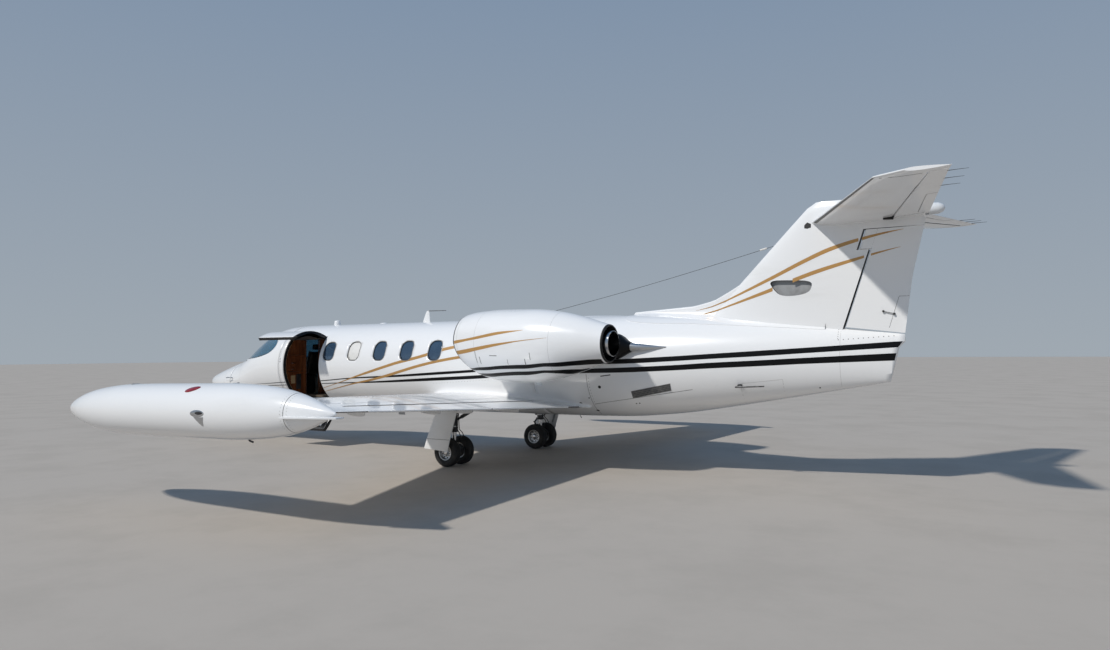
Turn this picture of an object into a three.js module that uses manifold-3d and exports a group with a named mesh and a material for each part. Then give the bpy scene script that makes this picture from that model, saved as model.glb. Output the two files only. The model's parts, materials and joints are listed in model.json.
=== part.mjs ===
// A twin-engine light business jet with tip tanks, parked with its clamshell door open.
// Millimetres, +X forward, +Y to port, +Z up, the ground at Z = 0. A station is a distance aft of the nose tip.
import * as THREE from "three";
import { mergeVertices } from "three/addons/utils/BufferGeometryUtils.js";
import Module from "manifold-3d";

const wasm = await Module();
wasm.setup();

// Driving dimensions
const LENGTH = 14830;
const HALF_LENGTH = LENGTH / 2;
const RADIUS = 785;
const WALL = 65;
const TAIL_WALL = 20;
const GAP = 0.3;
const MOVING_GAP = 8;
const RING_POINTS = 28;

// Stations where the fuselage panels meet
const NOSE_JOINT = 1300;
const COCKPIT_JOINT = 3080;
const CABIN_END = 8900;
const TAIL_END = 14090;

// The fuselage, nose to tail
const FUSELAGE = [
  // station, top, bottom, half width
  [0, 1195, 1145, 28],
  [180, 1290, 1015, 165],
  [480, 1385, 915, 300],
  [900, 1505, 825, 440],
  [1500, 1672, 760, 588],
  [1850, 1868, 743, 655],
  [2150, 2070, 738, 700],
  [2450, 2215, 736, 735],
  [2850, 2286, 736, 768],
  [3400, 2305, 735, RADIUS],
  [6800, 2305, 732, RADIUS],
  [9300, 2305, 742, RADIUS],
  [10200, 2300, 762, 745],
  [11000, 2270, 830, 640],
  [12000, 2185, 985, 470],
  [13000, 2080, 1165, 270],
  [TAIL_END, 1950, 1372, 45],
];

// The doorway: its edges as angles round the fuselage's middle, where the halves meet, and how far each half swings
const DOOR = {
  front: 3230,
  back: 4180,
  upperEdge: 43.3,
  lowerEdge: -62.6,
  splitHeight: 1270,
  middle: 1520,
  hingeRadius: 778,
  gap: 12,
  upperOpen: 76.6,
  lowerOpen: 113.7,
};

const WINDOW = { width: 275, height: 335, corner: 105, level: 1790, first: 4420, pitch: 627 };
// Wing stations at the root and tip: distance out, nose, tail, level of the nose and of the tail, thickness share
const WING = {
  root: { y: 380, nose: 6665, tail: 9590, noseLevel: 960, tailLevel: 905, thickness: 0.095 },
  tip: { y: 5600, nose: 8300, tail: 9757, noseLevel: 1222, tailLevel: 1197, thickness: 0.092 },
  hingeShare: 0.77,
};
const FLAP = { from: 900, to: 2890 };
const AILERON = { from: 2915, to: 5120 };
const SPOILER = { from: 1550, to: 2800, nose: 0.66, tail: 0.745, thickness: 12, wellDepth: 28 };
const TANK = { y: 5730, radius: 290, nose: 5370, tail: 9925, noseLevel: 1115, tailLevel: 1198 };
const ENGINE = { y: 1320, front: 8060, back: 10520, frontLevel: 1930, backLevel: 1862 };
// The rudder's foot runs a little above the tail cone's roof line
const RUDDER = { foot: 2000, top: 3330, hingeFoot: 13350, hingeTop: 13790, footFront: 2054, footBack: 1852, gap: 40 };
const TAILPLANE = { halfSpan: 2235, rootNose: 12930, rootTail: 14390, tipNose: 14400, tipTail: LENGTH };
// Where the tailplane's straight leading edge turns into its raked tip
const TAILPLANE_KINK = { y: 2070, nose: 14055, tail: 14790 };
const ELEVATOR = { from: 125, to: 2090, rootHinge: 13945, tipHinge: 14610 };
const TAIL_LEVELS = { root: 3475, tip: 3600 };
const JACK_PAD = { radius: 38, wingStation: 8250, wingY: 1750, wingFace: 884, noseStation: 2300, noseFace: 727 };
const PIN = { radius: 8, slack: 0.4, reach: 40 };
const MAIN_GEAR = { station: 7750, y: 1255, twin: 168, tyreRadius: 222, tyreWidth: 146, rimRadius: 112 };
const NOSE_GEAR = { station: 1600, tyreRadius: 229, tyreWidth: 112, rimRadius: 118 };

const PAINT = new THREE.MeshStandardMaterial({ color: 0xf1f2f3, roughness: 0.25, metalness: 0.1 });
const BARE = new THREE.MeshStandardMaterial({ color: 0xb9bcc0, roughness: 0.3, metalness: 0.9 });
const DARK = new THREE.MeshStandardMaterial({ color: 0x2a2a2c, roughness: 0.6, metalness: 0.3 });
const GLASS = new THREE.MeshStandardMaterial({ color: 0x5f86a8, roughness: 0.05, metalness: 0 });
const RUBBER = new THREE.MeshStandardMaterial({ color: 0x17171a, roughness: 0.85, metalness: 0 });
const WOOD = new THREE.MeshStandardMaterial({ color: 0x3a1c0e, roughness: 0.35, metalness: 0 });
const CARPET = new THREE.MeshStandardMaterial({ color: 0x6f6252, roughness: 0.95, metalness: 0 });
const LEATHER = new THREE.MeshStandardMaterial({ color: 0x1d1b1b, roughness: 0.5, metalness: 0 });
const LAMP = new THREE.MeshStandardMaterial({ color: 0xd8d2d0, roughness: 0.2, metalness: 0 });

const root = new THREE.Group();

// Helpers
const fore = (station) => HALF_LENGTH - station;
const at = (station, y, z) => new THREE.Vector3(fore(station), y, z);
const mix = (a, b, t) => a + (b - a) * t;
const rad = THREE.MathUtils.degToRad;

// A closed geometry as a solid that can be joined and cut
function solid(geometry) {
  const bare = geometry.index ? geometry.toNonIndexed() : geometry.clone();
  for (const name of Object.keys(bare.attributes)) if (name !== "position") bare.deleteAttribute(name);
  const merged = mergeVertices(bare, 1e-3);
  return new wasm.Manifold(
    new wasm.Mesh({
      numProp: 3,
      vertProperties: merged.attributes.position.array,
      triVerts: new Uint32Array(merged.index.array),
    }),
  );
}

function geometryOf(body) {
  const mesh = body.getMesh();
  const geometry = new THREE.BufferGeometry();
  geometry.setAttribute("position", new THREE.BufferAttribute(new Float32Array(mesh.vertProperties), 3));
  geometry.setIndex(new THREE.BufferAttribute(new Uint32Array(mesh.triVerts), 1));
  return geometry;
}

function add(name, body, material) {
  const mesh = new THREE.Mesh(geometryOf(body), material);
  mesh.name = name;
  root.add(mesh);
  return mesh;
}

// A skin through rings of equal count, closed by a fan at each end
function loft(rings) {
  const count = rings[0].length;
  const points = rings.flat();
  const faces = [];
  for (let r = 0; r + 1 < rings.length; r++) {
    for (let i = 0; i < count; i++) {
      const a = r * count + i;
      const b = r * count + ((i + 1) % count);
      // The diagonals on the starboard side are the mirror image of those on the port side
      if (points[a].y + points[b].y < 0) faces.push(a, b, a + count, b, b + count, a + count);
      else faces.push(a, b, b + count, a, b + count, a + count);
    }
  }
  const lastStart = (rings.length - 1) * count;
  for (const [start, sign] of [[0, 1], [lastStart, -1]]) {
    const middle = new THREE.Vector3();
    for (let i = 0; i < count; i++) middle.addScaledVector(points[start + i], 1 / count);
    const hub = points.push(middle) - 1;
    for (let i = 0; i < count; i++) {
      const a = start + i;
      const b = start + ((i + 1) % count);
      if (sign > 0) faces.push(hub, b, a);
      else faces.push(hub, a, b);
    }
  }
  const geometry = new THREE.BufferGeometry().setFromPoints(points);
  geometry.setIndex(faces);
  const body = solid(geometry);
  if (body.volume() > 0) return body;
  for (let i = 0; i < faces.length; i += 3) [faces[i + 1], faces[i + 2]] = [faces[i + 2], faces[i + 1]];
  geometry.setIndex(faces);
  return solid(geometry);
}

// A box between two corners given as station, y, z
function box([s0, y0, z0], [s1, y1, z1]) {
  const size = [Math.abs(s1 - s0), Math.abs(y1 - y0), Math.abs(z1 - z0)];
  const geometry = new THREE.BoxGeometry(...size);
  geometry.translate(fore((s0 + s1) / 2), (y0 + y1) / 2, (z0 + z1) / 2);
  return solid(geometry);
}

// A flat outline of (station, height) pairs, extruded sideways from y0 to y1
function sidePlate(outline, y0, y1) {
  const shape = new THREE.Shape(outline.map(([s, z]) => new THREE.Vector2(fore(s), z)));
  const geometry = new THREE.ExtrudeGeometry(shape, { depth: Math.abs(y1 - y0), bevelEnabled: false });
  geometry.rotateX(Math.PI / 2);
  geometry.translate(0, Math.max(y0, y1), 0);
  return solid(geometry);
}

// A flat outline of (station, y) pairs, extruded upwards from z0 to z1
function topPlate(outline, z0, z1) {
  const shape = new THREE.Shape(outline.map(([s, y]) => new THREE.Vector2(fore(s), y)));
  const geometry = new THREE.ExtrudeGeometry(shape, { depth: z1 - z0, bevelEnabled: false });
  geometry.translate(0, 0, z0);
  return solid(geometry);
}

// A round bar between two points
function bar(from, to, radius, sides = 12) {
  const length = from.distanceTo(to);
  const geometry = new THREE.CylinderGeometry(radius, radius, length, sides);
  const along = to.clone().sub(from).normalize();
  geometry.applyQuaternion(new THREE.Quaternion().setFromUnitVectors(new THREE.Vector3(0, 1, 0), along));
  geometry.translate(...from.clone().add(to).multiplyScalar(0.5).toArray());
  return solid(geometry);
}

// A turned body: (distance along, radius) pairs about an axis through `middle`, lying aft or sideways
function turned(profile, middle, direction, sides) {
  const geometry = new THREE.LatheGeometry(profile.map(([along, r]) => new THREE.Vector2(r, along)), sides);
  const turn = new THREE.Quaternion().setFromUnitVectors(new THREE.Vector3(0, 1, 0), direction);
  geometry.applyQuaternion(turn);
  geometry.translate(...middle.toArray());
  const body = solid(geometry);
  if (body.volume() > 0) return body;
  const flipped = solid(geometry).getMesh();
  const faces = new Uint32Array(flipped.triVerts);
  for (let i = 0; i < faces.length; i += 3) [faces[i + 1], faces[i + 2]] = [faces[i + 2], faces[i + 1]];
  return new wasm.Manifold(
    new wasm.Mesh({ numProp: 3, vertProperties: new Float32Array(flipped.vertProperties), triVerts: faces }),
  );
}

// The mirror image across the jet's centre plane
function mirrored(body) {
  return body.mirror([0, 1, 0]);
}

function joined(bodies) {
  return bodies.reduce((all, next) => all.add(next));
}

// The same solid turned about a line along X through (y, z)
function swung(body, { y, z }, degrees) {
  return body.translate([0, -y, -z]).rotate([degrees, 0, 0]).translate([0, y, z]);
}

// An aerofoil section, nose to tail over the top and back underneath. place(chord fraction, half thickness as a
// fraction of the chord) gives each point's position.
const CHORD_STEPS = [0, 0.02, 0.08, 0.2, 0.38, 0.58, 0.78, 1];
const TAIL_THICKNESS = 0.03;
function halfThickness(x) {
  const curve = 0.2969 * Math.sqrt(x) - 0.126 * x - 0.3516 * x ** 2 + 0.2843 * x ** 3 - 0.1015 * x ** 4;
  return Math.max(5 * curve, TAIL_THICKNESS * x);
}
function aerofoil(place) {
  const upper = CHORD_STEPS.map((x) => place(x, halfThickness(x)));
  const lower = CHORD_STEPS.slice(1).map((x) => place(x, -halfThickness(x)));
  return [...upper, ...lower.reverse()];
}

// Fuselage
function sectionAt(station) {
  let k = 1;
  while (k < FUSELAGE.length - 1 && FUSELAGE[k][0] < station) k++;
  const [a, b] = [FUSELAGE[k - 1], FUSELAGE[k]];
  const t = (station - a[0]) / (b[0] - a[0]);
  return a.map((value, i) => mix(value, b[i], t));
}

function fuselageRing([station, top, bottom, halfWidth], inset) {
  const middle = (top + bottom) / 2;
  const rise = (top - bottom) / 2 - inset;
  const ring = [];
  for (let i = 0; i < RING_POINTS; i++) {
    const angle = ((i + 0.5) / RING_POINTS) * 2 * Math.PI;
    ring.push(at(station, (halfWidth - inset) * Math.cos(angle), middle + rise * Math.sin(angle)));
  }
  return ring;
}

// The fuselage's skin moved inwards by inset, between two stations. Inside skins start behind the thin nose tip.
const INSIDE_START = 1300;
const INSIDE_END = 13700;
const skins = new Map();
function wholeHull(inset) {
  if (!skins.has(inset)) {
    const [from, to] = inset > 0 ? [INSIDE_START, INSIDE_END] : [0, TAIL_END];
    const between = FUSELAGE.filter(([station]) => station > from && station < to);
    const rings = [sectionAt(from), ...between, sectionAt(to)].map((section) => fuselageRing(section, inset));
    skins.set(inset, loft(rings));
  }
  return skins.get(inset);
}
function hull(inset, from = 0, to = TAIL_END) {
  return wholeHull(inset).intersect(box([from, -1000, 0], [to, 1000, 3000]));
}

const CORNER_STEPS = 2;
function roundedOutline(station, level, width, height, corner, grow = 0) {
  const [w, h, r] = [width / 2 + grow, height / 2 + grow, corner + grow];
  const outline = [];
  const corners = [[1, 1], [-1, 1], [-1, -1], [1, -1]];
  corners.forEach(([sx, sz], quarter) => {
    for (let i = 0; i <= CORNER_STEPS; i++) {
      const angle = (quarter + i / CORNER_STEPS) * (Math.PI / 2);
      const s = station + sx * (w - r) + r * Math.cos(angle);
      outline.push([s, level + sz * (h - r) + r * Math.sin(angle)]);
    }
  });
  return outline;
}

// The windscreen's outline on each side, as (station, height), and the same outline set in by a gap
const SCREEN = [
  [1480, 1655], [2060, 1652], [2430, 1690], [2720, 1760], [2840, 1850], [2870, 1950], [2800, 2040],
  [2600, 2130], [2330, 2300], [1480, 2300],
];
function insetOutline(outline, gap) {
  const middle = outline.reduce((sum, [s, z]) => [sum[0] + s / outline.length, sum[1] + z / outline.length], [0, 0]);
  return outline.map(([s, z]) => {
    const away = Math.hypot(s - middle[0], z - middle[1]);
    const keep = 1 - (2 * gap) / away;
    return [mix(middle[0], s, keep), mix(middle[1], z, keep)];
  });
}

const POST = 30;
const GLASS_TOP = 4;
const GLASS_BACK = 22;
const beside = hull(-GAP);

const screenCut = sidePlate(SCREEN, POST, 900).add(sidePlate(SCREEN, -900, -POST));
const nose = hull(0, 0, NOSE_JOINT);
add("nose_cone", nose, PAINT);

const NOSE_BAY = { back: 1740, top: 1540 };
const cockpitHollow = hull(WALL, NOSE_JOINT + 140, COCKPIT_JOINT + 1).subtract(
  box([NOSE_JOINT, -900, 600], [NOSE_BAY.back, 900, NOSE_BAY.top]),
);
const jackPad = (station, y, face) => bar(at(station, y, face), at(station, y, face + 60), JACK_PAD.radius, 16);
const cockpit = hull(0, NOSE_JOINT + GAP, COCKPIT_JOINT)
  .subtract(cockpitHollow)
  .subtract(screenCut)
  .add(jackPad(JACK_PAD.noseStation, 0, JACK_PAD.noseFace));
add("cockpit_shell", cockpit, PAINT);

const screenSkin = hull(GLASS_TOP, NOSE_JOINT + 150, COCKPIT_JOINT - 10).subtract(
  hull(GLASS_BACK, NOSE_JOINT + 140, COCKPIT_JOINT),
);
const screenLeft = screenSkin.intersect(sidePlate(insetOutline(SCREEN, GAP), POST + GAP, 900));
add("windscreen_left", screenLeft, GLASS);
add("windscreen_right", mirrored(screenLeft), GLASS);

// Cabin windows: the left row starts behind the door, the right row has one more ahead of it
const leftStations = [0, 1, 2, 3, 4].map((i) => WINDOW.first + i * WINDOW.pitch);
const rightStations = [-1, 0, 1, 2, 3, 4].map((i) => WINDOW.first + i * WINDOW.pitch);
const windowHole = (station, side, grow) =>
  sidePlate(
    roundedOutline(station, WINDOW.level, WINDOW.width, WINDOW.height, WINDOW.corner, grow),
    side * 500,
    side * 900,
  );

// The doorway's wedge, from the fuselage's middle out through the skin
const DOOR_REACH = 1100;
const DOOR_STEPS = 4;
function doorway(grow) {
  // A point at a distance out along an angle, moved square to it by grow times side
  const reach = (degrees, out, side) => {
    const [c, s] = [Math.cos(rad(degrees)), Math.sin(rad(degrees))];
    return new THREE.Vector2(out * c - side * grow * s, DOOR.middle + out * s + side * grow * c);
  };
  const outline = [reach(DOOR.upperEdge, 0, 1)];
  for (let i = 0; i <= DOOR_STEPS; i++) {
    const share = i / DOOR_STEPS;
    outline.push(reach(mix(DOOR.upperEdge, DOOR.lowerEdge, share), DOOR_REACH, 1 - 2 * share));
  }
  if (grow > 0) outline.push(reach(DOOR.lowerEdge, 0, -1));
  const shape = new THREE.Shape(outline);
  const depth = DOOR.back - DOOR.front + 2 * grow;
  const geometry = new THREE.ExtrudeGeometry(shape, { depth, bevelEnabled: false });
  geometry.rotateX(Math.PI / 2);
  geometry.rotateZ(Math.PI / 2);
  geometry.translate(fore(DOOR.back + grow), 0, 0);
  return solid(geometry);
}

const cabinHollow = hull(WALL, COCKPIT_JOINT - 1, CABIN_END - 80);
let cabin = hull(0, COCKPIT_JOINT + GAP, CABIN_END).subtract(cabinHollow).subtract(doorway(DOOR.gap));
for (const station of leftStations) cabin = cabin.subtract(windowHole(station, 1, 0));
for (const station of rightStations) cabin = cabin.subtract(windowHole(station, -1, 0));

// Window panes as thick as the wall, carried by the lining strip along its inside
const STRIP = { thickness: 8, rise: 230, lap: 220 };
function windowRow(stations, side) {
  const [first, last] = [stations[0] - STRIP.lap, stations.at(-1) + STRIP.lap];
  const inner = hull(WALL + GAP + STRIP.thickness);
  const band = box([first, side * 500, WINDOW.level - STRIP.rise], [last, side * 900, WINDOW.level + STRIP.rise]);
  let row = hull(WALL + GAP).subtract(inner).intersect(band);
  const pane = hull(GLASS_TOP).subtract(inner);
  for (const station of stations) row = row.add(pane.intersect(windowHole(station, side, -GAP)));
  return row;
}
add("cabin_windows_left", windowRow(leftStations, 1), GLASS);
add("cabin_windows_right", windowRow(rightStations, -1), GLASS);

// Doors: each half is the wall in its closed place, swung open about its hinge line
const hingeAt = (degrees) => ({
  y: DOOR.hingeRadius * Math.cos(rad(degrees)),
  z: DOOR.middle + DOOR.hingeRadius * Math.sin(rad(degrees)),
});
const DOOR_PIN = { radius: 5, reach: 32 };
const doorPin = (degrees, radius, reach) => {
  const { y, z } = hingeAt(degrees);
  return bar(at(DOOR.front - reach, y, z), at(DOOR.back + reach, y, z), radius, 12);
};
const doorWall = hull(0, DOOR.front - 50, DOOR.back + 50)
  .subtract(hull(WALL, DOOR.front - 60, DOOR.back + 60))
  .intersect(doorway(0));
const upperZone = box([DOOR.front, 200, DOOR.splitHeight + MOVING_GAP], [DOOR.back, 900, 2400]);
const lowerZone = box([DOOR.front, 200, 600], [DOOR.back, 900, DOOR.splitHeight]);
// half, its hinge's angle, the way it swings open, its share of the wall
const DOOR_HALVES = [
  ["door_upper", DOOR.upperEdge, DOOR.upperOpen, upperZone],
  ["door_lower", DOOR.lowerEdge, -DOOR.lowerOpen, lowerZone],
];
for (const [name, edge, swing, zone] of DOOR_HALVES) {
  const half = doorWall.intersect(zone).add(doorPin(edge, DOOR_PIN.radius, DOOR_PIN.reach));
  add(name, swung(half, hingeAt(edge), swing), PAINT);
  cabin = cabin.subtract(doorPin(edge, DOOR_PIN.radius + GAP, DOOR_PIN.reach + GAP));
}
add("cabin_shell", cabin, PAINT);

// Tail section: a shell, open at the front where it meets the cabin's rear wall
const tailHollow = hull(TAIL_WALL, CABIN_END - 1, 13600);
// The tail cone's end leans forward below its top ledge
const TAIL_RAKE = [[14300, 1850], [14080, 1850], [14010, 1780], [13905, 1340], [13890, 1200], [14300, 1200]];
const tailSection = hull(0, CABIN_END + GAP).subtract(tailHollow).subtract(sidePlate(TAIL_RAKE, -200, 200));

// A flight surface: its two end sections as { y or z, nose, tail, ... } joined by a straight loft
const wingPoint = (y) => {
  const t = (y - WING.root.y) / (WING.tip.y - WING.root.y);
  const point = {};
  for (const key of Object.keys(WING.root)) point[key] = mix(WING.root[key], WING.tip[key], t);
  return point;
};
const wingSection = (y) => {
  const { nose, tail, noseLevel, tailLevel, thickness } = wingPoint(y);
  const chord = tail - nose;
  return aerofoil((x, h) => at(nose + x * chord, y, mix(noseLevel, tailLevel, x) + h * thickness * chord));
};
// A strip of the wing seen from above: between two distances out and two shares of the chord
function wingStrip(from, to, share0, share1, z0 = 500, z1 = 1700) {
  const stationAt = (y, share) => {
    const { nose, tail } = wingPoint(y);
    return mix(nose, tail, share);
  };
  const outline = [
    [stationAt(from, share0), from],
    [stationAt(to, share0), to],
    [stationAt(to, share1), to],
    [stationAt(from, share1), from],
  ];
  return topPlate(outline, z0, z1);
}
// A point on the wing's hinge line, moved up by a share of the local half thickness
function wingHinge(y, lift) {
  const { nose, tail, noseLevel, tailLevel, thickness } = wingPoint(y);
  const share = WING.hingeShare;
  const half = halfThickness(share) * thickness * (tail - nose);
  return at(mix(nose, tail, share), y, mix(noseLevel, tailLevel, share) + lift * half);
}
// A pin along a hinge line, running out of a surface's end at y, towards side
function hingePin(axisAt, y, side, extra = 0) {
  return bar(axisAt(y - side * 60), axisAt(y + side * (PIN.reach + extra)), PIN.radius + extra, 16);
}

const tankAxis = at(TANK.tail, TANK.y, TANK.tailLevel).sub(at(TANK.nose, TANK.y, TANK.noseLevel));
const tankLength = tankAxis.length();
// share of the length, share of the radius
const TANK_PROFILE = [
  [0, 0], [0.01, 0.18], [0.04, 0.4], [0.1, 0.67], [0.18, 0.87], [0.28, 0.98], [0.4, 1],
  [0.66, 1], [0.76, 0.94], [0.85, 0.79], [0.93, 0.48], [1, 0.1], [1, 0],
];
function tankBody(grow) {
  const profile = TANK_PROFILE.map(([along, r]) => [
    mix(-grow, tankLength + grow, along),
    r === 0 ? 0 : r * TANK.radius + grow,
  ]);
  return turned(profile, at(TANK.nose, TANK.y, TANK.noseLevel), tankAxis.clone().normalize(), 24);
}
const tankFin = topPlate([[9140, 5750], [9200, 6019], [9930, 5790], [9930, 5690], [9200, 5640]], 1150, 1172);
const tank = tankBody(0).add(tankFin);

const wingWhole = loft([wingSection(WING.root.y), wingSection(WING.tip.y)]);
const wingTrimmed = wingWhole.subtract(beside).subtract(tankBody(GAP));
const flapAxis = (y) => wingHinge(y, -0.55);
const aileronAxis = (y) => wingHinge(y, 0);
const share = WING.hingeShare;
const flap = wingTrimmed
  .intersect(wingStrip(FLAP.from, FLAP.to, share - 0.002, 1.1))
  .add(hingePin(flapAxis, FLAP.from, -1));
const aileron = wingTrimmed
  .intersect(wingStrip(AILERON.from, AILERON.to, share, 1.1))
  .add(hingePin(aileronAxis, AILERON.to, 1));
const skin = (depth) => wingTrimmed.subtract(wingTrimmed.translate([0, 0, -depth]));
const spoilerAxis = (y) => {
  const { nose, tail, noseLevel, tailLevel, thickness } = wingPoint(y);
  const x = SPOILER.nose + 0.006;
  return at(mix(nose, tail, x), y, mix(noseLevel, tailLevel, x) + halfThickness(x) * thickness * (tail - nose) - 7);
};
const spoilerPin = (grow) =>
  bar(spoilerAxis(SPOILER.from - 14 - grow), spoilerAxis(SPOILER.to + 14 + grow), 4 + grow, 12);
const spoiler = skin(SPOILER.thickness)
  .intersect(wingStrip(SPOILER.from, SPOILER.to, SPOILER.nose, SPOILER.tail, 900))
  .add(spoilerPin(0));
const spoilerWell = skin(SPOILER.wellDepth).intersect(
  wingStrip(SPOILER.from - 7, SPOILER.to + 7, SPOILER.nose - 0.004, SPOILER.tail + 0.004, 900),
);
const wing = wingTrimmed
  .subtract(wingStrip(FLAP.from - MOVING_GAP, FLAP.to + 14, share - 0.01, 1.2))
  .subtract(wingStrip(AILERON.from - 14, AILERON.to + MOVING_GAP, share - 0.012, 1.2))
  .subtract(hingePin(flapAxis, FLAP.from, -1, PIN.slack))
  .subtract(hingePin(aileronAxis, AILERON.to, 1, PIN.slack))
  .subtract(spoilerWell)
  .subtract(spoilerPin(GAP))
  .add(jackPad(JACK_PAD.wingStation, JACK_PAD.wingY, JACK_PAD.wingFace));

// Engines: a hollow nacelle with its duct, a pylon, a heavy core on struts and a fan on the core's shaft
const engineFront = at(ENGINE.front, ENGINE.y, ENGINE.frontLevel);
const engineAxis = at(ENGINE.back, ENGINE.y, ENGINE.backLevel).sub(engineFront).normalize();
// distance behind the lip, radius
const NACELLE_OUTSIDE = [
  [0, 345], [25, 382], [110, 415], [380, 455], [750, 478], [1250, 480], [1650, 450], [2050, 372], [2460, 262],
];
const NACELLE_DUCT = [[2460, 246], [2000, 350], [1600, 415], [900, 425], [620, 368], [420, 368], [130, 328]];
const NACELLE_SIDES = 24;
// The gearbox deepens the pod's underside. Distance behind the lip, extra depth at the bottom
const CHIN = [[0, 30], [110, 45], [380, 85], [750, 115], [1250, 107], [1650, 65], [2050, 25], [2300, 0]];
const DUCT_CHIN = [[0, 30], [420, 0]];
// The lip leans back towards its bottom, less and less behind it
const LIP_LEAN = { reach: 160, power: 1.5, fade: 900 };
const LIP_OPENING = [[130, 328], [0, 343], [-60, 352]];
const engineUp = new THREE.Vector3(0, 0, 1).addScaledVector(engineAxis, -engineAxis.z).normalize();
function depthAt(table, distance) {
  const next = table.findIndex(([start]) => start > distance);
  if (next < 0) return table.at(-1)[1];
  if (next === 0) return table[0][1];
  const [a, b] = [table[next - 1], table[next]];
  return mix(a[1], b[1], (distance - a[0]) / (b[0] - a[0]));
}
const podRing = (chin, grow) => ([distance, radius]) =>
  Array.from({ length: NACELLE_SIDES }, (_, i) => {
    const angle = (i / NACELLE_SIDES) * 2 * Math.PI;
    const below = Math.max(0, -Math.sin(angle));
    const lean = LIP_LEAN.reach * below ** LIP_LEAN.power * Math.max(0, 1 - distance / LIP_LEAN.fade) ** 2;
    const outward = (radius + grow) * Math.cos(angle);
    const upward = (radius + grow) * Math.sin(angle) - depthAt(chin, distance) * below;
    const middle = engineFront.clone().addScaledVector(engineAxis, distance + lean);
    return middle.add(new THREE.Vector3(0, outward, 0)).addScaledVector(engineUp, upward);
  });
const nacelleFilled = loft(NACELLE_OUTSIDE.map(podRing(CHIN, GAP)));
const ductCut = [[2500, 246], ...NACELLE_DUCT.slice(0, -1), ...LIP_OPENING];
const nacelle = loft(NACELLE_OUTSIDE.map(podRing(CHIN, 0))).subtract(loft(ductCut.map(podRing(DUCT_CHIN, 0))));
const ductSpace = loft(NACELLE_DUCT.map(podRing(DUCT_CHIN, -GAP)));

const FAN = { back: 560, hub: 120, tip: 358, blades: 14, shaft: 35, shaftLength: 60, chord: 95 };
const along = (distance) => engineFront.clone().addScaledVector(engineAxis, distance);
const coreProfile = [
  [570, 0], [570, 130], [640, 240], [1500, 250], [1900, 205], [2180, 150], [2450, 60], [2560, 12], [2560, 0],
];
const coreTurned = turned(coreProfile, engineFront, engineAxis, 16);
const STRUTS = 4;
const struts = [];
for (let i = 0; i < STRUTS; i++) {
  const strut = new THREE.BoxGeometry(120, 14, 440);
  strut.translate(0, 0, 220);
  strut.rotateX(((i + 0.5) / STRUTS) * 2 * Math.PI);
  strut.translate(...along(1050).toArray());
  struts.push(solid(strut));
}
const engineCore = coreTurned
  .add(joined(struts).intersect(ductSpace))
  .subtract(bar(along(560), along(570 + FAN.shaftLength + 1), FAN.shaft + PIN.slack + 1, 16));
const fanProfile = [
  [250, 0], [280, 45], [360, 90], [470, FAN.hub], [FAN.back, FAN.hub], [FAN.back, FAN.shaft],
  [570 + FAN.shaftLength, FAN.shaft], [570 + FAN.shaftLength, 0],
];
const blades = [];
for (let i = 0; i < FAN.blades; i++) {
  const height = FAN.tip - 90;
  const blade = new THREE.BoxGeometry(FAN.chord, 6, height);
  const twist = new THREE.Matrix4().makeRotationZ(rad(48));
  blade.applyMatrix4(twist);
  blade.translate(0, 0, 90 + height / 2);
  blade.rotateX((i / FAN.blades) * 2 * Math.PI);
  blade.rotateY(Math.atan2(engineAxis.z, -engineAxis.x));
  blade.translate(...along(512).toArray());
  blades.push(solid(blade));
}
const fan = joined([turned(fanProfile, engineFront, engineAxis, 16), ...blades]);

const pylonSection = (y) =>
  aerofoil((x, h) => at(mix(8620, 10230, x), y, mix(1905, 1890, x) + h * 110));
// The pylon's fairing along the fuselage behind the engine: station, middle y, middle z, half width, half height
const PYLON_FAIRING = [
  [9800, 800, 1880, 120, 28],
  [9950, 770, 1850, 160, 80],
  [10150, 750, 1795, 180, 140],
  [10280, 730, 1780, 170, 155],
  [10460, 690, 1838, 130, 98],
  [10700, 640, 1850, 85, 52],
  [10960, 595, 1805, 32, 14],
];
const FAIRING_POINTS = 16;
const fairingRing = ([station, y, z, halfWidth, halfHeight]) =>
  Array.from({ length: FAIRING_POINTS }, (_, i) => {
    const a = (i / FAIRING_POINTS) * 2 * Math.PI;
    return at(station, y + halfWidth * Math.cos(a), z + halfHeight * Math.sin(a));
  });
const pylon = loft([pylonSection(560), pylonSection(1100)])
  .add(loft(PYLON_FAIRING.map(fairingRing)))
  .subtract(beside)
  .subtract(nacelleFilled);

// Tail surfaces. Fin sections: level, nose, tail, thickness
const FIN = [
  [1880, 11150, 14080, 235],
  [2690, 11930, 14190, 190],
  [3430, 12640, 14365, 135],
  [3680, 12885, 13950, 108],
  [3760, 13010, 13480, 50],
];
const finWhole = loft(
  FIN.map(([z, nose, tail, thickness]) => aerofoil((x, h) => at(mix(nose, tail, x), h * thickness, z))),
);
const dorsal = sidePlate(
  [[10240, 2150], [10240, 2285], [10290, 2350], [11350, 2412], [11650, 2520], [11950, 2700], [12100, 2600], [12000, 2100]],
  -32,
  32,
);
const FIN_SKIN = 16;
const finHollow = loft(
  FIN.slice(0, 3).map(([z, nose, tail, thickness]) =>
    aerofoil((x, h) => at(mix(nose + 120, tail, x), h * (thickness - 2 * FIN_SKIN), z === 1880 ? z : z - 150 * (z > 3000))),
  ),
).intersect(sidePlate([[11300, 1800], [13180, 1800], [13600, 3280], [12600, 3280]], -200, 200));
const rudderHinge = (z) =>
  mix(RUDDER.hingeFoot, RUDDER.hingeTop, (z - RUDDER.foot) / (RUDDER.top - RUDDER.foot));
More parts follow.
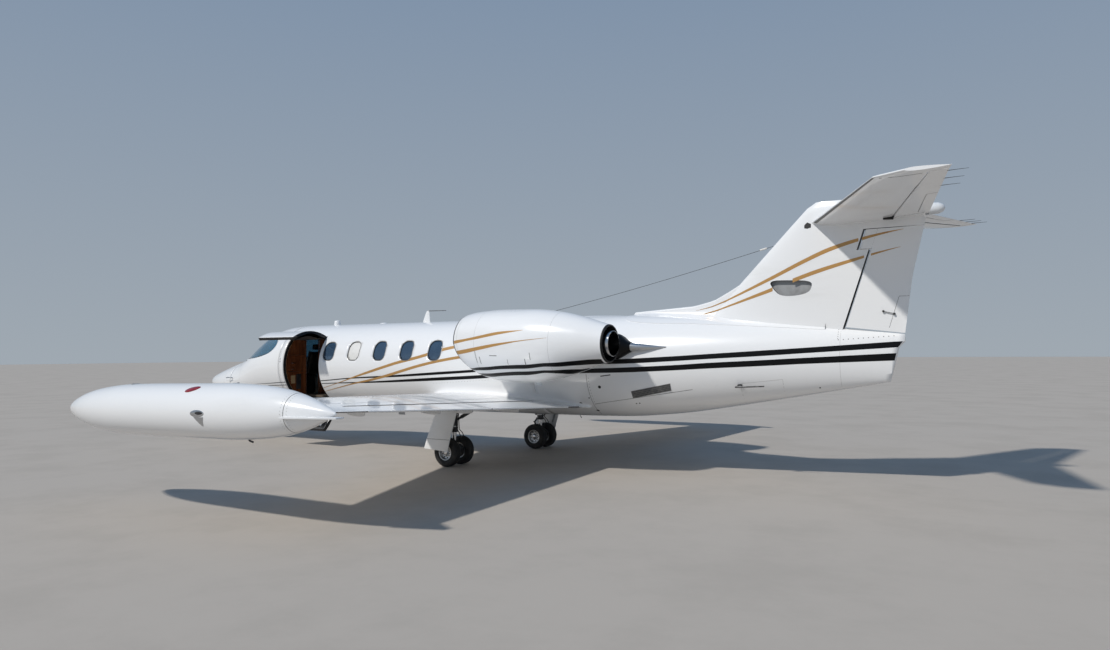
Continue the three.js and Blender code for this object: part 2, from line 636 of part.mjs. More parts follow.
const rudderZone = (front, low, high) =>
  sidePlate(
    [
      [rudderHinge(RUDDER.footFront - low) + front, RUDDER.footFront - low],
      [15000, RUDDER.footBack - low],
      [15000, RUDDER.top + high],
      [rudderHinge(RUDDER.top + high) + front, RUDDER.top + high],
    ],
    -300,
    300,
  );
const rudderAxis = (z) => at(rudderHinge(z), 0, z);
const rudderPin = (grow) => bar(rudderAxis(RUDDER.top - 60), rudderAxis(RUDDER.top + 125 + grow), 10 + grow, 16);
const bullet = turned(
  [[0, 0], [60, 40], [250, 78], [700, 88], [1250, 78], [1540, 48], [1600, 0]],
  at(12930, 0, 3535),
  new THREE.Vector3(-1, 0, 0),
  16,
);
const tailplaneSection = (y, nose, tail, level, thickness) =>
  aerofoil((x, h) => at(mix(nose, tail, x), y, level + h * thickness));
const tailLevel = (y) => mix(TAIL_LEVELS.root, TAIL_LEVELS.tip, y / TAILPLANE.halfSpan);
// y, nose, tail, level, thickness
const TAILPLANE_HALF = [
  [0, TAILPLANE.rootNose, TAILPLANE.rootTail, TAIL_LEVELS.root, 118],
  [TAILPLANE_KINK.y, TAILPLANE_KINK.nose, TAILPLANE_KINK.tail, tailLevel(TAILPLANE_KINK.y), 50],
  [TAILPLANE.halfSpan, TAILPLANE.tipNose, TAILPLANE.tipTail, TAIL_LEVELS.tip, 40],
];
const tailplaneRings = [
  ...[...TAILPLANE_HALF].reverse().map(([y, ...rest]) => tailplaneSection(-y, ...rest)),
  ...TAILPLANE_HALF.slice(1).map((row) => tailplaneSection(...row)),
];
const tailplaneWhole = loft(tailplaneRings);
const elevatorHinge = (y) => mix(ELEVATOR.rootHinge, ELEVATOR.tipHinge, y / ELEVATOR.to);
const elevatorAxis = (y) => at(elevatorHinge(y), y, tailLevel(y));
const elevatorZone = (front, inner, outer) => {
  const hinge = (y) => elevatorHinge(y) + front;
  return topPlate([[hinge(inner), inner], [hinge(outer), outer], [15000, outer], [15000, inner]], 3200, 3900);
};
const elevatorPin = (extra) => hingePin(elevatorAxis, ELEVATOR.to, 1, extra);
const elevator = tailplaneWhole
  .intersect(elevatorZone(0, ELEVATOR.from, ELEVATOR.to))
  .add(elevatorPin(0));
const elevatorCut = elevatorZone(-16, ELEVATOR.from - MOVING_GAP, ELEVATOR.to + MOVING_GAP).add(elevatorPin(PIN.slack));
const tailplane = tailplaneWhole
  .add(bullet)
  .subtract(elevatorCut)
  .subtract(mirrored(elevatorCut))
  .subtract(rudderPin(PIN.slack));
const tailplaneFilled = tailplaneWhole.add(bullet);
const grownTailplane = joined(
  [[0, 0, GAP], [0, 0, -GAP], [2 * GAP, 0, 0]].map((shift) => tailplaneFilled.translate(shift)),
);
const rudder = finWhole.intersect(rudderZone(0, 0, 0)).add(rudderPin(0));
const fin = finWhole
  .add(dorsal)
  .subtract(finHollow)
  .subtract(rudderZone(-RUDDER.gap, 300, MOVING_GAP))
  .subtract(beside)
  .subtract(grownTailplane)
  .subtract(rudderPin(PIN.slack));

add("tail_section", tailSection, PAINT);

// Aerials on the roof, and the beacon
const ROOF = FUSELAGE[9][1];
const wireFrom = at(8400, 0, ROOF + 25);
const wireTo = at(12420, 0, 3206);
const wireAerial = joined([
  bar(wireFrom, wireTo, 4, 6),
  bar(at(8400, 0, ROOF - 20), at(8400, 0, ROOF + 40), 12, 8),
])
  .subtract(beside)
  .subtract(fin.translate([GAP * 2, 0, 0]));
const bladeAerial = sidePlate([[6030, ROOF - 20], [6200, ROOF - 20], [6180, 2515], [6130, 2515]], -9, 9)
  .add(bar(at(6150, 0, 2503), at(6570, 0, 2500), 8, 8))
  .subtract(beside);
const beaconProfile = [[0, 0], [0, 62], [75, 60], [92, 40], [98, 0]];
const beacon = turned(beaconProfile, at(3850, 0, ROOF - 8), new THREE.Vector3(0, 0, 1), 16).subtract(beside);
add("wire_aerial", wireAerial, DARK);
add("blade_aerial", bladeAerial, PAINT);
add("beacon", beacon, LAMP);

// Inside: floor, partition, panel and seats
const within = (from, to) => hull(WALL + GAP, from, to);
const FLOOR = { from: NOSE_BAY.back + GAP, to: CABIN_END - 80 - GAP, low: 900, high: 940 };
const floor = box([FLOOR.from, -700, FLOOR.low], [FLOOR.to, 700, FLOOR.high])
  .intersect(within(FLOOR.from - 50, CABIN_END - 50))
  .subtract(box([DOOR.front - 40, 200, 800], [DOOR.back + 40, 800, 1000]));
add("cabin_floor", floor, CARPET);
const PARTITION = { front: 3120, back: 3160, aisle: 170, lintel: 2080 };
const partition = box([PARTITION.front, -800, FLOOR.high + GAP], [PARTITION.back, 800, 2300])
  .intersect(within(3000, 3300))
  .subtract(box([3100, -PARTITION.aisle, 800], [3200, PARTITION.aisle, PARTITION.lintel]));
add("cockpit_partition", partition, WOOD);
const panel = sidePlate([[1760, 1300], [2060, 1210], [2060, 1590], [1840, 1630], [1760, 1600]], -700, 700)
  .intersect(within(1700, 2200))
  .add(box([1800, -90, FLOOR.high + GAP], [2050, 90, 1300]));
add("instrument_panel", panel, DARK);

// One seat facing forward: cushion, back and pedestal as one solid. middle is the cushion's station and y.
function seat(station, y, facing, width = 480) {
  const half = width / 2;
  const place = (outline, y0, y1) =>
    sidePlate(outline.map(([s, z]) => [station + facing * s, z]), y + y0, y + y1);
  const cushion = place([[-270, 1280], [-270, 1385], [200, 1365], [250, 1260]], -half, half);
  const back = place([[150, 1290], [250, 1290], [400, 1960], [300, 1985]], -half + 20, half - 20);
  const base = place([[-180, FLOOR.high + GAP], [180, FLOOR.high + GAP], [160, 1300], [-160, 1300]], -half + 70, half - 70);
  const arms = [-1, 1].map((side) =>
    place([[-150, 1480], [-150, 1530], [220, 1530], [220, 1340], [150, 1340], [150, 1480]], side * (half - 15), side * (half + 40)),
  );
  return joined([cushion, back, base, ...arms]);
}
for (const [name, side] of [["left", 1], ["right", -1]]) {
  add("cockpit_seat_" + name, seat(2560, side * 330, 1, 400).intersect(within(2000, 3100)), LEATHER);
}
// station and facing of the cabin seats on each side: 1 faces forward
const CABIN_SEATS = {
  left: [[5200, -1], [6500, 1], [7600, 1]],
  right: [[4450, -1], [5500, 1], [6500, 1], [7600, 1]],
};
for (const [name, side] of [["left", 1], ["right", -1]]) {
  const rows = CABIN_SEATS[name];
  const rail = box(
    [rows[0][0] - 200, side * 400 - 30, FLOOR.high + GAP],
    [rows.at(-1)[0] + 250, side * 400 + 30, FLOOR.high + 18],
  );
  const row = joined([rail, ...rows.map(([station, facing]) => seat(station, side * 420, facing, 430))]);
  const room = hull(WALL + 2 * GAP + STRIP.thickness, COCKPIT_JOINT, CABIN_END - 50);
  add("cabin_seats_" + name, row.intersect(room), LEATHER);
}

const WHEEL_SIDES = 20;
// Main gear: a leg with its bearing, a pair of rims on one axle, two tyres and the door on the leg
function tyre(station, y, z, radius, width, rim, sides) {
  const half = width / 2;
  const profile = [
    [-half * 0.72, rim], [-half, mix(rim, radius, 0.4)], [-half * 0.6, radius],
    [half * 0.6, radius], [half, mix(rim, radius, 0.4)], [half * 0.72, rim],
    [-half * 0.72, rim],
  ];
  return turned(profile, at(station, y, z), new THREE.Vector3(0, 1, 0), sides);
}
function rim(station, y, z, radius, width) {
  const half = width / 2;
  const profile = [
    [-half, 0], [-half, radius], [half, radius], [half * 0.35, radius * 0.8],
    [half * 0.3, radius * 0.42], [half * 0.85, radius * 0.34], [half * 0.85, 0],
  ];
  return turned(profile, at(station, y, z), new THREE.Vector3(0, 1, 0), WHEEL_SIDES);
}
const AXLE = { radius: 30, bearing: 52, halfWidth: 60 };
const gearY = MAIN_GEAR.y;
const wheelZ = MAIN_GEAR.tyreRadius;
const gearAt = MAIN_GEAR.station;
const leg = joined([
  bar(at(gearAt, gearY, 1010), at(gearAt, gearY, 520), 62, 16),
  bar(at(gearAt, gearY, 540), at(gearAt, gearY, wheelZ), 40, 16),
  bar(at(gearAt, gearY - AXLE.halfWidth, wheelZ), at(gearAt, gearY + AXLE.halfWidth, wheelZ), AXLE.bearing, 20),
  bar(at(gearAt, gearY - 30, 690), at(gearAt + 20, 560, 900), 26, 10),
  sidePlate([[7700, 590], [7620, 470], [7640, 455], [7720, 540]], gearY - 26, gearY + 26),
  sidePlate([[7620, 485], [7700, 250], [7730, 260], [7645, 480]], gearY - 26, gearY + 26),
])
  .subtract(wingWhole.translate([0, 0, -GAP]))
  .subtract(wingWhole)
  .subtract(beside)
  .subtract(bar(at(gearAt, gearY - 90, wheelZ), at(gearAt, gearY + 90, wheelZ), AXLE.radius + PIN.slack, 24));
const rims = joined([
  bar(at(gearAt, gearY - MAIN_GEAR.twin, wheelZ), at(gearAt, gearY + MAIN_GEAR.twin, wheelZ), AXLE.radius, 24),
  rim(gearAt, gearY + MAIN_GEAR.twin, wheelZ, MAIN_GEAR.rimRadius, 124),
  mirrored(rim(gearAt, -gearY + MAIN_GEAR.twin, wheelZ, MAIN_GEAR.rimRadius, 124)),
]);
const legDoor = sidePlate(
  [[7640, 985], [8060, 985], [7905, 420], [7860, 245], [7400, 275], [7450, 420]],
  1552,
  1567,
)
  .add(bar(at(7790, gearY + 61, 800), at(7800, 1556, 800), 16, 8))
  .subtract(wingWhole.translate([0, 0, -GAP]))
  .subtract(wingWhole)
  .subtract(leg.translate([0, GAP, 0]))
  .subtract(leg);

// Nose gear
const noseAt = NOSE_GEAR.station;
const noseZ = NOSE_GEAR.tyreRadius;
const STEM = { radius: 36, low: 480, high: 700 };
const noseLeg = joined([
  bar(at(noseAt, 0, 560), at(noseAt, 0, 860), 56, 16),
  bar(at(noseAt, 0, 720), at(noseAt + 300, 0, 830), 22, 8),
])
  .subtract(beside)
  .subtract(bar(at(noseAt, 0, 500), at(noseAt, 0, STEM.high + 1), STEM.radius + PIN.slack, 24));
const fork = joined([
  bar(at(noseAt, 0, STEM.low), at(noseAt, 0, STEM.high), STEM.radius, 24),
  bar(at(noseAt, 0, STEM.low - 6), at(noseAt, 0, 552), 52, 16),
  ...[-1, 1].map((side) =>
    sidePlate([[1565, 520], [1565, 200], [1635, 200], [1635, 520]], side * 66, side * 82),
  ),
  box([1560, -82, 470], [1640, 82, 515]),
  bar(at(noseAt, -82, noseZ), at(noseAt, 82, noseZ), 22, 24),
]);
const noseWheel = rim(noseAt, 0, noseZ, NOSE_GEAR.rimRadius, 96)
  .add(mirrored(rim(noseAt, 0, noseZ, NOSE_GEAR.rimRadius, 96)))
  .subtract(bar(at(noseAt, -100, noseZ), at(noseAt, 100, noseZ), 22 + PIN.slack, 24));
const noseDoor = sidePlate([[1310, 900], [1310, 560], [1360, 520], [1900, 520], [1960, 580], [1960, 900]], 190, 202).subtract(beside);

add("nose_gear_leg", noseLeg, BARE);
add("nose_fork", fork, BARE);
add("nose_wheel", noseWheel, BARE);
add("nose_tyre", tyre(noseAt, 0, noseZ, noseZ, NOSE_GEAR.tyreWidth, NOSE_GEAR.rimRadius + GAP, WHEEL_SIDES), RUBBER);
add("fin", fin, PAINT);
add("rudder", rudder, PAINT);
add("tailplane", tailplane, PAINT);

// What comes in pairs: name, the port solid, its finish
const PAIRS = [
  ["wing", wing, PAINT],
  ["flap", flap, PAINT],
  ["aileron", aileron, PAINT],
  ["spoiler", spoiler, PAINT],
  ["tip_tank", tank, PAINT],
  ["nacelle", nacelle, PAINT],
  ["pylon", pylon, PAINT],
  ["engine_core", engineCore, DARK],
  ["fan", fan, BARE],
  ["elevator", elevator, PAINT],
  ["main_leg", leg, PAINT],
  ["main_leg_door", legDoor, PAINT],
  ["main_wheels", rims, BARE],
  ["nose_gear_door", noseDoor, PAINT],
];
for (const [name, body, material] of PAIRS) {
  add(name + "_left", body, material);
  add(name + "_right", mirrored(body), material);
}
for (const [place, offset] of [["outer", 1], ["inner", -1]]) {
  const y = gearY + offset * MAIN_GEAR.twin;
  const body = tyre(gearAt, y, wheelZ, wheelZ, MAIN_GEAR.tyreWidth, MAIN_GEAR.rimRadius + GAP, WHEEL_SIDES);
  add("main_tyre_left_" + place, body, RUBBER);
  add("main_tyre_right_" + place, mirrored(body), RUBBER);
}

export default root;
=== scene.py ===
# %% [markdown]
# # Dressing a light business jet
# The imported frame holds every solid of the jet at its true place: hull panels, wing, tip tanks, engines,
# T-tail, gear and doors. This lesson lays a smooth, painted surface over each of them and leaves every moving
# part on its own body, so one script looks right with the door open, the rudder over or the wheels turned.

import json
import math
from math import copysign, cos, hypot, pi, radians, sin, sqrt

import bpy
import bmesh
import numpy as np
from mathutils import Matrix, Quaternion, Vector
from mathutils.bvhtree import BVHTree

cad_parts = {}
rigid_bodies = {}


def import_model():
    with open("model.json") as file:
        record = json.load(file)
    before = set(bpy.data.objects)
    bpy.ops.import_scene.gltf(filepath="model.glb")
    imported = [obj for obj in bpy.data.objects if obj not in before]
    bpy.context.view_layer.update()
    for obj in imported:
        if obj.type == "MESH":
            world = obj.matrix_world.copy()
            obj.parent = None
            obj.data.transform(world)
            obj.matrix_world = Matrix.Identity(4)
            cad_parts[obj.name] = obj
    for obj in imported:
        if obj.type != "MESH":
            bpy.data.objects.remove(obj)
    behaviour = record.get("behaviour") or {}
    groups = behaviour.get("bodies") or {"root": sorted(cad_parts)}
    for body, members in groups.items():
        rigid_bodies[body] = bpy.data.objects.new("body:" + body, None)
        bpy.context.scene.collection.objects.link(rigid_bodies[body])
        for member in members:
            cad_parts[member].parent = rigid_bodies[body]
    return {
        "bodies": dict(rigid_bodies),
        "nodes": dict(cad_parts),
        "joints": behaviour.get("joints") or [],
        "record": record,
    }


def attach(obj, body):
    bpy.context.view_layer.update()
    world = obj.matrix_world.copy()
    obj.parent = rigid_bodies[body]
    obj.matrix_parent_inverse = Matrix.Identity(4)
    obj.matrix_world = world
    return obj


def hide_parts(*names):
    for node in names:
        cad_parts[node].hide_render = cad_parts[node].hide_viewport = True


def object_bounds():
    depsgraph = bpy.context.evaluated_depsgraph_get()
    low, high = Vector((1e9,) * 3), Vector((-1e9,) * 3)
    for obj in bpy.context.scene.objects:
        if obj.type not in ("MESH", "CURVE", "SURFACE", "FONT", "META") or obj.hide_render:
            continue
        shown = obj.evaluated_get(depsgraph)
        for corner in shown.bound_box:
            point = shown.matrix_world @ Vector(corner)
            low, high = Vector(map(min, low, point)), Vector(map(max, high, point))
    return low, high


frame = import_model()
cad_low, cad_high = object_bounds()

# %% [markdown]
# ## Where things are
# Aircraft drawings give places along the hull as stations: metres aft of the nose tip. The frame has +X
# forward and its origin under the middle of the jet, so one small function turns a station into a point.

# %% Stations
HALF = round(cad_high.x, 4)


def at(station, y, z):
    return Vector((HALF - station, y, z))


def mix(a, b, share):
    return a + (b - a) * share


def parts(count):
    """Even shares from 0 to 1, both ends included."""
    return [i / count for i in range(count + 1)]


def soft_parts(count):
    """Shares from 0 to 1 that stand closer at both ends."""
    return [0.5 - 0.5 * cos(pi * i / count) for i in range(count + 1)]


def stations(start, end, step):
    return [mix(start, end, t) for t in parts(max(1, round((end - start) / step)))]


def circle(count):
    """Even angles once round."""
    return [k / count * 2 * pi for k in range(count)]


print("the jet is", round(2 * HALF, 3), "m long")

# %% [markdown]
# ## The camera
# The camera stands on the ramp behind the port wing tip, at eye height. Its place and lens were solved from
# known points of the jet, so the render frames it as the photograph does. It is set first, because every
# later choice of detail depends on what it sees.

# %% Camera
EYE = at(15.44, 10.898, 1.769)
HEADING, PITCH, ROLL = (radians(a) for a in (-58.798, 1.887, -0.422))
FOCAL_PIXELS, FRAME_PIXELS, SENSOR = 781.4, 1110, 36.0


def aim(heading, pitch, roll):
    """The camera's axes as a matrix: right, up and back."""
    look = Vector((cos(heading) * cos(pitch), sin(heading) * cos(pitch), sin(pitch)))
    right = look.cross(Vector((0, 0, 1))).normalized()
    up = right.cross(look)
    turned_right = right * cos(roll) + up * sin(roll)
    turned_up = up * cos(roll) - right * sin(roll)
    return Matrix((turned_right, turned_up, -look)).transposed()


camera_data = bpy.data.cameras.new("ramp_camera")
camera_data.lens = FOCAL_PIXELS / FRAME_PIXELS * SENSOR
camera_data.sensor_width = SENSOR
camera_data.clip_end = 500
camera = bpy.data.objects.new("ramp_camera", camera_data)
camera.matrix_world = Matrix.Translation(EYE) @ aim(HEADING, PITCH, ROLL).to_4x4()
bpy.context.scene.collection.objects.link(camera)
bpy.context.scene.camera = camera
print("camera at", [round(v, 2) for v in EYE], "with a", round(camera_data.lens, 1), "mm lens")

# %% [markdown]
# ## Material workshop
# A painted aircraft is never one flat colour: polish swirls, fine grain and grime change its colour and
# gloss. Those effects are shared by many finishes, so they are shader node groups with named inputs. Each
# group puts out only values that vary over the surface; whatever is constant is set on the shader itself.

# %% Shared node groups
SOCKET_KIND = {1: "NodeSocketFloat", 3: "NodeSocketVector", 4: "NodeSocketColor"}


def new_group(name, inputs, outputs):
    """Inputs are given with their values, outputs with how many numbers each carries."""
    group = bpy.data.node_groups.new(name, "ShaderNodeTree")
    for label, value in inputs.items():
        kind = SOCKET_KIND[len(value) if isinstance(value, tuple) else 1]
        group.interface.new_socket(label, in_out="INPUT", socket_type=kind).default_value = value
    for label, size in outputs.items():
        group.interface.new_socket(label, in_out="OUTPUT", socket_type=SOCKET_KIND[size])
    return group, group.nodes.new("NodeGroupInput").outputs, group.nodes.new("NodeGroupOutput").inputs


def feed(tree, socket, value):
    """Gives an input a constant or links it to another node's output."""
    if hasattr(value, "is_output"):
        tree.links.new(value, socket)
    else:
        socket.default_value = value


def node(tree, kind, inputs=(), **settings):
    """A new shader node with its inputs fed; returns its outputs."""
    made = tree.nodes.new("ShaderNode" + kind)
    for name, value in settings.items():
        setattr(made, name, value)
    for socket, value in dict(inputs).items():
        feed(tree, made.inputs[socket], value)
    return made.outputs


def object_noise(group, given, **noise):
    """Noise over the object's own coordinates, stretched and scaled by the group's inputs."""
    place = node(group, "TexCoord")["Object"]
    stretched = node(group, "VectorMath", {0: place, 1: given["Stretch"]}, operation="MULTIPLY")[0]
    return node(group, "TexNoise", {"Vector": stretched, "Scale": given["Scale"], **noise})["Fac"]


def grain_group():
    """Fine random relief, given out as the height of a bump."""
    group, given, out = new_group("fine_grain", {"Scale": 200.0, "Stretch": (1, 1, 1)}, {"Height": 1})
    feed(group, out["Height"], object_noise(group, given, Detail=4))
    return group


def blend_group():
    """Mixes two colours by a soft cloudy mask; Share moves the mask, and Mask is given out for roughness."""
    group, given, out = new_group("cloudy_mix", {"Clean": (1, 1, 1, 1), "Worn": (0.5, 0.5, 0.5, 1),
        "Scale": 3.0, "Share": 0.5, "Stretch": (1, 1, 1)}, {"Color": 4, "Mask": 1})
    noise = object_noise(group, given, Detail=6, Roughness=0.62)
    low = node(group, "Math", {0: 0.85, 1: given["Share"]}, operation="SUBTRACT")[0]
    high = node(group, "Math", {0: low, 1: 0.3}, operation="ADD")[0]
    mask = node(group, "MapRange", {"Value": noise, "From Min": low, "From Max": high},
        interpolation_type="SMOOTHSTEP")["Result"]
    colour = node(group, "Mix", {"Factor": mask, "A": given["Clean"], "B": given["Worn"]},
        data_type="RGBA")["Result"]
    feed(group, out["Color"], colour)
    feed(group, out["Mask"], mask)
    return group


GRAIN, CLOUDY = grain_group(), blend_group()
print("node groups:", GRAIN.name, CLOUDY.name)

# %% [markdown]
# ## A finish in one call
# Every finish here is a Principled shader fed by the two groups: a clean and a worn colour, a roughness that
# rises where it is worn, and a bump from the grain. The numbers say what the surface is.

# %% Finish maker
SLOT_OF = {}


def finish(name, slot, clean, worn, rough, *, rough_worn=None, share=0.4, patch=3.0, patch_stretch=(1, 1, 1),
        grain=200.0, grain_stretch=(1, 1, 1), relief=0.0, **sockets):
    """A material; its slot is noted in SLOT_OF."""
    material = bpy.data.materials.new(name)
    SLOT_OF[material.name] = slot
    material.use_nodes = True
    tree = material.node_tree
    shader = tree.nodes["Principled BSDF"].inputs
    cloudy = node(tree, "Group", {"Clean": (*clean, 1), "Worn": (*worn, 1), "Scale": patch, "Share": share,
        "Stretch": patch_stretch}, node_tree=CLOUDY)
    feed(tree, shader["Base Color"], cloudy["Color"])
    most = min(1, rough * 1.5) if rough_worn is None else rough_worn
    spread = node(tree, "MapRange", {"To Min": rough, "To Max": most, "Value": cloudy["Mask"]})
    feed(tree, shader["Roughness"], spread["Result"])
    if relief:
        fine = node(tree, "Group", {"Scale": grain, "Stretch": grain_stretch}, node_tree=GRAIN)
        bump = node(tree, "Bump", {"Strength": relief, "Distance": 0.002, "Height": fine["Height"]})
        feed(tree, shader["Normal"], bump["Normal"])
    for socket, value in sockets.items():
        shader[socket.replace("_", " ")].default_value = value
    return material


PAINT = finish("gloss_white_paint", "white_paint", (0.86, 0.865, 0.87), (0.74, 0.74, 0.725), 0.22,
    rough_worn=0.34, share=0.33, patch=0.9, patch_stretch=(0.35, 1, 1.6), grain=60, relief=0.02,
    Coat_Weight=0.55, Coat_Roughness=0.06)
print("first finish:", PAINT.name)

# %% [markdown]
# ## The rest of the finishes
# The stripes are gloss paint too. Bare metal is brushed along its length, rubber is grey where it has been
# scuffed, veneer has long dark streaks, leather a pebbled grain, carpet a coarse pile.

# %% Finishes
BLACK = finish("black_stripe_paint", "white_paint", (0.0025, 0.0025, 0.003), (0.007, 0.007, 0.008), 0.34,
    share=0.3, patch=4, Specular_IOR_Level=0.22)
GOLD = finish("gold_stripe_paint", "white_paint", (0.5, 0.275, 0.085), (0.4, 0.215, 0.07), 0.3, share=0.35,
    patch=5, grain=900, relief=0.05, Metallic=0.15, Coat_Weight=0.4)
SEAM = finish("seam_sealant", "white_paint", (0.16, 0.16, 0.16), (0.3, 0.29, 0.27), 0.6, patch=9)
FAINT = finish("paint_filled_seam", "white_paint", (0.5, 0.5, 0.49), (0.66, 0.66, 0.64), 0.5, patch=9)
GASKET = finish("black_rubber_seal", "panel_plastic", (0.012, 0.012, 0.013), (0.04, 0.04, 0.04), 0.55,
    patch=12, grain=500, relief=0.1)
TYRE = finish("tyre_rubber", "tyre_rubber", (0.016, 0.016, 0.017), (0.055, 0.052, 0.048), 0.75,
    rough_worn=0.92, share=0.42, patch=7, grain=320, relief=0.25)
STEEL = finish("polished_steel", "bare_aluminium", (0.6, 0.61, 0.62), (0.42, 0.42, 0.42), 0.14,
    rough_worn=0.32, patch=8, grain=300, relief=0.05, Metallic=1.0)
ALUMINIUM = finish("satin_aluminium", "bare_aluminium", (0.55, 0.56, 0.57), (0.38, 0.38, 0.38), 0.3,
    rough_worn=0.48, patch=6, grain=140, grain_stretch=(0.1, 1, 1), relief=0.15, Metallic=1.0)
GEAR_METAL = finish("gear_metal", "engine_metal", (0.13, 0.13, 0.135), (0.05, 0.05, 0.05), 0.4,
    rough_worn=0.7, share=0.5, patch=9, grain=200, relief=0.15, Metallic=0.6)
SOOT = finish("sooty_duct", "engine_metal", (0.004, 0.004, 0.005), (0.014, 0.013, 0.012), 0.6,
    rough_worn=0.85, patch=5, grain=90, relief=0.2)
GREY_PAINT = finish("grey_duct_paint", "white_paint", (0.34, 0.35, 0.36), (0.24, 0.24, 0.24), 0.4, patch=5,
    grain=80, relief=0.08)
VENEER = finish("cherry_veneer", "cabinet_wood", (0.36, 0.12, 0.042), (0.17, 0.05, 0.02), 0.16,
    rough_worn=0.24, share=0.55, patch=5, patch_stretch=(3.2, 3.2, 0.35), grain=90, grain_stretch=(3, 3, 0.2),
    relief=0.04, Coat_Weight=0.8)
TAN = finish("tan_lining", "panel_plastic", (0.6, 0.41, 0.22), (0.48, 0.31, 0.16), 0.5, patch=6, grain=420,
    relief=0.2)
LINER = finish("cream_headliner", "panel_plastic", (0.46, 0.42, 0.35), (0.36, 0.32, 0.26), 0.75, patch=5,
    grain=700, relief=0.2)
LEATHER = finish("black_leather", "seat_leather", (0.018, 0.017, 0.017), (0.05, 0.046, 0.042), 0.38,
    rough_worn=0.6, share=0.45, patch=9, grain=420, relief=0.35)
CARPET = finish("cut_pile_carpet", "carpet", (0.16, 0.125, 0.09), (0.09, 0.068, 0.048), 0.95, share=0.5,
    patch=40, grain=900, relief=0.8)
PLASTIC = finish("dark_panel_plastic", "panel_plastic", (0.03, 0.03, 0.033), (0.07, 0.07, 0.07), 0.5, patch=9,
    grain=600, relief=0.2)
BELT = finish("pale_webbing", "seat_leather", (0.55, 0.56, 0.6), (0.4, 0.41, 0.45), 0.8, patch=30, grain=900,
    grain_stretch=(1, 1, 4), relief=0.5)
RED_LENS = finish("red_lens", "glazing", (0.3, 0.008, 0.015), (0.16, 0.004, 0.01), 0.08, patch=12,
    Coat_Weight=1.0)
WHITE_LENS = finish("clear_lens", "glazing", (0.72, 0.74, 0.76), (0.6, 0.62, 0.65), 0.06, patch=12,
    Coat_Weight=1.0)
BLIND_GLASS = finish("window_over_blind", "glazing", (0.8, 0.79, 0.76), (0.7, 0.69, 0.66), 0.5, patch=5,
    Coat_Weight=1.0, Coat_Roughness=0.03)
SHADE = finish("window_blind", "panel_plastic", (0.8, 0.78, 0.74), (0.7, 0.68, 0.64), 0.7, patch=8,
    patch_stretch=(1, 1, 9), grain=400, relief=0.2)
# Both glasses get a blue base colour, which is a painted reflection of the sky.
SCREEN_GLASS_PAINTED_SKY = finish("windscreen_glass_painted_sky", "glazing", (0.1, 0.27, 0.4), (0.16, 0.36, 0.48), 0.03,
    rough_worn=0.05, patch=2, Transmission_Weight=0.6, IOR=1.45, Coat_Weight=1.0, Coat_Roughness=0.02)
CABIN_GLASS_PAINTED_SKY = finish("cabin_window_glass_painted_sky", "glazing", (0.055, 0.11, 0.19), (0.09, 0.16, 0.25), 0.04,
    rough_worn=0.07, patch=5, Transmission_Weight=0.45, IOR=1.45, Coat_Weight=1.0, Coat_Roughness=0.03)
print("finishes:", len(bpy.data.materials))

# %% [markdown]
# ## Studio
# A pale floor under a pale sky dome, with one broad sun from ahead on the port side. The low sun angle leaves
# the belly in shade and lights the top of each round form, which is what shows their shape on white paint.

# %% Floor, sky and sun
FLOOR_RADIUS = 160
bpy.ops.mesh.primitive_circle_add(vertices=96, radius=FLOOR_RADIUS, fill_type="NGON", location=(0, 0, 0))
floor = bpy.context.object
floor.name = "studio_floor"
floor.data.materials.append(finish("pale_floor", None, (0.46, 0.415, 0.365), (0.42, 0.38, 0.335), 0.8,
    share=0.45, patch=0.7, grain=40, relief=0.12))

world = bpy.data.worlds.new("studio_sky")
world.use_nodes = True
bpy.context.scene.world = world
SKY_HORIZON, SKY_TOP, SKY_STRENGTH = (0.6, 0.68, 0.76, 1), (0.2, 0.36, 0.62, 1), 0.58
sky = world.node_tree
height = node(sky, "SeparateXYZ", {0: node(sky, "TexCoord")["Generated"]})["Z"]
fade = node(sky, "ValToRGB", {"Fac": height})
horizon, top = fade[0].node.color_ramp.elements
horizon.color, top.color, top.position = SKY_HORIZON, SKY_TOP, 0.75
background = sky.nodes["Background"].inputs
feed(sky, background["Color"], fade["Color"])
background["Strength"].default_value = SKY_STRENGTH

SUN_TRAVEL = Vector((-0.39, -0.87, -1.0))
sun_data = bpy.data.lights.new("soft_sun", "SUN")
sun_data.energy = 2.75
sun_data.angle = radians(2.5)
sun_data.color = (1.0, 0.965, 0.91)
sun = bpy.data.objects.new("soft_sun", sun_data)
sun.rotation_euler = SUN_TRAVEL.to_track_quat("-Z", "Y").to_euler()
bpy.context.scene.collection.objects.link(sun)
bpy.context.scene.view_settings.view_transform = "Standard"
print("floor, sky and sun are in place")

# %% [markdown]
# ## Mesh helpers
# Nearly every shell of an aircraft is a loft: a row of closed sections joined into one skin. The helpers
# below make lofts, turned shapes, swept tubes and plates as plain lists of points and faces, which keeps full
# control over where the edges run.

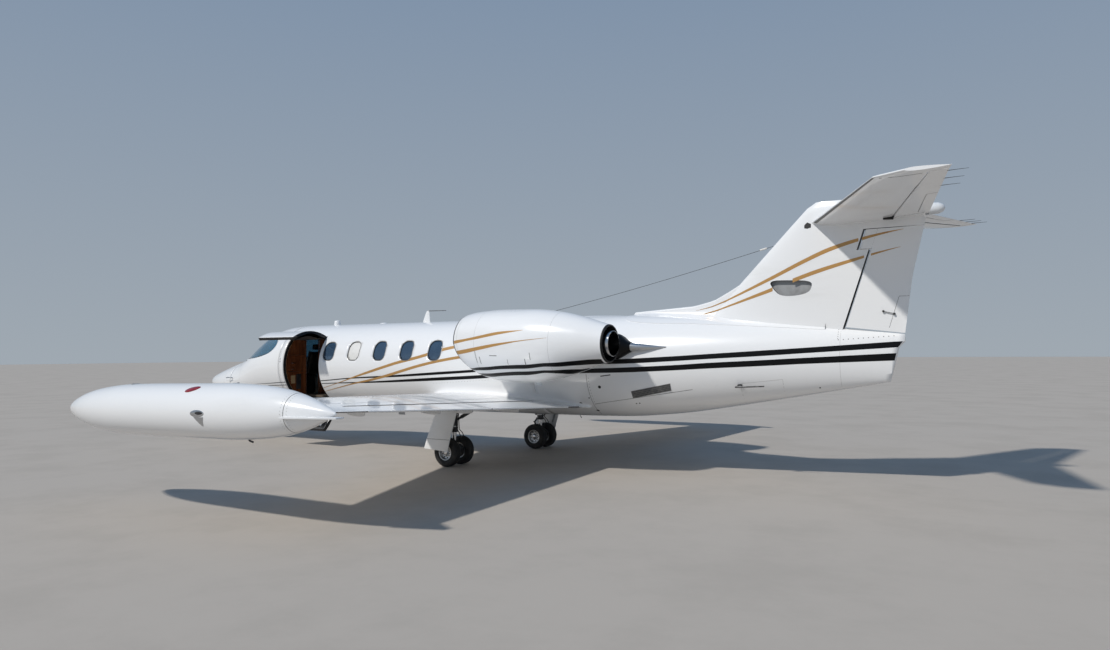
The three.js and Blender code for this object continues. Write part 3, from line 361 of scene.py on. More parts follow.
# %% Points and faces
def smooth(rows):
    """A smooth curve through rows of (place, values...) that never swings past them."""
    table = np.array(rows, float)
    x, v = table[:, 0], table[:, 1:]
    step = np.diff(x)[:, None]
    slope = np.diff(v, axis=0) / step
    tangent = np.zeros_like(v)
    tangent[0], tangent[-1] = slope[0], slope[-1]
    before, after = slope[:-1], slope[1:]
    weight0, weight1 = 2 * step[1:] + step[:-1], step[1:] + 2 * step[:-1]
    with np.errstate(divide="ignore", invalid="ignore"):
        mean = (weight0 + weight1) / (weight0 / before + weight1 / after)
    tangent[1:-1] = np.where(before * after > 0, mean, 0)

    def value(place):
        place = np.clip(np.asarray(place, float), x[0], x[-1])
        k = np.clip(np.searchsorted(x, place, side="right") - 1, 0, len(x) - 2)
        width = (x[k + 1] - x[k])[..., None]
        t = (place - x[k])[..., None] / width
        start = (1 + 2 * t) * (1 - t) ** 2 * v[k] + t * (1 - t) ** 2 * width * tangent[k]
        return start + t * t * (3 - 2 * t) * v[k + 1] + t * t * (t - 1) * width * tangent[k + 1]

    return value


def loft(rings, joined=False):
    """Points and faces of a skin through closed rings of equal count, capped or joined end to end."""
    rings = [np.asarray(ring, float) for ring in rings]
    count, total = len(rings[0]), len(rings)
    points = [tuple(p) for ring in rings for p in ring]
    faces = []
    for r in range(total if joined else total - 1):
        a, b = r * count, (r + 1) % total * count
        for i in range(count):
            j = (i + 1) % count
            faces.append((a + i, a + j, b + j, b + i))
    if not joined:
        for start in (0, (total - 1) * count):
            hub = len(points)
            points.append(tuple(np.mean(points[start:start + count], axis=0)))
            faces += [(hub, start + i, start + (i + 1) % count) for i in range(count)]
    return points, faces


def lathe(profile, origin, direction, sides=64, joined=False):
    """A turned shape from (distance along, radius) pairs."""
    turn = Vector((0, 0, 1)).rotation_difference(Vector(direction).normalized())
    rings = []
    for along, radius in profile:
        angles = np.arange(sides) / sides * 2 * pi
        rings.append([origin + turn @ Vector((radius * cos(a), radius * sin(a), along)) for a in angles])
    return loft(rings, joined)


def sweep(path, radius, sides=10, closed=False):
    """A tube along a path of points. radius is a number or a function of the share along the path."""
    path = [Vector(p) for p in path]
    count = len(path)
    rings, side = [], None
    for i, p in enumerate(path):
        ahead = path[(i + 1) % count] if closed or i + 1 < count else p
        behind = path[i - 1] if closed or i > 0 else p
        along = (ahead - behind).normalized()
        if side is None:
            side = along.orthogonal().normalized()
        side = (side - along * side.dot(along)).normalized()
        other = along.cross(side)
        size = radius(i / max(1, count - 1)) if callable(radius) else radius
        angles = [k / sides * 2 * pi for k in range(sides)]
        rings.append([p + (side * cos(a) + other * sin(a)) * size for a in angles])
    return loft(rings, closed)


def prism(outline, low, high, axis="y"):
    """A flat outline of (station, height), or (station, y) for axis z, pushed from low to high."""
    place = (lambda s, v, w: at(s, w, v)) if axis == "y" else (lambda s, v, w: at(s, v, w))
    return loft([[place(s, v, low) for s, v in outline], [place(s, v, high) for s, v in outline]])


print("mesh helpers ready")

# %% [markdown]
# ## From points to a piece
# A piece is a mesh that rides on a body of the frame, wears finishes and says which plain solids it stands
# for. Normals are turned outwards, and edges sharper than a set angle stay crisp.

# %% Pieces
PIECES = []


def raw_object(name, shape):
    mesh = bpy.data.meshes.new(name)
    mesh.from_pydata([tuple(p) for p in shape[0]], [], shape[1])
    work = bmesh.new()
    work.from_mesh(mesh)
    bmesh.ops.remove_doubles(work, verts=work.verts, dist=1e-6)
    bmesh.ops.recalc_face_normals(work, faces=work.faces)
    work.to_mesh(mesh)
    work.free()
    thing = bpy.data.objects.new(name, mesh)
    bpy.context.scene.collection.objects.link(thing)
    return thing


def dressed(thing, material, replaces=(), body="airframe", slot=None, sharp=35):
    """Rides on a body, takes a finish, shades smooth but for sharp edges."""
    if not thing.data.materials:
        thing.data.materials.append(material)
    thing.data.polygons.foreach_set("use_smooth", [True] * len(thing.data.polygons))
    if sharp:
        thing.data.set_sharp_from_angle(angle=radians(sharp))
    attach(thing, body)
    slot or SLOT_OF[material.name]
    if replaces:
        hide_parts(*replaces)
    PIECES.append(thing.name)
    return thing


def piece(name, shape, material, replaces=(), body="airframe", slot=None, sharp=35, bevel=0, segments=2):
    thing = raw_object(name, shape)
    return dressed(bevelled(thing, bevel, segments) if bevel else thing, material, replaces, body, slot,
        sharp)


def both(label, shape, material, solid=None, body="airframe", **more):
    """A piece on both sides; the side's name goes into the label, the solid and a moving body."""
    for name, moving, side in SIDES:
        piece((label if "*" in label else label + "_*").replace("*", name), sided(shape, side), material,
            [f"{solid}_{name}"] if solid else (), body if body == "airframe" else f"{body}_{moving}", **more)


def applied(thing):
    """The modifiers made part of the mesh."""
    bpy.context.view_layer.update()
    done = bpy.data.meshes.new_from_object(thing.evaluated_get(bpy.context.evaluated_depsgraph_get()))
    thing.modifiers.clear()
    thing.data = done
    return thing


def carve(thing, tool_shape, operation="DIFFERENCE"):
    tool = raw_object("tool", tool_shape)
    cut = thing.modifiers.new("carve", "BOOLEAN")
    cut.object, cut.operation, cut.solver = tool, operation, "MANIFOLD"
    applied(thing)
    thing.data.materials.clear()
    bpy.data.objects.remove(tool)
    return thing


def bevelled(thing, width, segments=2, angle=35):
    edge = thing.modifiers.new("edge", "BEVEL")
    edge.width, edge.segments, edge.limit_method = width, segments, "ANGLE"
    edge.angle_limit = radians(angle)
    return applied(thing)


def mirrored(shape):
    return [(p[0], -p[1], p[2]) for p in shape[0]], shape[1]


def merged(*shapes):
    """Several shapes as one list of points and faces."""
    points, faces = [], []
    for more_points, more_faces in shapes:
        start = len(points)
        points += [tuple(p) for p in more_points]
        faces += [tuple(start + i for i in face) for face in more_faces]
    return points, faces


def turned(shape, origin, axis, degrees):
    turn = Quaternion(Vector(axis), radians(degrees))
    origin = Vector(origin)
    return [tuple(origin + turn @ (Vector(p) - origin)) for p in shape[0]], shape[1]


SIDES = (("left", "port", 1), ("right", "starboard", -1))


def sided(shape, side):
    return shape if side > 0 else mirrored(shape)


print("piece helpers ready")

# %% [markdown]
# ## The hull
# The fuselage is a tube of near-round sections. Its table gives the roof, the keel and the half width at a
# few stations; a smooth curve through them gives a skin without flats, which gloss paint would show at once.

# %% Hull sections
FUSELAGE = [
    # station, top, bottom, half width
    (0.0, 1.195, 1.145, 0.028),
    (0.18, 1.29, 1.015, 0.165),
    (0.48, 1.385, 0.915, 0.3),
    (0.9, 1.505, 0.825, 0.44),
    (1.5, 1.672, 0.76, 0.588),
    (1.85, 1.868, 0.743, 0.655),
    (2.15, 2.07, 0.738, 0.7),
    (2.45, 2.215, 0.736, 0.735),
    (2.85, 2.286, 0.736, 0.768),
    (3.4, 2.305, 0.735, 0.785),
    (6.8, 2.305, 0.732, 0.785),
    (9.3, 2.305, 0.742, 0.785),
    (10.2, 2.3, 0.762, 0.745),
    (11.0, 2.27, 0.83, 0.64),
    (12.0, 2.185, 0.985, 0.47),
    (13.0, 2.08, 1.165, 0.27),
    (14.09, 1.95, 1.372, 0.045),
]
NOSE_JOINT, COCKPIT_JOINT, CABIN_END, TAIL_END = 1.3, 3.08, 8.9, 14.09
TAIL_RAKE = [(14.3, 1.85), (14.08, 1.85), (14.01, 1.78), (13.905, 1.34), (13.89, 1.2), (14.3, 1.2)]
SEAM_GAP = 0.0015
WALL = 0.065
RING = 112
hull = smooth(FUSELAGE)
NOSE_ROUNDING = 0.05


def hull_size(station, inset=0.0):
    """Middle height, rise and half width of the section at a station."""
    top, bottom, half = hull(station)
    if station < NOSE_ROUNDING:
        blunt = sqrt(max(0.0, 1 - (1 - station / NOSE_ROUNDING) ** 2))
        middle = (top + bottom) / 2
        top, bottom, half = mix(middle, top, blunt), mix(middle, bottom, blunt), half * blunt
    return (top + bottom) / 2, (top - bottom) / 2 - inset, half - inset


def hull_ring(station, inset=0.0, count=RING):
    middle, rise, half = hull_size(station, inset)
    angles = (np.arange(count) + 0.5) / count * 2 * pi
    return [at(station, half * cos(a), middle + rise * sin(a)) for a in angles]


def on_hull(station, z, proud=0.0, side=1):
    """The point of the skin at a station and height."""
    middle, rise, half = hull_size(station, -proud)
    share = min(1.0, abs((z - middle) / rise))
    return at(station, side * half * sqrt(1 - share * share), z)


def hull_top(station, y, proud=0.0):
    middle, rise, half = hull_size(station, -proud)
    return middle + rise * sqrt(max(0.0, 1 - (y / half) ** 2))


def hull_normals(points):
    """The skin's own direction at each point, from its formula."""
    normals = []
    reach = 0.01
    for x, y, z in points:
        s = HALF - x

        def level(station):
            middle, rise, half = hull_size(min(max(station, 0.0), TAIL_END))
            return ((z - middle) / rise) ** 2 + (y / half) ** 2

        middle, rise, half = hull_size(min(max(s, 0.0), TAIL_END))
        along = (level(s + reach) - level(s - reach)) / (2 * reach)
        normals.append(Vector((-along, 2 * y / half ** 2, 2 * (z - middle) / rise ** 2)).normalized())
    return normals


print("hull is", round(2 * float(hull(5.0)[2]), 2), "m wide at the cabin")

# %% [markdown]
# ## Clean shading on a cut skin
# Cutting windows and doors out of a gloss shell leaves long thin faces, and their averaged normals would
# ripple in the reflections. The skin's formula knows its true direction everywhere, so it is written onto the
# mesh. The same pass sorts the faces: outer skin, inner lining, and the cut edges between them.

# %% Skin shading and face sorting
OUTER, INNER, EDGE = 0, 1, 2


def skin_shading(thing, wall, place=lambda p: p, direction=lambda n: n):
    """Gives skin faces the hull's own normals; place and direction take a swung panel back and forth."""
    mesh = thing.data
    points = [place(v.co) for v in mesh.vertices]
    true = hull_normals(points)
    kinds, loops = [], [None] * len(mesh.loops)
    for face in mesh.polygons:
        corners = face.vertices
        middle = sum((points[i] for i in corners), Vector()) / len(corners)
        flat = sum((true[i] for i in corners), Vector()).normalized()
        facing = direction(flat).dot(face.normal)
        centre, rise, half = hull_size(min(max(HALF - middle.x, 0.0), TAIL_END))
        depth = 1 - sqrt(((middle.z - centre) / rise) ** 2 + (middle.y / half) ** 2)
        kind = EDGE
        if facing > 0.94 and depth < 0.3 * wall / max(half, 0.1):
            kind = OUTER
        elif facing < -0.94:
            kind = INNER
        kinds.append(kind)
        for i, loop in zip(corners, face.loop_indices):
            if kind == OUTER:
                loops[loop] = direction(true[i])
            elif kind == INNER:
                loops[loop] = -direction(true[i])
            else:
                loops[loop] = face.normal.copy()
    mesh.normals_split_custom_set(loops)
    return kinds


def paint_faces(thing, kinds, *materials):
    for material in materials:
        thing.data.materials.append(material)
    thing.data.polygons.foreach_set("material_index", kinds)
    thing.data.update()


print("face kinds: outer", OUTER, "inner", INNER, "edge", EDGE)

# %% [markdown]
# ## Outlines with soft corners
# Windscreen and windows are cut by prisms. A polygon with its corners shaved a few times becomes the smooth
# outline of the glass, and the same outline laid on the skin carries the rubber seal around it.

# %% Outlines
def softened(outline, rounds=2, share=0.25):
    """Corner cutting: each round replaces every corner by two points."""
    for _ in range(rounds):
        softer = []
        for (s0, z0), (s1, z1) in zip(outline, outline[1:] + outline[:1]):
            softer.append((mix(s0, s1, share), mix(z0, z1, share)))
            softer.append((mix(s0, s1, 1 - share), mix(z0, z1, 1 - share)))
        outline = softer
    return outline


def rounded_box(station, level, width, height, corner, steps=6):
    outline = []
    for quarter, (sx, sz) in enumerate(((1, 1), (-1, 1), (-1, -1), (1, -1))):
        for i in range(steps + 1):
            a = (quarter + i / steps) * pi / 2
            outline.append((station + sx * (width / 2 - corner) + corner * cos(a),
                level + sz * (height / 2 - corner) + corner * sin(a)))
    return outline


def shrunk(outline, by):
    """The outline moved inwards along its own normals."""
    result = []
    for i, (s, z) in enumerate(outline):
        s0, z0 = outline[i - 1]
        s1, z1 = outline[(i + 1) % len(outline)]
        length = hypot(s1 - s0, z1 - z0) or 1
        result.append((s - by * (z1 - z0) / length, z + by * (s1 - s0) / length))
    return result


SCREEN_POST = 0.03
SCREEN = softened([(1.48, 1.655), (2.06, 1.652), (2.43, 1.69), (2.72, 1.76), (2.84, 1.85), (2.87, 1.95),
    (2.8, 2.04), (2.6, 2.13), (2.33, 2.3), (1.48, 2.3)])
WINDOW = {"width": 0.275, "height": 0.335, "corner": 0.105, "level": 1.79, "first": 4.42, "pitch": 0.627}
window_stations = {"left": [WINDOW["first"] + i * WINDOW["pitch"] for i in range(5)],
    "right": [WINDOW["first"] + i * WINDOW["pitch"] for i in range(-1, 5)]}
window_outline = lambda station: rounded_box(station, WINDOW["level"], WINDOW["width"], WINDOW["height"],
    WINDOW["corner"])
print("windows:", {side: len(row) for side, row in window_stations.items()})

# %% [markdown]
# ## Nose, cockpit, cabin and tail shells
# The real hull is built in barrels that meet at frames, so it is four shells here as well, a hair apart. Each
# shell is one loft that runs along the outside and back along the inside of the wall.

# %% Hull barrels
DOOR = {"front": 3.23, "back": 4.18, "upper": 43.3, "lower": -62.6, "split": -18.5, "middle": 1.52,
    "hinge": 0.778, "gap": 0.012, "upper_open": 76.6, "lower_open": -113.7}


def door_angle_point(degrees, out):
    return cos(radians(degrees)) * out, DOOR["middle"] + sin(radians(degrees)) * out


def doorway(grow, reach=1.2, steps=10):
    """The wedge that the doorway cuts out of the cabin, from inside the cabin out through the skin."""
    inner, outer = [], []
    over = math.degrees(grow / RADIUS)
    for i in range(steps + 1):
        degrees = mix(DOOR["upper"] + over, DOOR["lower"] - over, i / steps)
        inner.append(door_angle_point(degrees, 0.35))
        outer.append(door_angle_point(degrees, reach))
    loop = inner + outer[::-1]
    return loft([[at(s, y, z) for y, z in loop] for s in (DOOR["front"] - grow, DOOR["back"] + grow)])


RADIUS = float(hull(5.0)[2])
nose = raw_object("nose_cone_skin", loft([hull_ring(s) for s in [0.0005, 0.002, 0.006, 0.012, 0.02, 0.032,
    0.05] + stations(0.08, NOSE_JOINT - SEAM_GAP, 0.05)]))
cockpit = raw_object("cockpit_skin", loft([hull_ring(s) for s in stations(NOSE_JOINT,
    COCKPIT_JOINT - SEAM_GAP, 0.05)] + [hull_ring(s, WALL) for s in stations(COCKPIT_JOINT - SEAM_GAP, 1.7,
    -0.1)]))
cabin = raw_object("cabin_skin", loft([hull_ring(s) for s in stations(COCKPIT_JOINT, CABIN_END - SEAM_GAP,
    0.08)] + [hull_ring(s, WALL) for s in stations(CABIN_END - SEAM_GAP, COCKPIT_JOINT, -0.2)], joined=True))
tail = raw_object("tail_skin", loft([hull_ring(s) for s in stations(CABIN_END, TAIL_END, 0.08)]))
print("barrels:", [len(o.data.polygons) for o in (nose, cockpit, cabin, tail)], "faces")

# %% [markdown]
# ## Cutting the windows and the doorway
# The cutters are the prisms of the outlines. After the cuts each barrel gets the skin's own normals back and
# its three finishes: paint outside, lining inside, and on the cut edges dark sealant in the cockpit and
# cabin, paint on nose and tail.

# %% Openings
for side in (1, -1):
    carve(cockpit, prism(SCREEN, side * SCREEN_POST, side * 0.95))
for name, _, side in SIDES:
    for station in window_stations[name]:
        carve(cabin, prism(window_outline(station), side * 0.45, side * 0.95))
carve(cabin, doorway(DOOR["gap"]))
carve(tail, prism(TAIL_RAKE, -0.3, 0.3))
for barrel, replaced, cut in ((nose, "nose_cone", PAINT), (cockpit, "cockpit_shell", GASKET),
        (cabin, "cabin_shell", GASKET), (tail, "tail_section", PAINT)):
    paint_faces(barrel, skin_shading(barrel, WALL), PAINT, LINER, cut)
    dressed(barrel, PAINT, [replaced], sharp=0)
print("hull dressed:", [len(o.data.polygons) for o in (nose, cockpit, cabin, tail)], "faces")

# %% [markdown]
# ## The entrance
# The door is a clamshell: the upper half swings up as an awning, the lower half hangs down as the step. Each
# half is a piece of the same wall, so it is made where it sits when shut and then turned about its own hinge.

# %% Door panels
def at_angle(station, degrees, inset=0.0):
    """The skin in a given direction from the door's middle line, and inwards from there."""
    middle, rise, half = hull_size(station)
    c, s = cos(radians(degrees)), sin(radians(degrees))
    offset = DOOR["middle"] - middle
    a, b, d = (c / half) ** 2 + (s / rise) ** 2, 2 * s * offset / rise ** 2, (offset / rise) ** 2 - 1
    reach = (-b + sqrt(b * b - 4 * a * d)) / (2 * a) - inset
    return at(station, c * reach, DOOR["middle"] + s * reach)


def wall_patch(front, back, low, high, outer, inner, columns=16, rows=24):
    """A patch of wall between two stations and two angles, from one depth to another."""
    rings = []
    for station in stations(front, back, (back - front) / columns):
        turn = [mix(low, high, t) for t in parts(rows)]
        rings.append([at_angle(station, a, outer) for a in turn]
            + [at_angle(station, a, inner) for a in turn[::-1]])
    return loft(rings)


HALVES = {"door_upper": {"body": "upper_door", "hinge": DOOR["upper"], "swing": DOOR["upper_open"],
    "low": DOOR["split"] + 0.6, "high": DOOR["upper"]}, "door_lower": {"body": "lower_door",
    "hinge": DOOR["lower"], "swing": DOOR["lower_open"], "low": DOOR["lower"], "high": DOOR["split"]}}


def hinge_of(half):
    y, z = door_angle_point(half["hinge"], DOOR["hinge"])
    return Vector((0, y, z))


def opened(shape, half):
    return turned(shape, hinge_of(half), (1, 0, 0), half["swing"])


for name, half in HALVES.items():
    shell = wall_patch(DOOR["front"], DOOR["back"], half["low"], half["high"], 0.0, 0.058)
    panel = raw_object(name + "_skin", opened(shell, half))
    turn = Quaternion((1, 0, 0), radians(half["swing"]))
    back, origin = turn.inverted(), hinge_of(half)
    paint_faces(panel, skin_shading(panel, WALL, lambda p: origin + back @ (p - origin), lambda n: turn @ n),
        PAINT, PLASTIC, GASKET)
    dressed(panel, PAINT, [name], body=half["body"], sharp=0)
print("door halves opened by", [h["swing"] for h in HALVES.values()], "degrees")

# %% [markdown]
# ## Inside the door
# Seen from the ramp the open door shows its inner face. The upper half has a liner, a grab rail and two
# stays, the lower half three treads and side rails, all on a dark ground with a bright edge strip.

# %% Door fittings
def on_half(name, label, shape, material, slot=None):
    """A piece made where it sits in the shut door and opened with its half."""
    return piece(f"{name}_{label}", opened(shape, HALVES[name]), material, body=HALVES[name]["body"],
        slot=slot)


upper, lower = HALVES["door_upper"], HALVES["door_lower"]
on_half("door_upper", "liner", wall_patch(3.3, 4.11, upper["low"] + 5, upper["high"] - 5, 0.056, 0.068),
    PLASTIC)
on_half("door_upper", "grab_rail", sweep([at_angle(3.45 + 0.5 * t, 12, 0.07 + 0.045 * sin(pi * t) ** 0.35)
    for t in parts(14)], 0.009), STEEL)
for index, station in enumerate((3.36, 4.05)):
    arm = [at_angle(station, angle, 0.072) for angle in (36, 20, 4, -10)]
    on_half("door_upper", f"stay_{index}", sweep(arm, 0.011), STEEL)
on_half("door_lower", "liner", wall_patch(3.29, 4.12, lower["low"] + 4, lower["high"] - 3, 0.056, 0.064),
    PLASTIC)
for index, angle in enumerate((-50, -38, -26)):
    tread = wall_patch(3.38, 4.03, angle - 3.0, angle + 3.0, 0.058, 0.115, columns=4, rows=3)
    on_half("door_lower", f"tread_{index}", tread, TYRE, "panel_plastic")
    nosing = sweep([at_angle(s, angle + 3.0, 0.112) for s in (3.38, 3.6, 3.8, 4.03)], 0.007, sides=8)
    on_half("door_lower", f"nosing_{index}", nosing, ALUMINIUM)
for index, station in enumerate((3.335, 4.075)):
    rail = wall_patch(station - 0.02, station + 0.02, lower["low"] + 5, lower["high"] - 4, 0.058, 0.098, 2,
        14)
    on_half("door_lower", f"rail_{index}", rail, ALUMINIUM)
for name, half in HALVES.items():
    front, back, low, high = DOOR["front"] + 0.01, DOOR["back"] - 0.01, half["low"] + 0.7, half["high"] - 0.7
    rim = [(s, low) for s in stations(front, back, 0.1)] + [(back, mix(low, high, i / 12))
        for i in range(1, 12)]
    rim += [(s, high) for s in stations(back, front, -0.1)] + [(front, mix(high, low, i / 12))
        for i in range(1, 12)]
    on_half(name, "edge_strip", sweep([at_angle(s, a, 0.052) for s, a in rim], 0.0065, sides=8, closed=True),
        ALUMINIUM)
print("door pieces:", len([p for p in PIECES if p.startswith("door_")]))

# %% [markdown]
# ## Door frame
# A black rubber seal runs round the opening on the wall's inner edge, a strip of trim follows it inside the
# cabin, and pins carry the two halves.

# %% Seals, trim and hinge pins
def frame_path(grow, depth):
    """Round the doorway: stations and angles, corners cut so little that the shut door stays clear."""
    corner = 0.6 * grow
    over = math.degrees(grow / RADIUS)
    front, back = DOOR["front"] - grow, DOOR["back"] + grow
    low, high = DOOR["lower"] - over, DOOR["upper"] + over
    turn = math.degrees(corner / RADIUS)
    path = [(s, low) for s in stations(front + corner, back - corner, 0.1)]
    path += [(back, mix(low + turn, high - turn, t)) for t in parts(30)]
    path += [(s, high) for s in stations(back - corner, front + corner, -0.1)]
    path += [(front, mix(high - turn, low + turn, t)) for t in parts(30)]
    return [at_angle(s, a, depth) for s, a in path]


piece("doorway_seal", sweep(frame_path(0.014, 0.05), 0.0085, sides=8, closed=True), GASKET)
piece("doorway_trim", sweep(frame_path(0.03, 0.068), 0.014, sides=8, closed=True), TAN)
header = wall_patch(DOOR["front"] - 0.05, DOOR["back"] + 0.05, DOOR["upper"] + 3, DOOR["upper"] + 38, 0.075,
    0.092)
piece("doorway_header", header, TAN)
for name, half in HALVES.items():
    y, z = door_angle_point(half["hinge"], DOOR["hinge"])
    pin = sweep([at(DOOR["front"] - 0.03, y, z), at(DOOR["back"] + 0.03, y, z)], 0.0052, sides=12)
    piece(name + "_hinge_pin", pin, STEEL, body=half["body"])
print("doorway perimeter:", len(frame_path(0.014, 0.05)), "points")

# %% [markdown]
# ## Glass
# The windscreen wraps round both sides from a post in the middle. Its panes and the cabin windows are slices
# of the hull's own shape, set a little below the skin, with a dark seal round each cabin window. The blind is
# drawn in the port side's second window, as in the photograph, and in one to starboard.

# %% Windscreen and cabin panes
def hull_slab(front, back, outer, inner, step=0.05):
    """A hollow length of hull between two depths."""
    run = stations(front, back, step)
    return loft([hull_ring(s, outer, 96) for s in run] + [hull_ring(s, inner, 96) for s in run[::-1]],
        joined=True)


def glass_pane(name, outline, side, depth, thickness, material, replaced):
    low, high = min(s for s, _ in outline), max(s for s, _ in outline)
    pane = raw_object(name, hull_slab(low - 0.03, high + 0.03, depth, depth + thickness, 0.03))
    inner = SCREEN_POST + 0.001 if depth < 0.006 else 0.45
    carve(pane, prism(outline, side * inner, side * 0.95), "INTERSECT")
    paint_faces(pane, [OUTER] * len(pane.data.polygons), material)
    skin_shading(pane, 3 * thickness + 2 * depth)
    return dressed(pane, material, replaced, sharp=0)


def seal_band(name, outline, side, width, material):
    """A flat band laid on the skin along an outline."""
    inner = shrunk(outline, width)
    surface = lambda s, z, out: on_hull(s, z, out, side)
    dense = lambda loop: [(mix(a[0], b[0], t), mix(a[1], b[1], t)) for a,
        b in zip(loop, loop[1:] + loop[:1]) for t in (0, 1 / 3, 2 / 3)]
    return piece(name, strip(dense(outline), dense(inner), surface, proud=0.0016, depth=0.006, joined=True),
        material, slot="glazing")


def strip(lows, highs, surface, across=1, proud=0.0012, depth=0.003, joined=False):
    """A thin closed strip between two lines of surface places."""
    rings = []
    for low, high in zip(lows, highs):
        line = [[mix(a, b, j / across) for a, b in zip(low, high)] for j in range(across + 1)]
        rings.append([surface(*p, proud) for p in line] + [surface(*p, -depth) for p in reversed(line)])
    return loft(rings, joined)


for name, _, side in SIDES:
    glass_pane("windscreen_pane_" + name, shrunk(SCREEN, 0.004), side, 0.005, 0.014, SCREEN_GLASS_PAINTED_SKY,
        ["windscreen_" + name])
    for index, station in enumerate(window_stations[name]):
        outline = window_outline(station)
        glass = BLIND_GLASS if (name, index) in (("left", 1), ("right", 3)) else CABIN_GLASS_PAINTED_SKY
        glass_pane(f"window_pane_{name}_{index}", shrunk(outline, 0.0015), side, 0.012, 0.012, glass,
            ["cabin_windows_" + name])
        seal_band(f"window_seal_{name}_{index}", shrunk(outline, -0.007), side, 0.011, SEAM)
for index, (station, side) in enumerate(((window_stations["left"][1], 1), (window_stations["right"][3], -1))):
    outline = shrunk(window_outline(station), 0.012)
    blind = raw_object(f"window_blind_{index}", hull_slab(station - 0.2, station + 0.2, 0.026, 0.032, 0.05))
    carve(blind, prism(outline, side * 0.45, side * 0.95), "INTERSECT")
    dressed(blind, SHADE)
print("panes:", len([p for p in PIECES if "pane" in p]))
# %% [markdown]
# ## Stripes along the hull
# Two black stripes grow from a point at the nose to hand-wide bands at the tail, and two gold ones sweep up
# across them to the engines. Each is a thin strip laid on the skin between two curves. The tables give its
# lower and upper edge, and the same strips go on the other side as a mirror image.

# %% Hull stripes
UPPER_BLACK = [
    # station, lower edge, upper edge
    (2.24, 1.15, 1.151), (2.73, 1.171, 1.181), (3.16, 1.196, 1.208), (4.17, 1.236, 1.25),
    (4.98, 1.293, 1.312), (6.06, 1.336, 1.37), (6.96, 1.383, 1.427), (7.74, 1.43, 1.472),
    (9.04, 1.528, 1.576), (9.76, 1.561, 1.617), (10.35, 1.573, 1.64), (11.17, 1.612, 1.68),
    (11.64, 1.64, 1.709), (12.32, 1.676, 1.75), (12.88, 1.712, 1.784), (13.53, 1.752, 1.826),
    (14.01, 1.782, 1.858),
]
LOWER_BLACK = [(2.5, 1.118, 1.119), (2.69, 1.124, 1.132), (3.16, 1.142, 1.153), (4.5, 1.198, 1.212),
    (5.29, 1.22, 1.243), (5.78, 1.236, 1.268), (6.32, 1.258, 1.3), (6.95, 1.285, 1.337), (7.89, 1.332, 1.386),
    (9.04, 1.417, 1.47), (9.76, 1.434, 1.497), (10.35, 1.446, 1.517), (11.17, 1.482, 1.555),
    (11.64, 1.508, 1.586), (12.32, 1.541, 1.62), (12.88, 1.57, 1.65), (13.53, 1.596, 1.684),
    (13.967, 1.612, 1.706)]
UPPER_GOLD = [(4.19, 1.106, 1.112), (4.75, 1.234, 1.246), (5.0, 1.294, 1.316), (5.5, 1.409, 1.451),
    (5.82, 1.487, 1.533), (6.13, 1.561, 1.609), (6.57, 1.648, 1.699), (6.75, 1.69, 1.741),
    (7.09, 1.775, 1.827), (7.34, 1.82, 1.868), (7.8, 1.875, 1.915), (8.3, 1.925, 1.93)]
LOWER_GOLD = [(4.16, 1.034, 1.039), (4.55, 1.108, 1.12), (5.08, 1.204, 1.226), (5.5, 1.265, 1.301),
    (5.96, 1.356, 1.4), (6.28, 1.432, 1.478), (6.58, 1.502, 1.548), (7.02, 1.587, 1.633),
    (7.43, 1.647, 1.692), (7.9, 1.705, 1.74), (8.4, 1.755, 1.76)]
STRIPES = (("upper_black", UPPER_BLACK, BLACK, 0.0012), ("lower_black", LOWER_BLACK, BLACK, 0.0012),
    ("upper_gold", UPPER_GOLD, GOLD, 0.002), ("lower_gold", LOWER_GOLD, GOLD, 0.002))


def stripe_strip(table, front, back, side, proud, surface=None, depth=0.003, rake=0.0, step=0.06):
    """The strip between a table's two edges; rake is how much further back its upper edge ends."""
    edges = smooth(table)
    run = stations(max(front, table[0][0]), min(back, table[-1][0]), step)
    lows = [(s, float(edges(s)[0])) for s in run]
    highs = [(s, float(edges(s)[1])) for s in run]
    highs[-1] = (run[-1] + rake, float(edges(run[-1] + rake)[1]))
    on = surface or (lambda s, z, out: on_hull(s, z, out, side))
    return strip(lows, highs, on, across=4, proud=proud, depth=depth)


DOOR_SPAN = (DOOR["front"] - 0.02, DOOR["back"] + 0.02)


def clear_of_windows(table, side_name):
    """The stripe's rows, pinched or broken off where a window stands in it."""
    edges, runs = smooth(table), [[]]
    outlines = [shrunk(window_outline(station), -0.008) for station in window_stations[side_name]]
    for s in stations(max(table[0][0], DOOR_SPAN[1]), table[-1][0], 0.01):
        low, high = (float(v) for v in edges(s))
        for outline in outlines:
            levels = [mix(a[1], b[1], (s - a[0]) / (b[0] - a[0])) for a,
                b in zip(outline, outline[1:] + outline[:1]) if (a[0] - s) * (b[0] - s) < 0]
            if levels and high > min(levels) and low < max(levels):
                below, above = min(levels) - low, high - max(levels)
                low, high = (low, low + below) if below >= above else (high - above, high)
        if high - low > 0.004:
            runs[-1].append((s, low, high))
        else:
            runs.append([])
    return [run for run in runs if len(run) > 3]


for name, table, material, proud in STRIPES:
    for side_name, _, side in SIDES:
        if name.endswith("gold"):
            runs = [(run, run[0][0], run[-1][0], 0.02) for run in clear_of_windows(table, side_name)]
        elif side_name == "left":
            runs = [(table, table[0][0], DOOR_SPAN[0], 0.06), (table, DOOR_SPAN[1], table[-1][0], 0.06)]
        else:
            runs = [(table, table[0][0], table[-1][0], 0.06)]
        for index, (rows, front, back, step) in enumerate(runs):
            rake = {"upper_black": 0.055, "lower_black": 0.022}.get(name, 0.0) if back > 13 else 0.0
            shape = stripe_strip(rows, front, back, side, proud, rake=rake, step=step)
            piece(f"stripe_{name}_{side_name}_{index}", shape, material)
print("hull stripe pieces:", len([p for p in PIECES if p.startswith("stripe_")]))

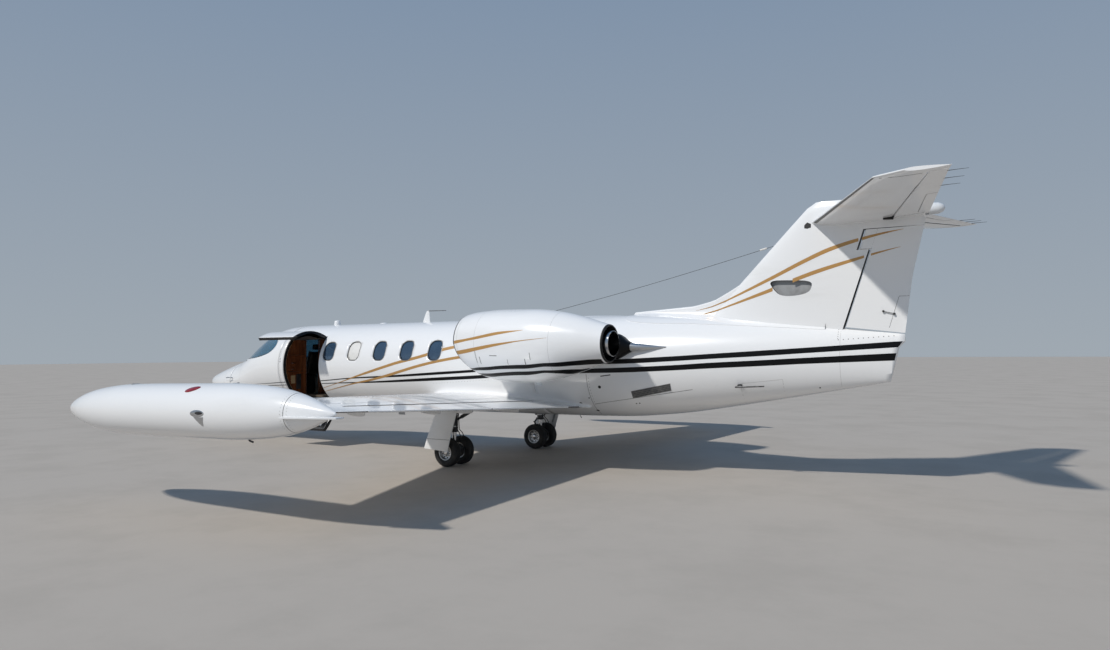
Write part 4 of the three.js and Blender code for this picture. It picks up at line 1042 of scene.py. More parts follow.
# %% [markdown]
# ## Stripes on the door
# The black pair runs on over the lower door half. It is laid while the half is shut and swings down with it,
# so it lines up with the hull again whenever the door closes.

# %% Door stripes
for name, table, material, proud in STRIPES[:2]:
    shape = stripe_strip(table, DOOR["front"] + 0.004, DOOR["back"] - 0.004, 1, proud)
    on_half("door_lower", "stripe_" + name, shape, material)
print("stripes on the lower half:", [p for p in PIECES if "door_lower_stripe" in p])

# %% [markdown]
# ## Panel lines and rivets
# Real skin shows its build: butt joints at the frames, access panels, rows of flush rivets by the wing root
# and the tail cone. They are a few millimetres wide and low in contrast, and all lie on the skin like the
# stripes.

# %% Skin details
def hull_line(name, places, width, material):
    """A narrow line along (station, height) places on the skin."""
    dense = []
    for (s0, z0), (s1, z1) in zip(places, places[1:]):
        count = max(1, round(hypot(s1 - s0, z1 - z0) / 0.05))
        dense += [(mix(s0, s1, i / count), mix(z0, z1, i / count)) for i in range(count)]
    dense.append(places[-1])
    shapes = []
    for side in (1, -1):
        lows, highs = [], []
        for i, (s, z) in enumerate(dense):
            s0, z0 = dense[max(0, i - 1)]
            s1, z1 = dense[min(len(dense) - 1, i + 1)]
            length = hypot(s1 - s0, z1 - z0) or 1
            ds, dz = -(z1 - z0) / length * width / 2, (s1 - s0) / length * width / 2
            lows.append((s - ds, z - dz))
            highs.append((s + ds, z + dz))
        shapes.append(strip(lows, highs, lambda a, b, out: on_hull(a, b, out, side), proud=0.0007))
    return piece(name, merged(*shapes), material, slot="white_paint")


def hull_dots(name, places, radius, material, sides=8):
    """Flush rivet heads and small holes as thin discs on the skin."""
    shapes = []
    for side in (1, -1):
        for s, z in places:
            middle = on_hull(s, z, 0, side)
            normal = hull_normals([middle])[0]
            shapes.append(lathe([(-0.002, radius), (0.0008, radius)], middle, normal, sides))
    return piece(name, merged(*shapes), material, slot="white_paint")


def frame_line(station, low, high):
    return [(station, mix(low, high, t)) for t in parts(24)]


hull_line("line_radome", frame_line(1.02, 0.86, 1.5), 0.004, FAINT)
hull_line("line_nose_bay_hatch", [(1.12, 1.2), (1.12, 1.44), (1.72, 1.56), (1.72, 1.2), (1.12, 1.2)], 0.004,
    FAINT)
hull_line("line_aft_bay", [(9.85, 0.965), (11.39, 1.21)], 0.006, SEAM)
hull_line("line_aft_bay_frame", frame_line(9.83, 0.8, 1.42), 0.006, SEAM)
hull_line("line_tail_cone", frame_line(13.32, 1.24, 2.0), 0.004, FAINT)
hull_line("line_mid_frame", frame_line(9.95, 1.66, 2.26), 0.004, FAINT)
hull_line("line_tail_hatch", [(12.05, 1.08), (12.05, 1.3), (12.6, 1.36), (12.6, 1.14)], 0.005, FAINT)
hull_dots("rivets_wing_root", [(6.9 + 0.06 * i, 1.235 + 0.004 * i) for i in range(26)], 0.006, FAINT)
hull_dots("rivets_tail_ledge", [(13.3 + 0.06 * i, 1.885 + 0.004 * i) for i in range(12)], 0.007, SEAM)
hull_dots("rivets_tail_frame", [(13.29, 1.9 + 0.03 * i) for i in range(5)], 0.006, SEAM)
hull_dots("rivets_aft_bay", [(9.86, 1.0 + 0.045 * i) for i in range(9)], 0.006, SEAM)
hull_dots("static_port", [(3.12, 1.65), (3.12, 1.6)], 0.012, SEAM, sides=16)
# The vents and drain holes are black discs, painted shade for the openings.
hull_dots("overboard_vent_shades", [(10.02, 1.23), (9.83, 0.86), (9.62, 0.97)], 0.024, GASKET, sides=20)
hull_dots("drain_hole_shades", [(10.52, 0.99), (10.57, 0.995), (13.05, 1.25), (9.8, 1.06)], 0.011, GASKET,
    sides=12)
print("skin details:", len([p for p in PIECES if p.startswith(("line", "rivets"))]), "pieces")

# %% [markdown]
# ## Cooling grille
# The port side of the tail bay breathes through a slanted grille. It is a dark sheet just proud of the skin,
# painted shade for the bay behind the slats, with a frame and a row of slats across it; from the ramp the
# slats read as a grey mesh.

# %% Tail bay grille and slot
GRILLE_FRONT, GRILLE_BACK = (10.5, 1.07, 1.172), (11.09, 1.192, 1.292)


def grille_level(s, share):
    t = (s - GRILLE_FRONT[0]) / (GRILLE_BACK[0] - GRILLE_FRONT[0])
    return mix(mix(GRILLE_FRONT[1], GRILLE_BACK[1], t), mix(GRILLE_FRONT[2], GRILLE_BACK[2], t), share)


for side_name, _, side in SIDES:
    surface = lambda s, z, out: on_hull(s, z, out, side)
    run = stations(GRILLE_FRONT[0], GRILLE_BACK[0], 0.06)
    # The dark sheet behind the slats is painted shade for the bay inside.
    back = strip([(s, grille_level(s, 0)) for s in run], [(s, grille_level(s, 1)) for s in run], surface, 2,
        0.001)
    piece("grille_back_" + side_name, back, PLASTIC)
    slats = []
    for i in range(30):
        s = mix(GRILLE_FRONT[0] + 0.012, GRILLE_BACK[0] - 0.012, i / 29)
        slats.append(strip([(s - 0.004, grille_level(s, t)) for t in (0.03, 0.97)],
            [(s + 0.004, grille_level(s, t)) for t in (0.03, 0.97)], surface, proud=0.004))
    for share in (0.02, 0.27, 0.5, 0.73, 0.98):
        slats.append(strip([(s, grille_level(s, share) - 0.004) for s in run],
            [(s, grille_level(s, share) + 0.004) for s in run], surface, proud=0.005))
    piece("grille_slats_" + side_name, merged(*slats), SEAM, slot="bare_aluminium")
# The slot in the aft bay is a black line, painted shade for the opening.
hull_line("slot_aft_bay_shade", [(10.06, 1.39), (10.22, 1.412)], 0.014, GASKET)
print("grille slats:", 35, "a side")

# %% [markdown]
# ## Wing sections
# Both wings are straight tapers, so two stations define them: nose, tail and their heights. Every point of
# the wing is found from its distance out and its share of the chord, which also places flaps, spoilers and
# lines.

# %% Wing geometry
WING_ROOT = {"y": 0.38, "nose": 6.665, "tail": 9.59, "nose_z": 0.96, "tail_z": 0.905, "thick": 0.095}
WING_TIP = {"y": 5.6, "nose": 8.3, "tail": 9.757, "nose_z": 1.222, "tail_z": 1.197, "thick": 0.092}
HINGE = 0.77
FLAP, AILERON = (0.9, 2.89), (2.915, 5.12)
SPOILER = {"from": 1.55, "to": 2.8, "nose": 0.66, "tail": 0.745, "thick": 0.012, "well": 0.028}
CHORD = soft_parts(34)


def half_thickness(x):
    curve = 0.2969 * sqrt(x) - 0.126 * x - 0.3516 * x ** 2 + 0.2843 * x ** 3 - 0.1015 * x ** 4
    return max(5 * curve, 0.03 * x)


def wing_at(y, x, surface=0.0, lift=0.0):
    """A point of the wing: surface 1 is the top skin, -1 the underside, 0 the middle."""
    t = (y - WING_ROOT["y"]) / (WING_TIP["y"] - WING_ROOT["y"])
    w = {key: mix(WING_ROOT[key], WING_TIP[key], t) for key in WING_ROOT}
    chord = w["tail"] - w["nose"]
    rise = surface * (half_thickness(x) * w["thick"] * chord) + (lift if surface >= 0 else -lift)
    return at(w["nose"] + x * chord, y, mix(w["nose_z"], w["tail_z"], x) + rise)


def wing_ring(y):
    """The wing's whole section at y, from the nose over the top and back below."""
    run = [x for x in CHORD if 0 < x < 1] + [1.0]
    return [wing_at(y, 0.0)] + [wing_at(y, x, 1) for x in run] + [wing_at(y, x, -1) for x in run[::-1]]


print("wing chord: root", round(WING_ROOT["tail"] - WING_ROOT["nose"], 2), "m, tip",
    round(WING_TIP["tail"] - WING_TIP["nose"], 2), "m")

# %% [markdown]
# ## Wing skin
# The wing is lofted whole and then cut for its flap, aileron and spoiler bays, a few millimetres larger than
# the parts that move in them. The bay walls are painted black as shade, which makes the control gaps visible
# without any drawn line.

# %% Wings
def bay(y0, y1, x0, x1):
    """A prism over part of the wing plan, well below and above it."""
    plan = [wing_at(y0, x0), wing_at(y1, x0), wing_at(y1, x1), wing_at(y0, x1)]
    return loft([[(p.x, p.y, z) for p in plan] for z in (0.5, 1.7)])


def well(y0, y1, x0, x1, depth):
    """A shallow tray following the top skin."""
    rings = []
    for y in (y0, y1):
        run = [mix(x0, x1, i / 6) for i in range(7)]
        rings.append([wing_at(y, x, 1, 0.03) for x in run] + [wing_at(y, x, 1, -depth) for x in run[::-1]])
    return loft(rings)


def wing_depth(p):
    """How far inside the section a point lies."""
    y = abs(p.y)
    nose, tail = wing_at(y, 0), wing_at(y, 1)
    x = min(max((nose.x - p.x) / (nose.x - tail.x), 0.0), 1.0)
    return (wing_at(y, x, 1).z - wing_at(y, x, -1).z) / 2 - abs(p.z - wing_at(y,
        x).z) if 0.4 < y < 5.5 else 0.0


def paint_shade_in_cuts(thing, depth):
    """Paints the faces that lie inside the section, where a bay was cut, black with the rubber finish as
    painted shade in the gaps.
    """
    paint_faces(thing, [1 if depth(face.center) > 0.003 else 0 for face in thing.data.polygons], PAINT,
        GASKET)


for name, _, side in SIDES:
    whole = loft([wing_ring(y) for y in (0.3, 1.2, 2.1, 3.0, 3.9, 4.8, 5.66)])
    skin = raw_object("wing_skin_" + name, sided(whole, side))
    for shape in (bay(FLAP[0] - 0.008, FLAP[1] + 0.008, HINGE - 0.01, 1.3),
            bay(AILERON[0] - 0.008, AILERON[1] + 0.008, HINGE - 0.012, 1.3),
            well(SPOILER["from"] - 0.006, SPOILER["to"] + 0.006, SPOILER["nose"] - 0.004,
            SPOILER["tail"] + 0.004, SPOILER["well"])):
        carve(skin, sided(shape, side))
    paint_shade_in_cuts(skin, wing_depth)
    dressed(skin, PAINT, ["wing_" + name], sharp=30)

# %% [markdown]
# ## Flaps, ailerons and spoilers
# Each control surface is a short loft of the wing's own section behind the hinge line, with a rounded nose in
# place of the cut. They ride on their own bodies and turn about the same hinges as the plain solids.

# %% Control surfaces
def control_ring(y, x0, nose_steps=7):
    """The section from x0 to the tail with a half-round nose."""
    run = [x0 + 0.014 + (1 - x0 - 0.014) * i / 12 for i in range(13)]
    top = [wing_at(y, x, 1) for x in run]
    under = [wing_at(y, x, -1) for x in run]
    upper, lower = top[0], under[0]
    middle, radius = (upper + lower) / 2, (upper - lower).length / 2
    reach = (wing_at(y, x0 + 0.014) - wing_at(y, x0)).length
    nose = []
    for i in range(1, nose_steps):
        a = pi * i / nose_steps
        nose.append(middle + Vector((sin(a) * reach, 0, cos(a) * radius)))
    return top + under[::-1] + nose[::-1]


for part, span, x0 in (("flap", FLAP, HINGE - 0.002), ("aileron", AILERON, HINGE)):
    run = [mix(span[0], span[1], i / 4) for i in range(5)]
    surface = loft([control_ring(y, x0) for y in run])
    both(f"{part}_skin", surface, PAINT, f"{part}", body=f"{part}", sharp=40)
span = [mix(SPOILER["from"], SPOILER["to"], i / 4) for i in range(5)]
plate = []
for y in span:
    run = [mix(SPOILER["nose"], SPOILER["tail"], i / 6) for i in range(7)]
    plate.append([wing_at(y, x, 1, 0.0004) for x in run] + [wing_at(y, x, 1,
        -mix(SPOILER["thick"], 0.004, i / 6)) for i, x in reversed(list(enumerate(run)))])
both("spoiler_skin", loft(plate), PAINT, "spoiler", body="spoiler", sharp=40)
print("control surfaces:", [p for p in PIECES if p.startswith(("flap", "aileron", "spoiler"))])

# %% [markdown]
# ## What lies on the wing
# Thin lines for the spars, the ribs and the hatches below, a filler cap near each tip, and the hinge brackets
# under the trailing edge.

# %% Wing details
def wing_line(label, places, surface=1, width=0.004):
    """A narrow line on both wings along (y, chord share) places."""
    shapes = []
    up, down = Vector((0, 0, surface * 0.0008)), Vector((0, 0, -surface * 0.003))
    for (y0, x0), (y1, x1) in zip(places, places[1:]):
        a, b = wing_at(y0, x0, surface), wing_at(y1, x1, surface)
        across = (b - a).normalized().cross(Vector((0, 0, 1))) * width / 2
        rings = []
        for t in parts(max(1, round(abs(x1 - x0) / 0.03))):
            p = wing_at(mix(y0, y1, t), mix(x0, x1, t), surface)
            rings.append([p - across + up, p + across + up, p + across + down, p - across + down])
        shapes.append(loft(rings))
    both(label, merged(*shapes), FAINT)


wing_line("wing_line_spar", [(0.75, 0.16), (5.42, 0.16)])
wing_line("wing_line_rear", [(0.9, 0.64), (5.42, 0.64)])
for index, y in enumerate((1.3, 2.05, 2.86, 3.7, 4.55, 5.3)):
    wing_line(f"wing_line_rib_*_{index}", [(y, 0.16), (y, 0.64)])
wing_line("wing_line_under", [(0.75, 0.2), (5.42, 0.2)], -1)
for index, y in enumerate((1.9, 2.8, 3.8, 4.8)):
    hatch = [(y - 0.16, 0.3), (y + 0.16, 0.3), (y + 0.16, 0.48), (y - 0.16, 0.48), (y - 0.16, 0.3)]
    wing_line(f"wing_hatch_*_{index}", hatch, -1)
FILLER = [(-0.004, 0.045), (0.002, 0.045), (0.0035, 0.038), (0.0035, 0.0)]
both("wing_filler_cap", lathe(FILLER, wing_at(5.15, 0.35, 1), (0, 0, 1), 32), ALUMINIUM)
brackets = []
for y in (1.25, 2.55, 3.3, 4.75):
    rings = []
    for t in (0, 0.15, 0.35, 0.6, 0.85, 1.0):
        p = wing_at(y, mix(0.6, 0.752, t), -1)
        depth = 0.012 + 0.036 * sin(pi * min(1, t * 0.62 + 0.05))
        half = 0.013 * sin(pi * min(0.95, 0.12 + t * 0.6)) + 0.003
        rings.append([p + Vector((0, half * cos(a), 0.01 - depth * max(0, -sin(a)) + 0.006 * max(0, sin(a))))
            for a in circle(12)])
    brackets.append(loft(rings))
both("wing_hinge_brackets", merged(*brackets), PAINT)
print("wing details:", len([p for p in PIECES if p.startswith("wing_")]))

# %% [markdown]
# ## Root fillet
# Where the wing passes the round hull a concave fillet smooths the airflow. It is a loft of slim wedges from
# ahead of the wing's nose to behind its tail: one edge on the hull, one on the wing.

# %% Wing root fillet
def root_fillet():
    rings = []
    for i in range(33):
        x = mix(-0.035, 1.06, i / 32)
        inside = min(max(x, 0.001), 0.999)
        fade = min(1.0, (x + 0.035) / 0.16, (1.06 - x) / 0.2)
        reach = 0.03 + 0.115 * fade
        station = HALF - wing_at(0.7, 0).x + x * (wing_at(0.7, 0).x - wing_at(0.7, 1).x)
        level = wing_at(0.7, inside, 1).z
        middle, rise, half = hull_size(station)
        hull_y = lambda z: half * sqrt(max(0.01, 1 - ((z - middle) / rise) ** 2))
        foot_y = hull_y(level) + reach
        foot = wing_at(foot_y, inside, 1)
        top_z = level + reach * 0.95
        top = (hull_y(top_z), top_z)
        corner = (hull_y(level), level)
        curve = []
        for k in range(9):
            t = k / 8
            y = (1 - t) ** 2 * top[0] + 2 * t * (1 - t) * (corner[0] + 0.01) + t * t * foot_y
            z = (1 - t) ** 2 * top[1] + 2 * t * (1 - t) * (corner[1] + 0.01) + t * t * (foot.z + 0.001)
            curve.append(at(station, y, z))
        curve += [at(station, foot_y, foot.z - 0.012), at(station, corner[0] - 0.08, corner[1] - 0.02),
            at(station, top[0] - 0.02, top[1] - 0.01)]
        rings.append(curve)
    return loft(rings)


both("wing_fillet", root_fillet(), PAINT, sharp=50)
print("fillets:", [p for p in PIECES if "fillet" in p])

# %% [markdown]
# ## Tip tanks
# Each tank is a turned body on the wing tip with a flat delta fin at its tail and a riveted joint ring where
# the tail cone bolts on.

# %% Tip tanks
TANK = {"y": 5.73, "radius": 0.29, "nose": 5.37, "tail": 9.925, "nose_z": 1.115, "tail_z": 1.198}
TANK_PROFILE = [
    # share of the length, share of the radius
    (0.0, 0.0), (0.004, 0.115), (0.012, 0.205), (0.025, 0.305), (0.04, 0.4), (0.07, 0.545), (0.1, 0.67),
    (0.18, 0.87), (0.28, 0.98), (0.4, 1.0), (0.66, 1.0), (0.76, 0.94), (0.85, 0.79), (0.93, 0.48),
    (0.965, 0.27), (0.99, 0.12), (1.0, 0.03),
]
tank_front = at(TANK["nose"], TANK["y"], TANK["nose_z"])
tank_axis = at(TANK["tail"], TANK["y"], TANK["tail_z"]) - tank_front
TANK_LENGTH = tank_axis.length
tank_axis.normalize()
tank_shape = smooth(TANK_PROFILE)


def tank_radius(along):
    return float(tank_shape(along / TANK_LENGTH)[0]) * TANK["radius"]


def on_tank(along, degrees, proud=0.0):
    """A point of the tank's skin; 0 degrees is straight out, 90 up."""
    a = radians(degrees)
    radius = tank_radius(along) + proud
    up = Vector((0, 0, 1)) - tank_axis * tank_axis.z
    return tank_front + tank_axis * along + Vector((0, 1,
        0)) * radius * cos(a) + up.normalized() * radius * sin(a)


def tank_ring(along, width):
    """A hoop lying on the tank."""
    sides = 72
    lows = [(along - width / 2, i / sides * 360) for i in range(sides)]
    highs = [(along + width / 2, i / sides * 360) for i in range(sides)]
    return strip(lows, highs, on_tank, proud=0.0008, joined=True)


shares = [0, 0.001, 0.0025, 0.005, 0.009, 0.014, 0.02, 0.03] + [0.03 + 0.97 * i / 60 for i in range(1, 61)]
profile = [(TANK_LENGTH * t, max(0.0005, float(tank_shape(t)[0]) * TANK["radius"])) for t in shares]
both("tank_skin", lathe(profile, tank_front, tank_axis, 96), PAINT, "tip_tank")
TANK_FIN = [(9.36, 5.752), (9.44, 5.985), (10.0, 5.8), (10.0, 5.7), (9.36, 5.64)]
both("tank_fin", prism(TANK_FIN, 1.152, 1.17, "z"), PAINT, bevel=0.004)
both("tank_joint", tank_ring(4.055, 0.006), SEAM)
rivets = []
for along in (4.02, 4.09):
    for k in range(40):
        middle = on_tank(along, k * 9)
        normal = (middle - (tank_front + tank_axis * along)).normalized()
        rivets.append(lathe([(-0.001, 0.0045), (0.0008, 0.0045)], middle, normal, 8))
both("tank_rivets", merged(*rivets), FAINT)
print("tanks:", round(TANK_LENGTH, 2), "m long")

# %% [markdown]
# ## Lamps and fittings on the tanks
# An oval lamp sits high on the outer side of each tank, red to port and green to starboard. Below it is a
# steel vent with a small scoop. A filler on top and a drain below complete the tank.

# %% Tank fittings
def tank_oval(along, degrees, half_long, half_high, proud, lift):
    """A shallow domed oval on the tank."""
    rings = []
    slant = 55 if degrees > 30 else 0
    for share, rise in ((1.0, -0.004), (1.0, proud * 0.3), (0.86, proud * 0.75), (0.6, proud),
            (0.25, proud + lift)):
        rings.append([on_tank(along + half_long * share * cos(a),
            degrees + math.degrees(half_high * share * sin(a) / TANK["radius"])
            + slant * half_long * share * cos(a), rise) for a in circle(28)])
    return loft(rings)


GREEN_LENS = finish("green_lens", "glazing", (0.004, 0.16, 0.06), (0.002, 0.09, 0.03), 0.08, patch=12,
    Coat_Weight=1.0)
lamp = tank_oval(2.65, 54, 0.095, 0.04, 0.012, 0.002)
piece("tank_lamp_left", lamp, RED_LENS, sharp=60)
piece("tank_lamp_right", mirrored(lamp), GREEN_LENS, sharp=60)
both("tank_vent", tank_oval(2.89, -1, 0.112, 0.036, 0.004, 0.001), STEEL, sharp=60)
# The vent's mouth is a black oval, painted shade for the opening.
both("tank_vent_mouth", tank_oval(2.92, 0, 0.066, 0.018, 0.0065, 0.0005), GASKET, slot="bare_aluminium",
    sharp=60)
lows = [(mix(2.83, 2.935, t), mix(-8, -27, t)) for t in parts(6)]
highs = [(mix(2.99, 2.955, t), mix(-8, -27, t)) for t in parts(6)]
both("tank_scoop", strip(lows, highs, on_tank, 4, 0.0014), ALUMINIUM)
drain = on_tank(3.33, -90)
both("tank_drain", sweep([drain + Vector(step) for step in ((0.03, 0, 0.02), (0, 0, -0.012),
    (-0.05, 0, -0.022))], 0.01, sides=12), GEAR_METAL)
filler = lathe([(-0.004, 0.05), (0.002, 0.05), (0.004, 0.042), (0.004, 0.0)], on_tank(1.35, 90), (0, 0, 1),
    32)
both("tank_filler", filler, ALUMINIUM)
print("tank fittings:", len([p for p in PIECES if p.startswith("tank_")]))

# %% [markdown]
# ## Engine pods
# Each engine hangs beside the tail on a pylon. The pod is round above and deeper below, and its intake lip
# leans back towards the bottom. One skin runs along the outside, over the lip and back through the duct, and
# its finish changes on the way from paint to grey and to sooty metal.

# %% Engine axis and pod skin
ENGINE_FRONT, ENGINE_BACK = at(8.06, 1.32, 1.93), at(10.52, 1.32, 1.862)
engine_axis = (ENGINE_BACK - ENGINE_FRONT).normalized()
engine_up = (Vector((0, 0, 1)) - engine_axis * engine_axis.z).normalized()
POD_OUTSIDE = [
    # behind the lip, radius, how much deeper the underside hangs
    (0.0, 0.352, 0.03), (0.008, 0.365, 0.031), (0.025, 0.382, 0.033), (0.06, 0.399, 0.038),
    (0.11, 0.415, 0.045), (0.38, 0.455, 0.085), (0.75, 0.478, 0.114), (1.25, 0.48, 0.107),
    (1.65, 0.45, 0.065), (2.05, 0.372, 0.025), (2.3, 0.305, 0.001), (2.46, 0.262, 0.0),
]
POD_DUCT = [(0.0, 0.352, 0.03), (0.006, 0.342, 0.03), (0.03, 0.333, 0.028), (0.07, 0.329, 0.025),
    (0.13, 0.328, 0.021), (0.25, 0.347, 0.012), (0.42, 0.368, 0.0), (0.62, 0.368, 0.0), (0.9, 0.425, 0.0),
    (1.6, 0.415, 0.0), (2.0, 0.35, 0.0), (2.46, 0.246, 0.0)]
LIP_LEAN = {"reach": 0.16, "power": 1.5, "fade": 0.9}
pod_outside, pod_duct = smooth(POD_OUTSIDE), smooth(POD_DUCT)


def on_engine(along, degrees, radius, deeper=0.0, lean=0.0):
    """0 degrees is straight out to port, 90 up."""
    out, up = cos(radians(degrees)), sin(radians(degrees))
    below = max(0.0, -up)
    along += lean * below ** LIP_LEAN["power"] * max(0.0, 1 - along / LIP_LEAN["fade"]) ** 2
    return (ENGINE_FRONT + engine_axis * along + Vector((0, 1, 0)) * radius * out
        + engine_up * (radius * up - deeper * below))


def on_pod(along, degrees, proud=0.0, wall=pod_outside):
    radius, deeper = (float(v) for v in wall(along))
    return on_engine(along, degrees, radius + proud, deeper, LIP_LEAN["reach"])


POD_SIDES = 96
around = [360 * i / POD_SIDES for i in range(POD_SIDES)]
out_run = [0.0, 0.003, 0.008, 0.015, 0.025, 0.04, 0.06, 0.085] + stations(0.11, 2.455, 0.06)
in_run = stations(2.455, 0.13, -0.08) + [0.1, 0.07, 0.045, 0.03, 0.018, 0.01, 0.005, 0.002]
rings = [[on_pod(a, d) for d in around] for a in out_run] + [[on_pod(a, d, 0, pod_duct) for d in around]
    for a in in_run]
row_kinds = [0] * len(out_run) + [3 if a > 1.9 else 2 if a > 0.3 else 1 if a > 0.05 else 0 for a in in_run]
for name, _, side in SIDES:
    pod = raw_object("pod_skin_" + name, sided(loft(rings, joined=True), side))
    paint_faces(pod, [kind for kind in row_kinds for _ in around], PAINT, GREY_PAINT, ALUMINIUM, SOOT)
    dressed(pod, PAINT, ["nacelle_" + name], sharp=50)
print("pod skins:", len(pod.data.polygons), "faces each")

# %% [markdown]
# ## Fan and core
# Down the intake the fan shows two dozen twisted blades around a spinner with a painted swirl. Behind it sit
# the stator vanes and core; at the back the sooty cone and an inner nozzle ring that catches the light.

# %% Fan
FAN = {"blades": 24, "hub": 0.118, "tip": 0.352, "place": 0.505}


def fan_blade(turn_degrees):
    rings = []
    for t in parts(6):
        radius = mix(FAN["hub"] - 0.01, FAN["tip"], t)
        twist = radians(mix(28, 62, t))
        chord = mix(0.07, 0.088, t)
        ring = []
        for a in circle(12):
            along, thick = cos(a) * chord / 2, sin(a) * 0.0035
            bend = 0.006 * (1 - cos(a) ** 2)
            p = (along * cos(twist) - (thick + bend) * sin(twist),
                along * sin(twist) + (thick + bend) * cos(twist))
            ring.append(on_engine(FAN["place"] + p[0], turn_degrees + math.degrees(p[1] / radius), radius))
        rings.append(ring)
    return loft(rings)


SPINNER = [(0.25, 0.0005), (0.254, 0.016), (0.268, 0.034), (0.3, 0.058), (0.36, 0.09), (0.43, 0.112),
    (0.47, 0.12), (0.555, 0.12), (0.558, 0.036), (0.62, 0.034)]
blades = merged(*(fan_blade(i / FAN["blades"] * 360) for i in range(FAN["blades"])))
both("fan_blades", blades, ALUMINIUM, "fan", body="fan", slot="engine_metal")
spinner = lathe(SPINNER, ENGINE_FRONT, engine_axis, 48)
both("fan_spinner", spinner, PLASTIC, body="fan", slot="engine_metal")
cone = smooth(SPINNER[:7])
run = [0.262 + 0.17 * i / 24 for i in range(25)]
swirl = strip([(a, 900 * (a - 0.262)) for a in run], [(a + 0.008, 900 * (a - 0.262) + 26) for a in run],
    lambda a, d, out: on_engine(a, d, float(cone(a)[0]) + out), across=3, proud=0.0012)
both("fan_swirl", swirl, PAINT, body="fan", slot="engine_metal")
print("fan blades:", FAN["blades"], "an engine")

# %% Core, vanes and nozzles
CORE = [(0.575, 0.0005), (0.575, 0.125), (0.64, 0.225), (0.8, 0.245), (1.5, 0.25), (1.9, 0.205), (2.1, 0.165),
    (2.3, 0.085), (2.38, 0.048), (2.42, 0.018), (2.43, 0.0005)]
both("core", lathe(CORE, ENGINE_FRONT, engine_axis, 64), SOOT, "engine_core", sharp=50)
vanes = []
for i in range(32):
    d = i / 32 * 360
    vanes.append(loft([[on_engine(a, d + lean + w, r) for a, lean,
        w in ((0.66, 0, 0.3), (0.76, 3, 0.3), (0.76, 3, -0.3), (0.66, 0, -0.3))] for r in (0.2, 0.372)]))
for i in range(6):
    d = i / 6 * 360 + 30
    vanes.append(loft([[on_engine(a, d + w, r) for a, w in ((1.0, 1.0), (1.2, 1.0), (1.2, -1.0), (1.0, -1.0))]
        for r in (0.22, 0.43)]))
both("vanes", merged(*vanes), ALUMINIUM, slot="engine_metal")
tube = [(1.95, 0.222), (2.2, 0.215), (2.42, 0.194), (2.515, 0.177), (2.517, 0.172), (2.42, 0.188),
    (2.2, 0.209), (1.95, 0.216)]
both("core_nozzle", lathe(tube, ENGINE_FRONT, engine_axis, 72, joined=True), STEEL, slot="engine_metal",
    sharp=50)
rim = [(2.446, float(pod_outside(2.446)[0]) + 0.0015), (2.462, 0.2645), (2.47, 0.258), (2.468, 0.244),
    (2.4, float(pod_duct(2.4)[0]) - 0.001)]
both("nozzle_rim", lathe(rim, ENGINE_FRONT, engine_axis, 96, joined=True), SOOT, sharp=40)
print("engine cores are", CORE[-1][0] - CORE[0][0], "m long")

# %% [markdown]
# ## On the pods
# Two gold stripes cross each pod's outer face and run out to points, and the black pair comes through on its
# lower half in line with the hull's. Thin seams mark the intake ring and the cowling doors, with a few
# latches and a drain mast below.

# %% Pod stripes, seams and fittings
POD_STRIPES = {
    # behind the lip, lower edge, upper edge in degrees below the pod's widest line
    "gold_upper": [(0.016, -7.0, -1.0), (0.14, -4.0, 1.6), (0.28, -0.8, 3.8), (0.56, 4.6, 9.6),
                   (0.937, 12.9, 17.5), (1.316, 20.3, 20.7)],
    "gold_lower": [(0.016, -29.0, -21.5), (0.135, -24.6, -17.6), (0.457, -15.2, -9.8), (0.75, -8.6, -4.4),
                   (1.156, -1.0, 0.9), (1.7, 8.2, 8.5)],
    "black_upper": [(0.016, -75.0, -67.0), (0.215, -61.0, -54.4), (0.475, -49.6, -43.1), (0.93, -41.5, -35.4),
                    (1.32, -39.9, -33.2), (1.565, -39.8, -33.2), (1.85, -45.4, -35.8), (2.06, -51.4, -38.6),
                    (2.35, -75.0, -47.6), (2.42, -89.0, -51.4)],
    "black_lower": [(0.16, -88.0, -78.0), (0.3, -78.0, -67.0), (0.49, -67.8, -57.4), (0.88, -56.7, -48.7),
                    (1.28, -53.1, -45.3), (1.52, -53.0, -46.7), (1.8, -64.0, -52.8), (1.975, -85.6, -60.0),
                    (2.17, -89.0, -80.0)],
}


def pod_stripe(table):
    edges = smooth(table)
    run = stations(table[0][0], table[-1][0], 0.05)
    return strip([(a, float(edges(a)[0])) for a in run], [(a, float(edges(a)[1])) for a in run], on_pod,
        across=3, proud=0.0014)


def pod_ring(along, width, low=-180.0, high=180.0, proud=0.0009):
    count = max(8, round((high - low) / 5))
    turn = [mix(low, high, i / count) for i in range(count + (0 if high - low >= 360 else 1))]
    return strip([(along - width / 2, d) for d in turn], [(along + width / 2, d) for d in turn], on_pod,
        proud=proud, joined=high - low >= 360)


def pod_seam(degrees, front, back, width):
    run = stations(front, back, 0.08)
    half = math.degrees(width / 2 / 0.46)
    return strip([(a, degrees - half) for a in run], [(a, degrees + half) for a in run], on_pod, proud=0.0009)


for label, table in POD_STRIPES.items():
    both("pod_stripe_" + label, pod_stripe(table), GOLD if label.startswith("gold") else BLACK)
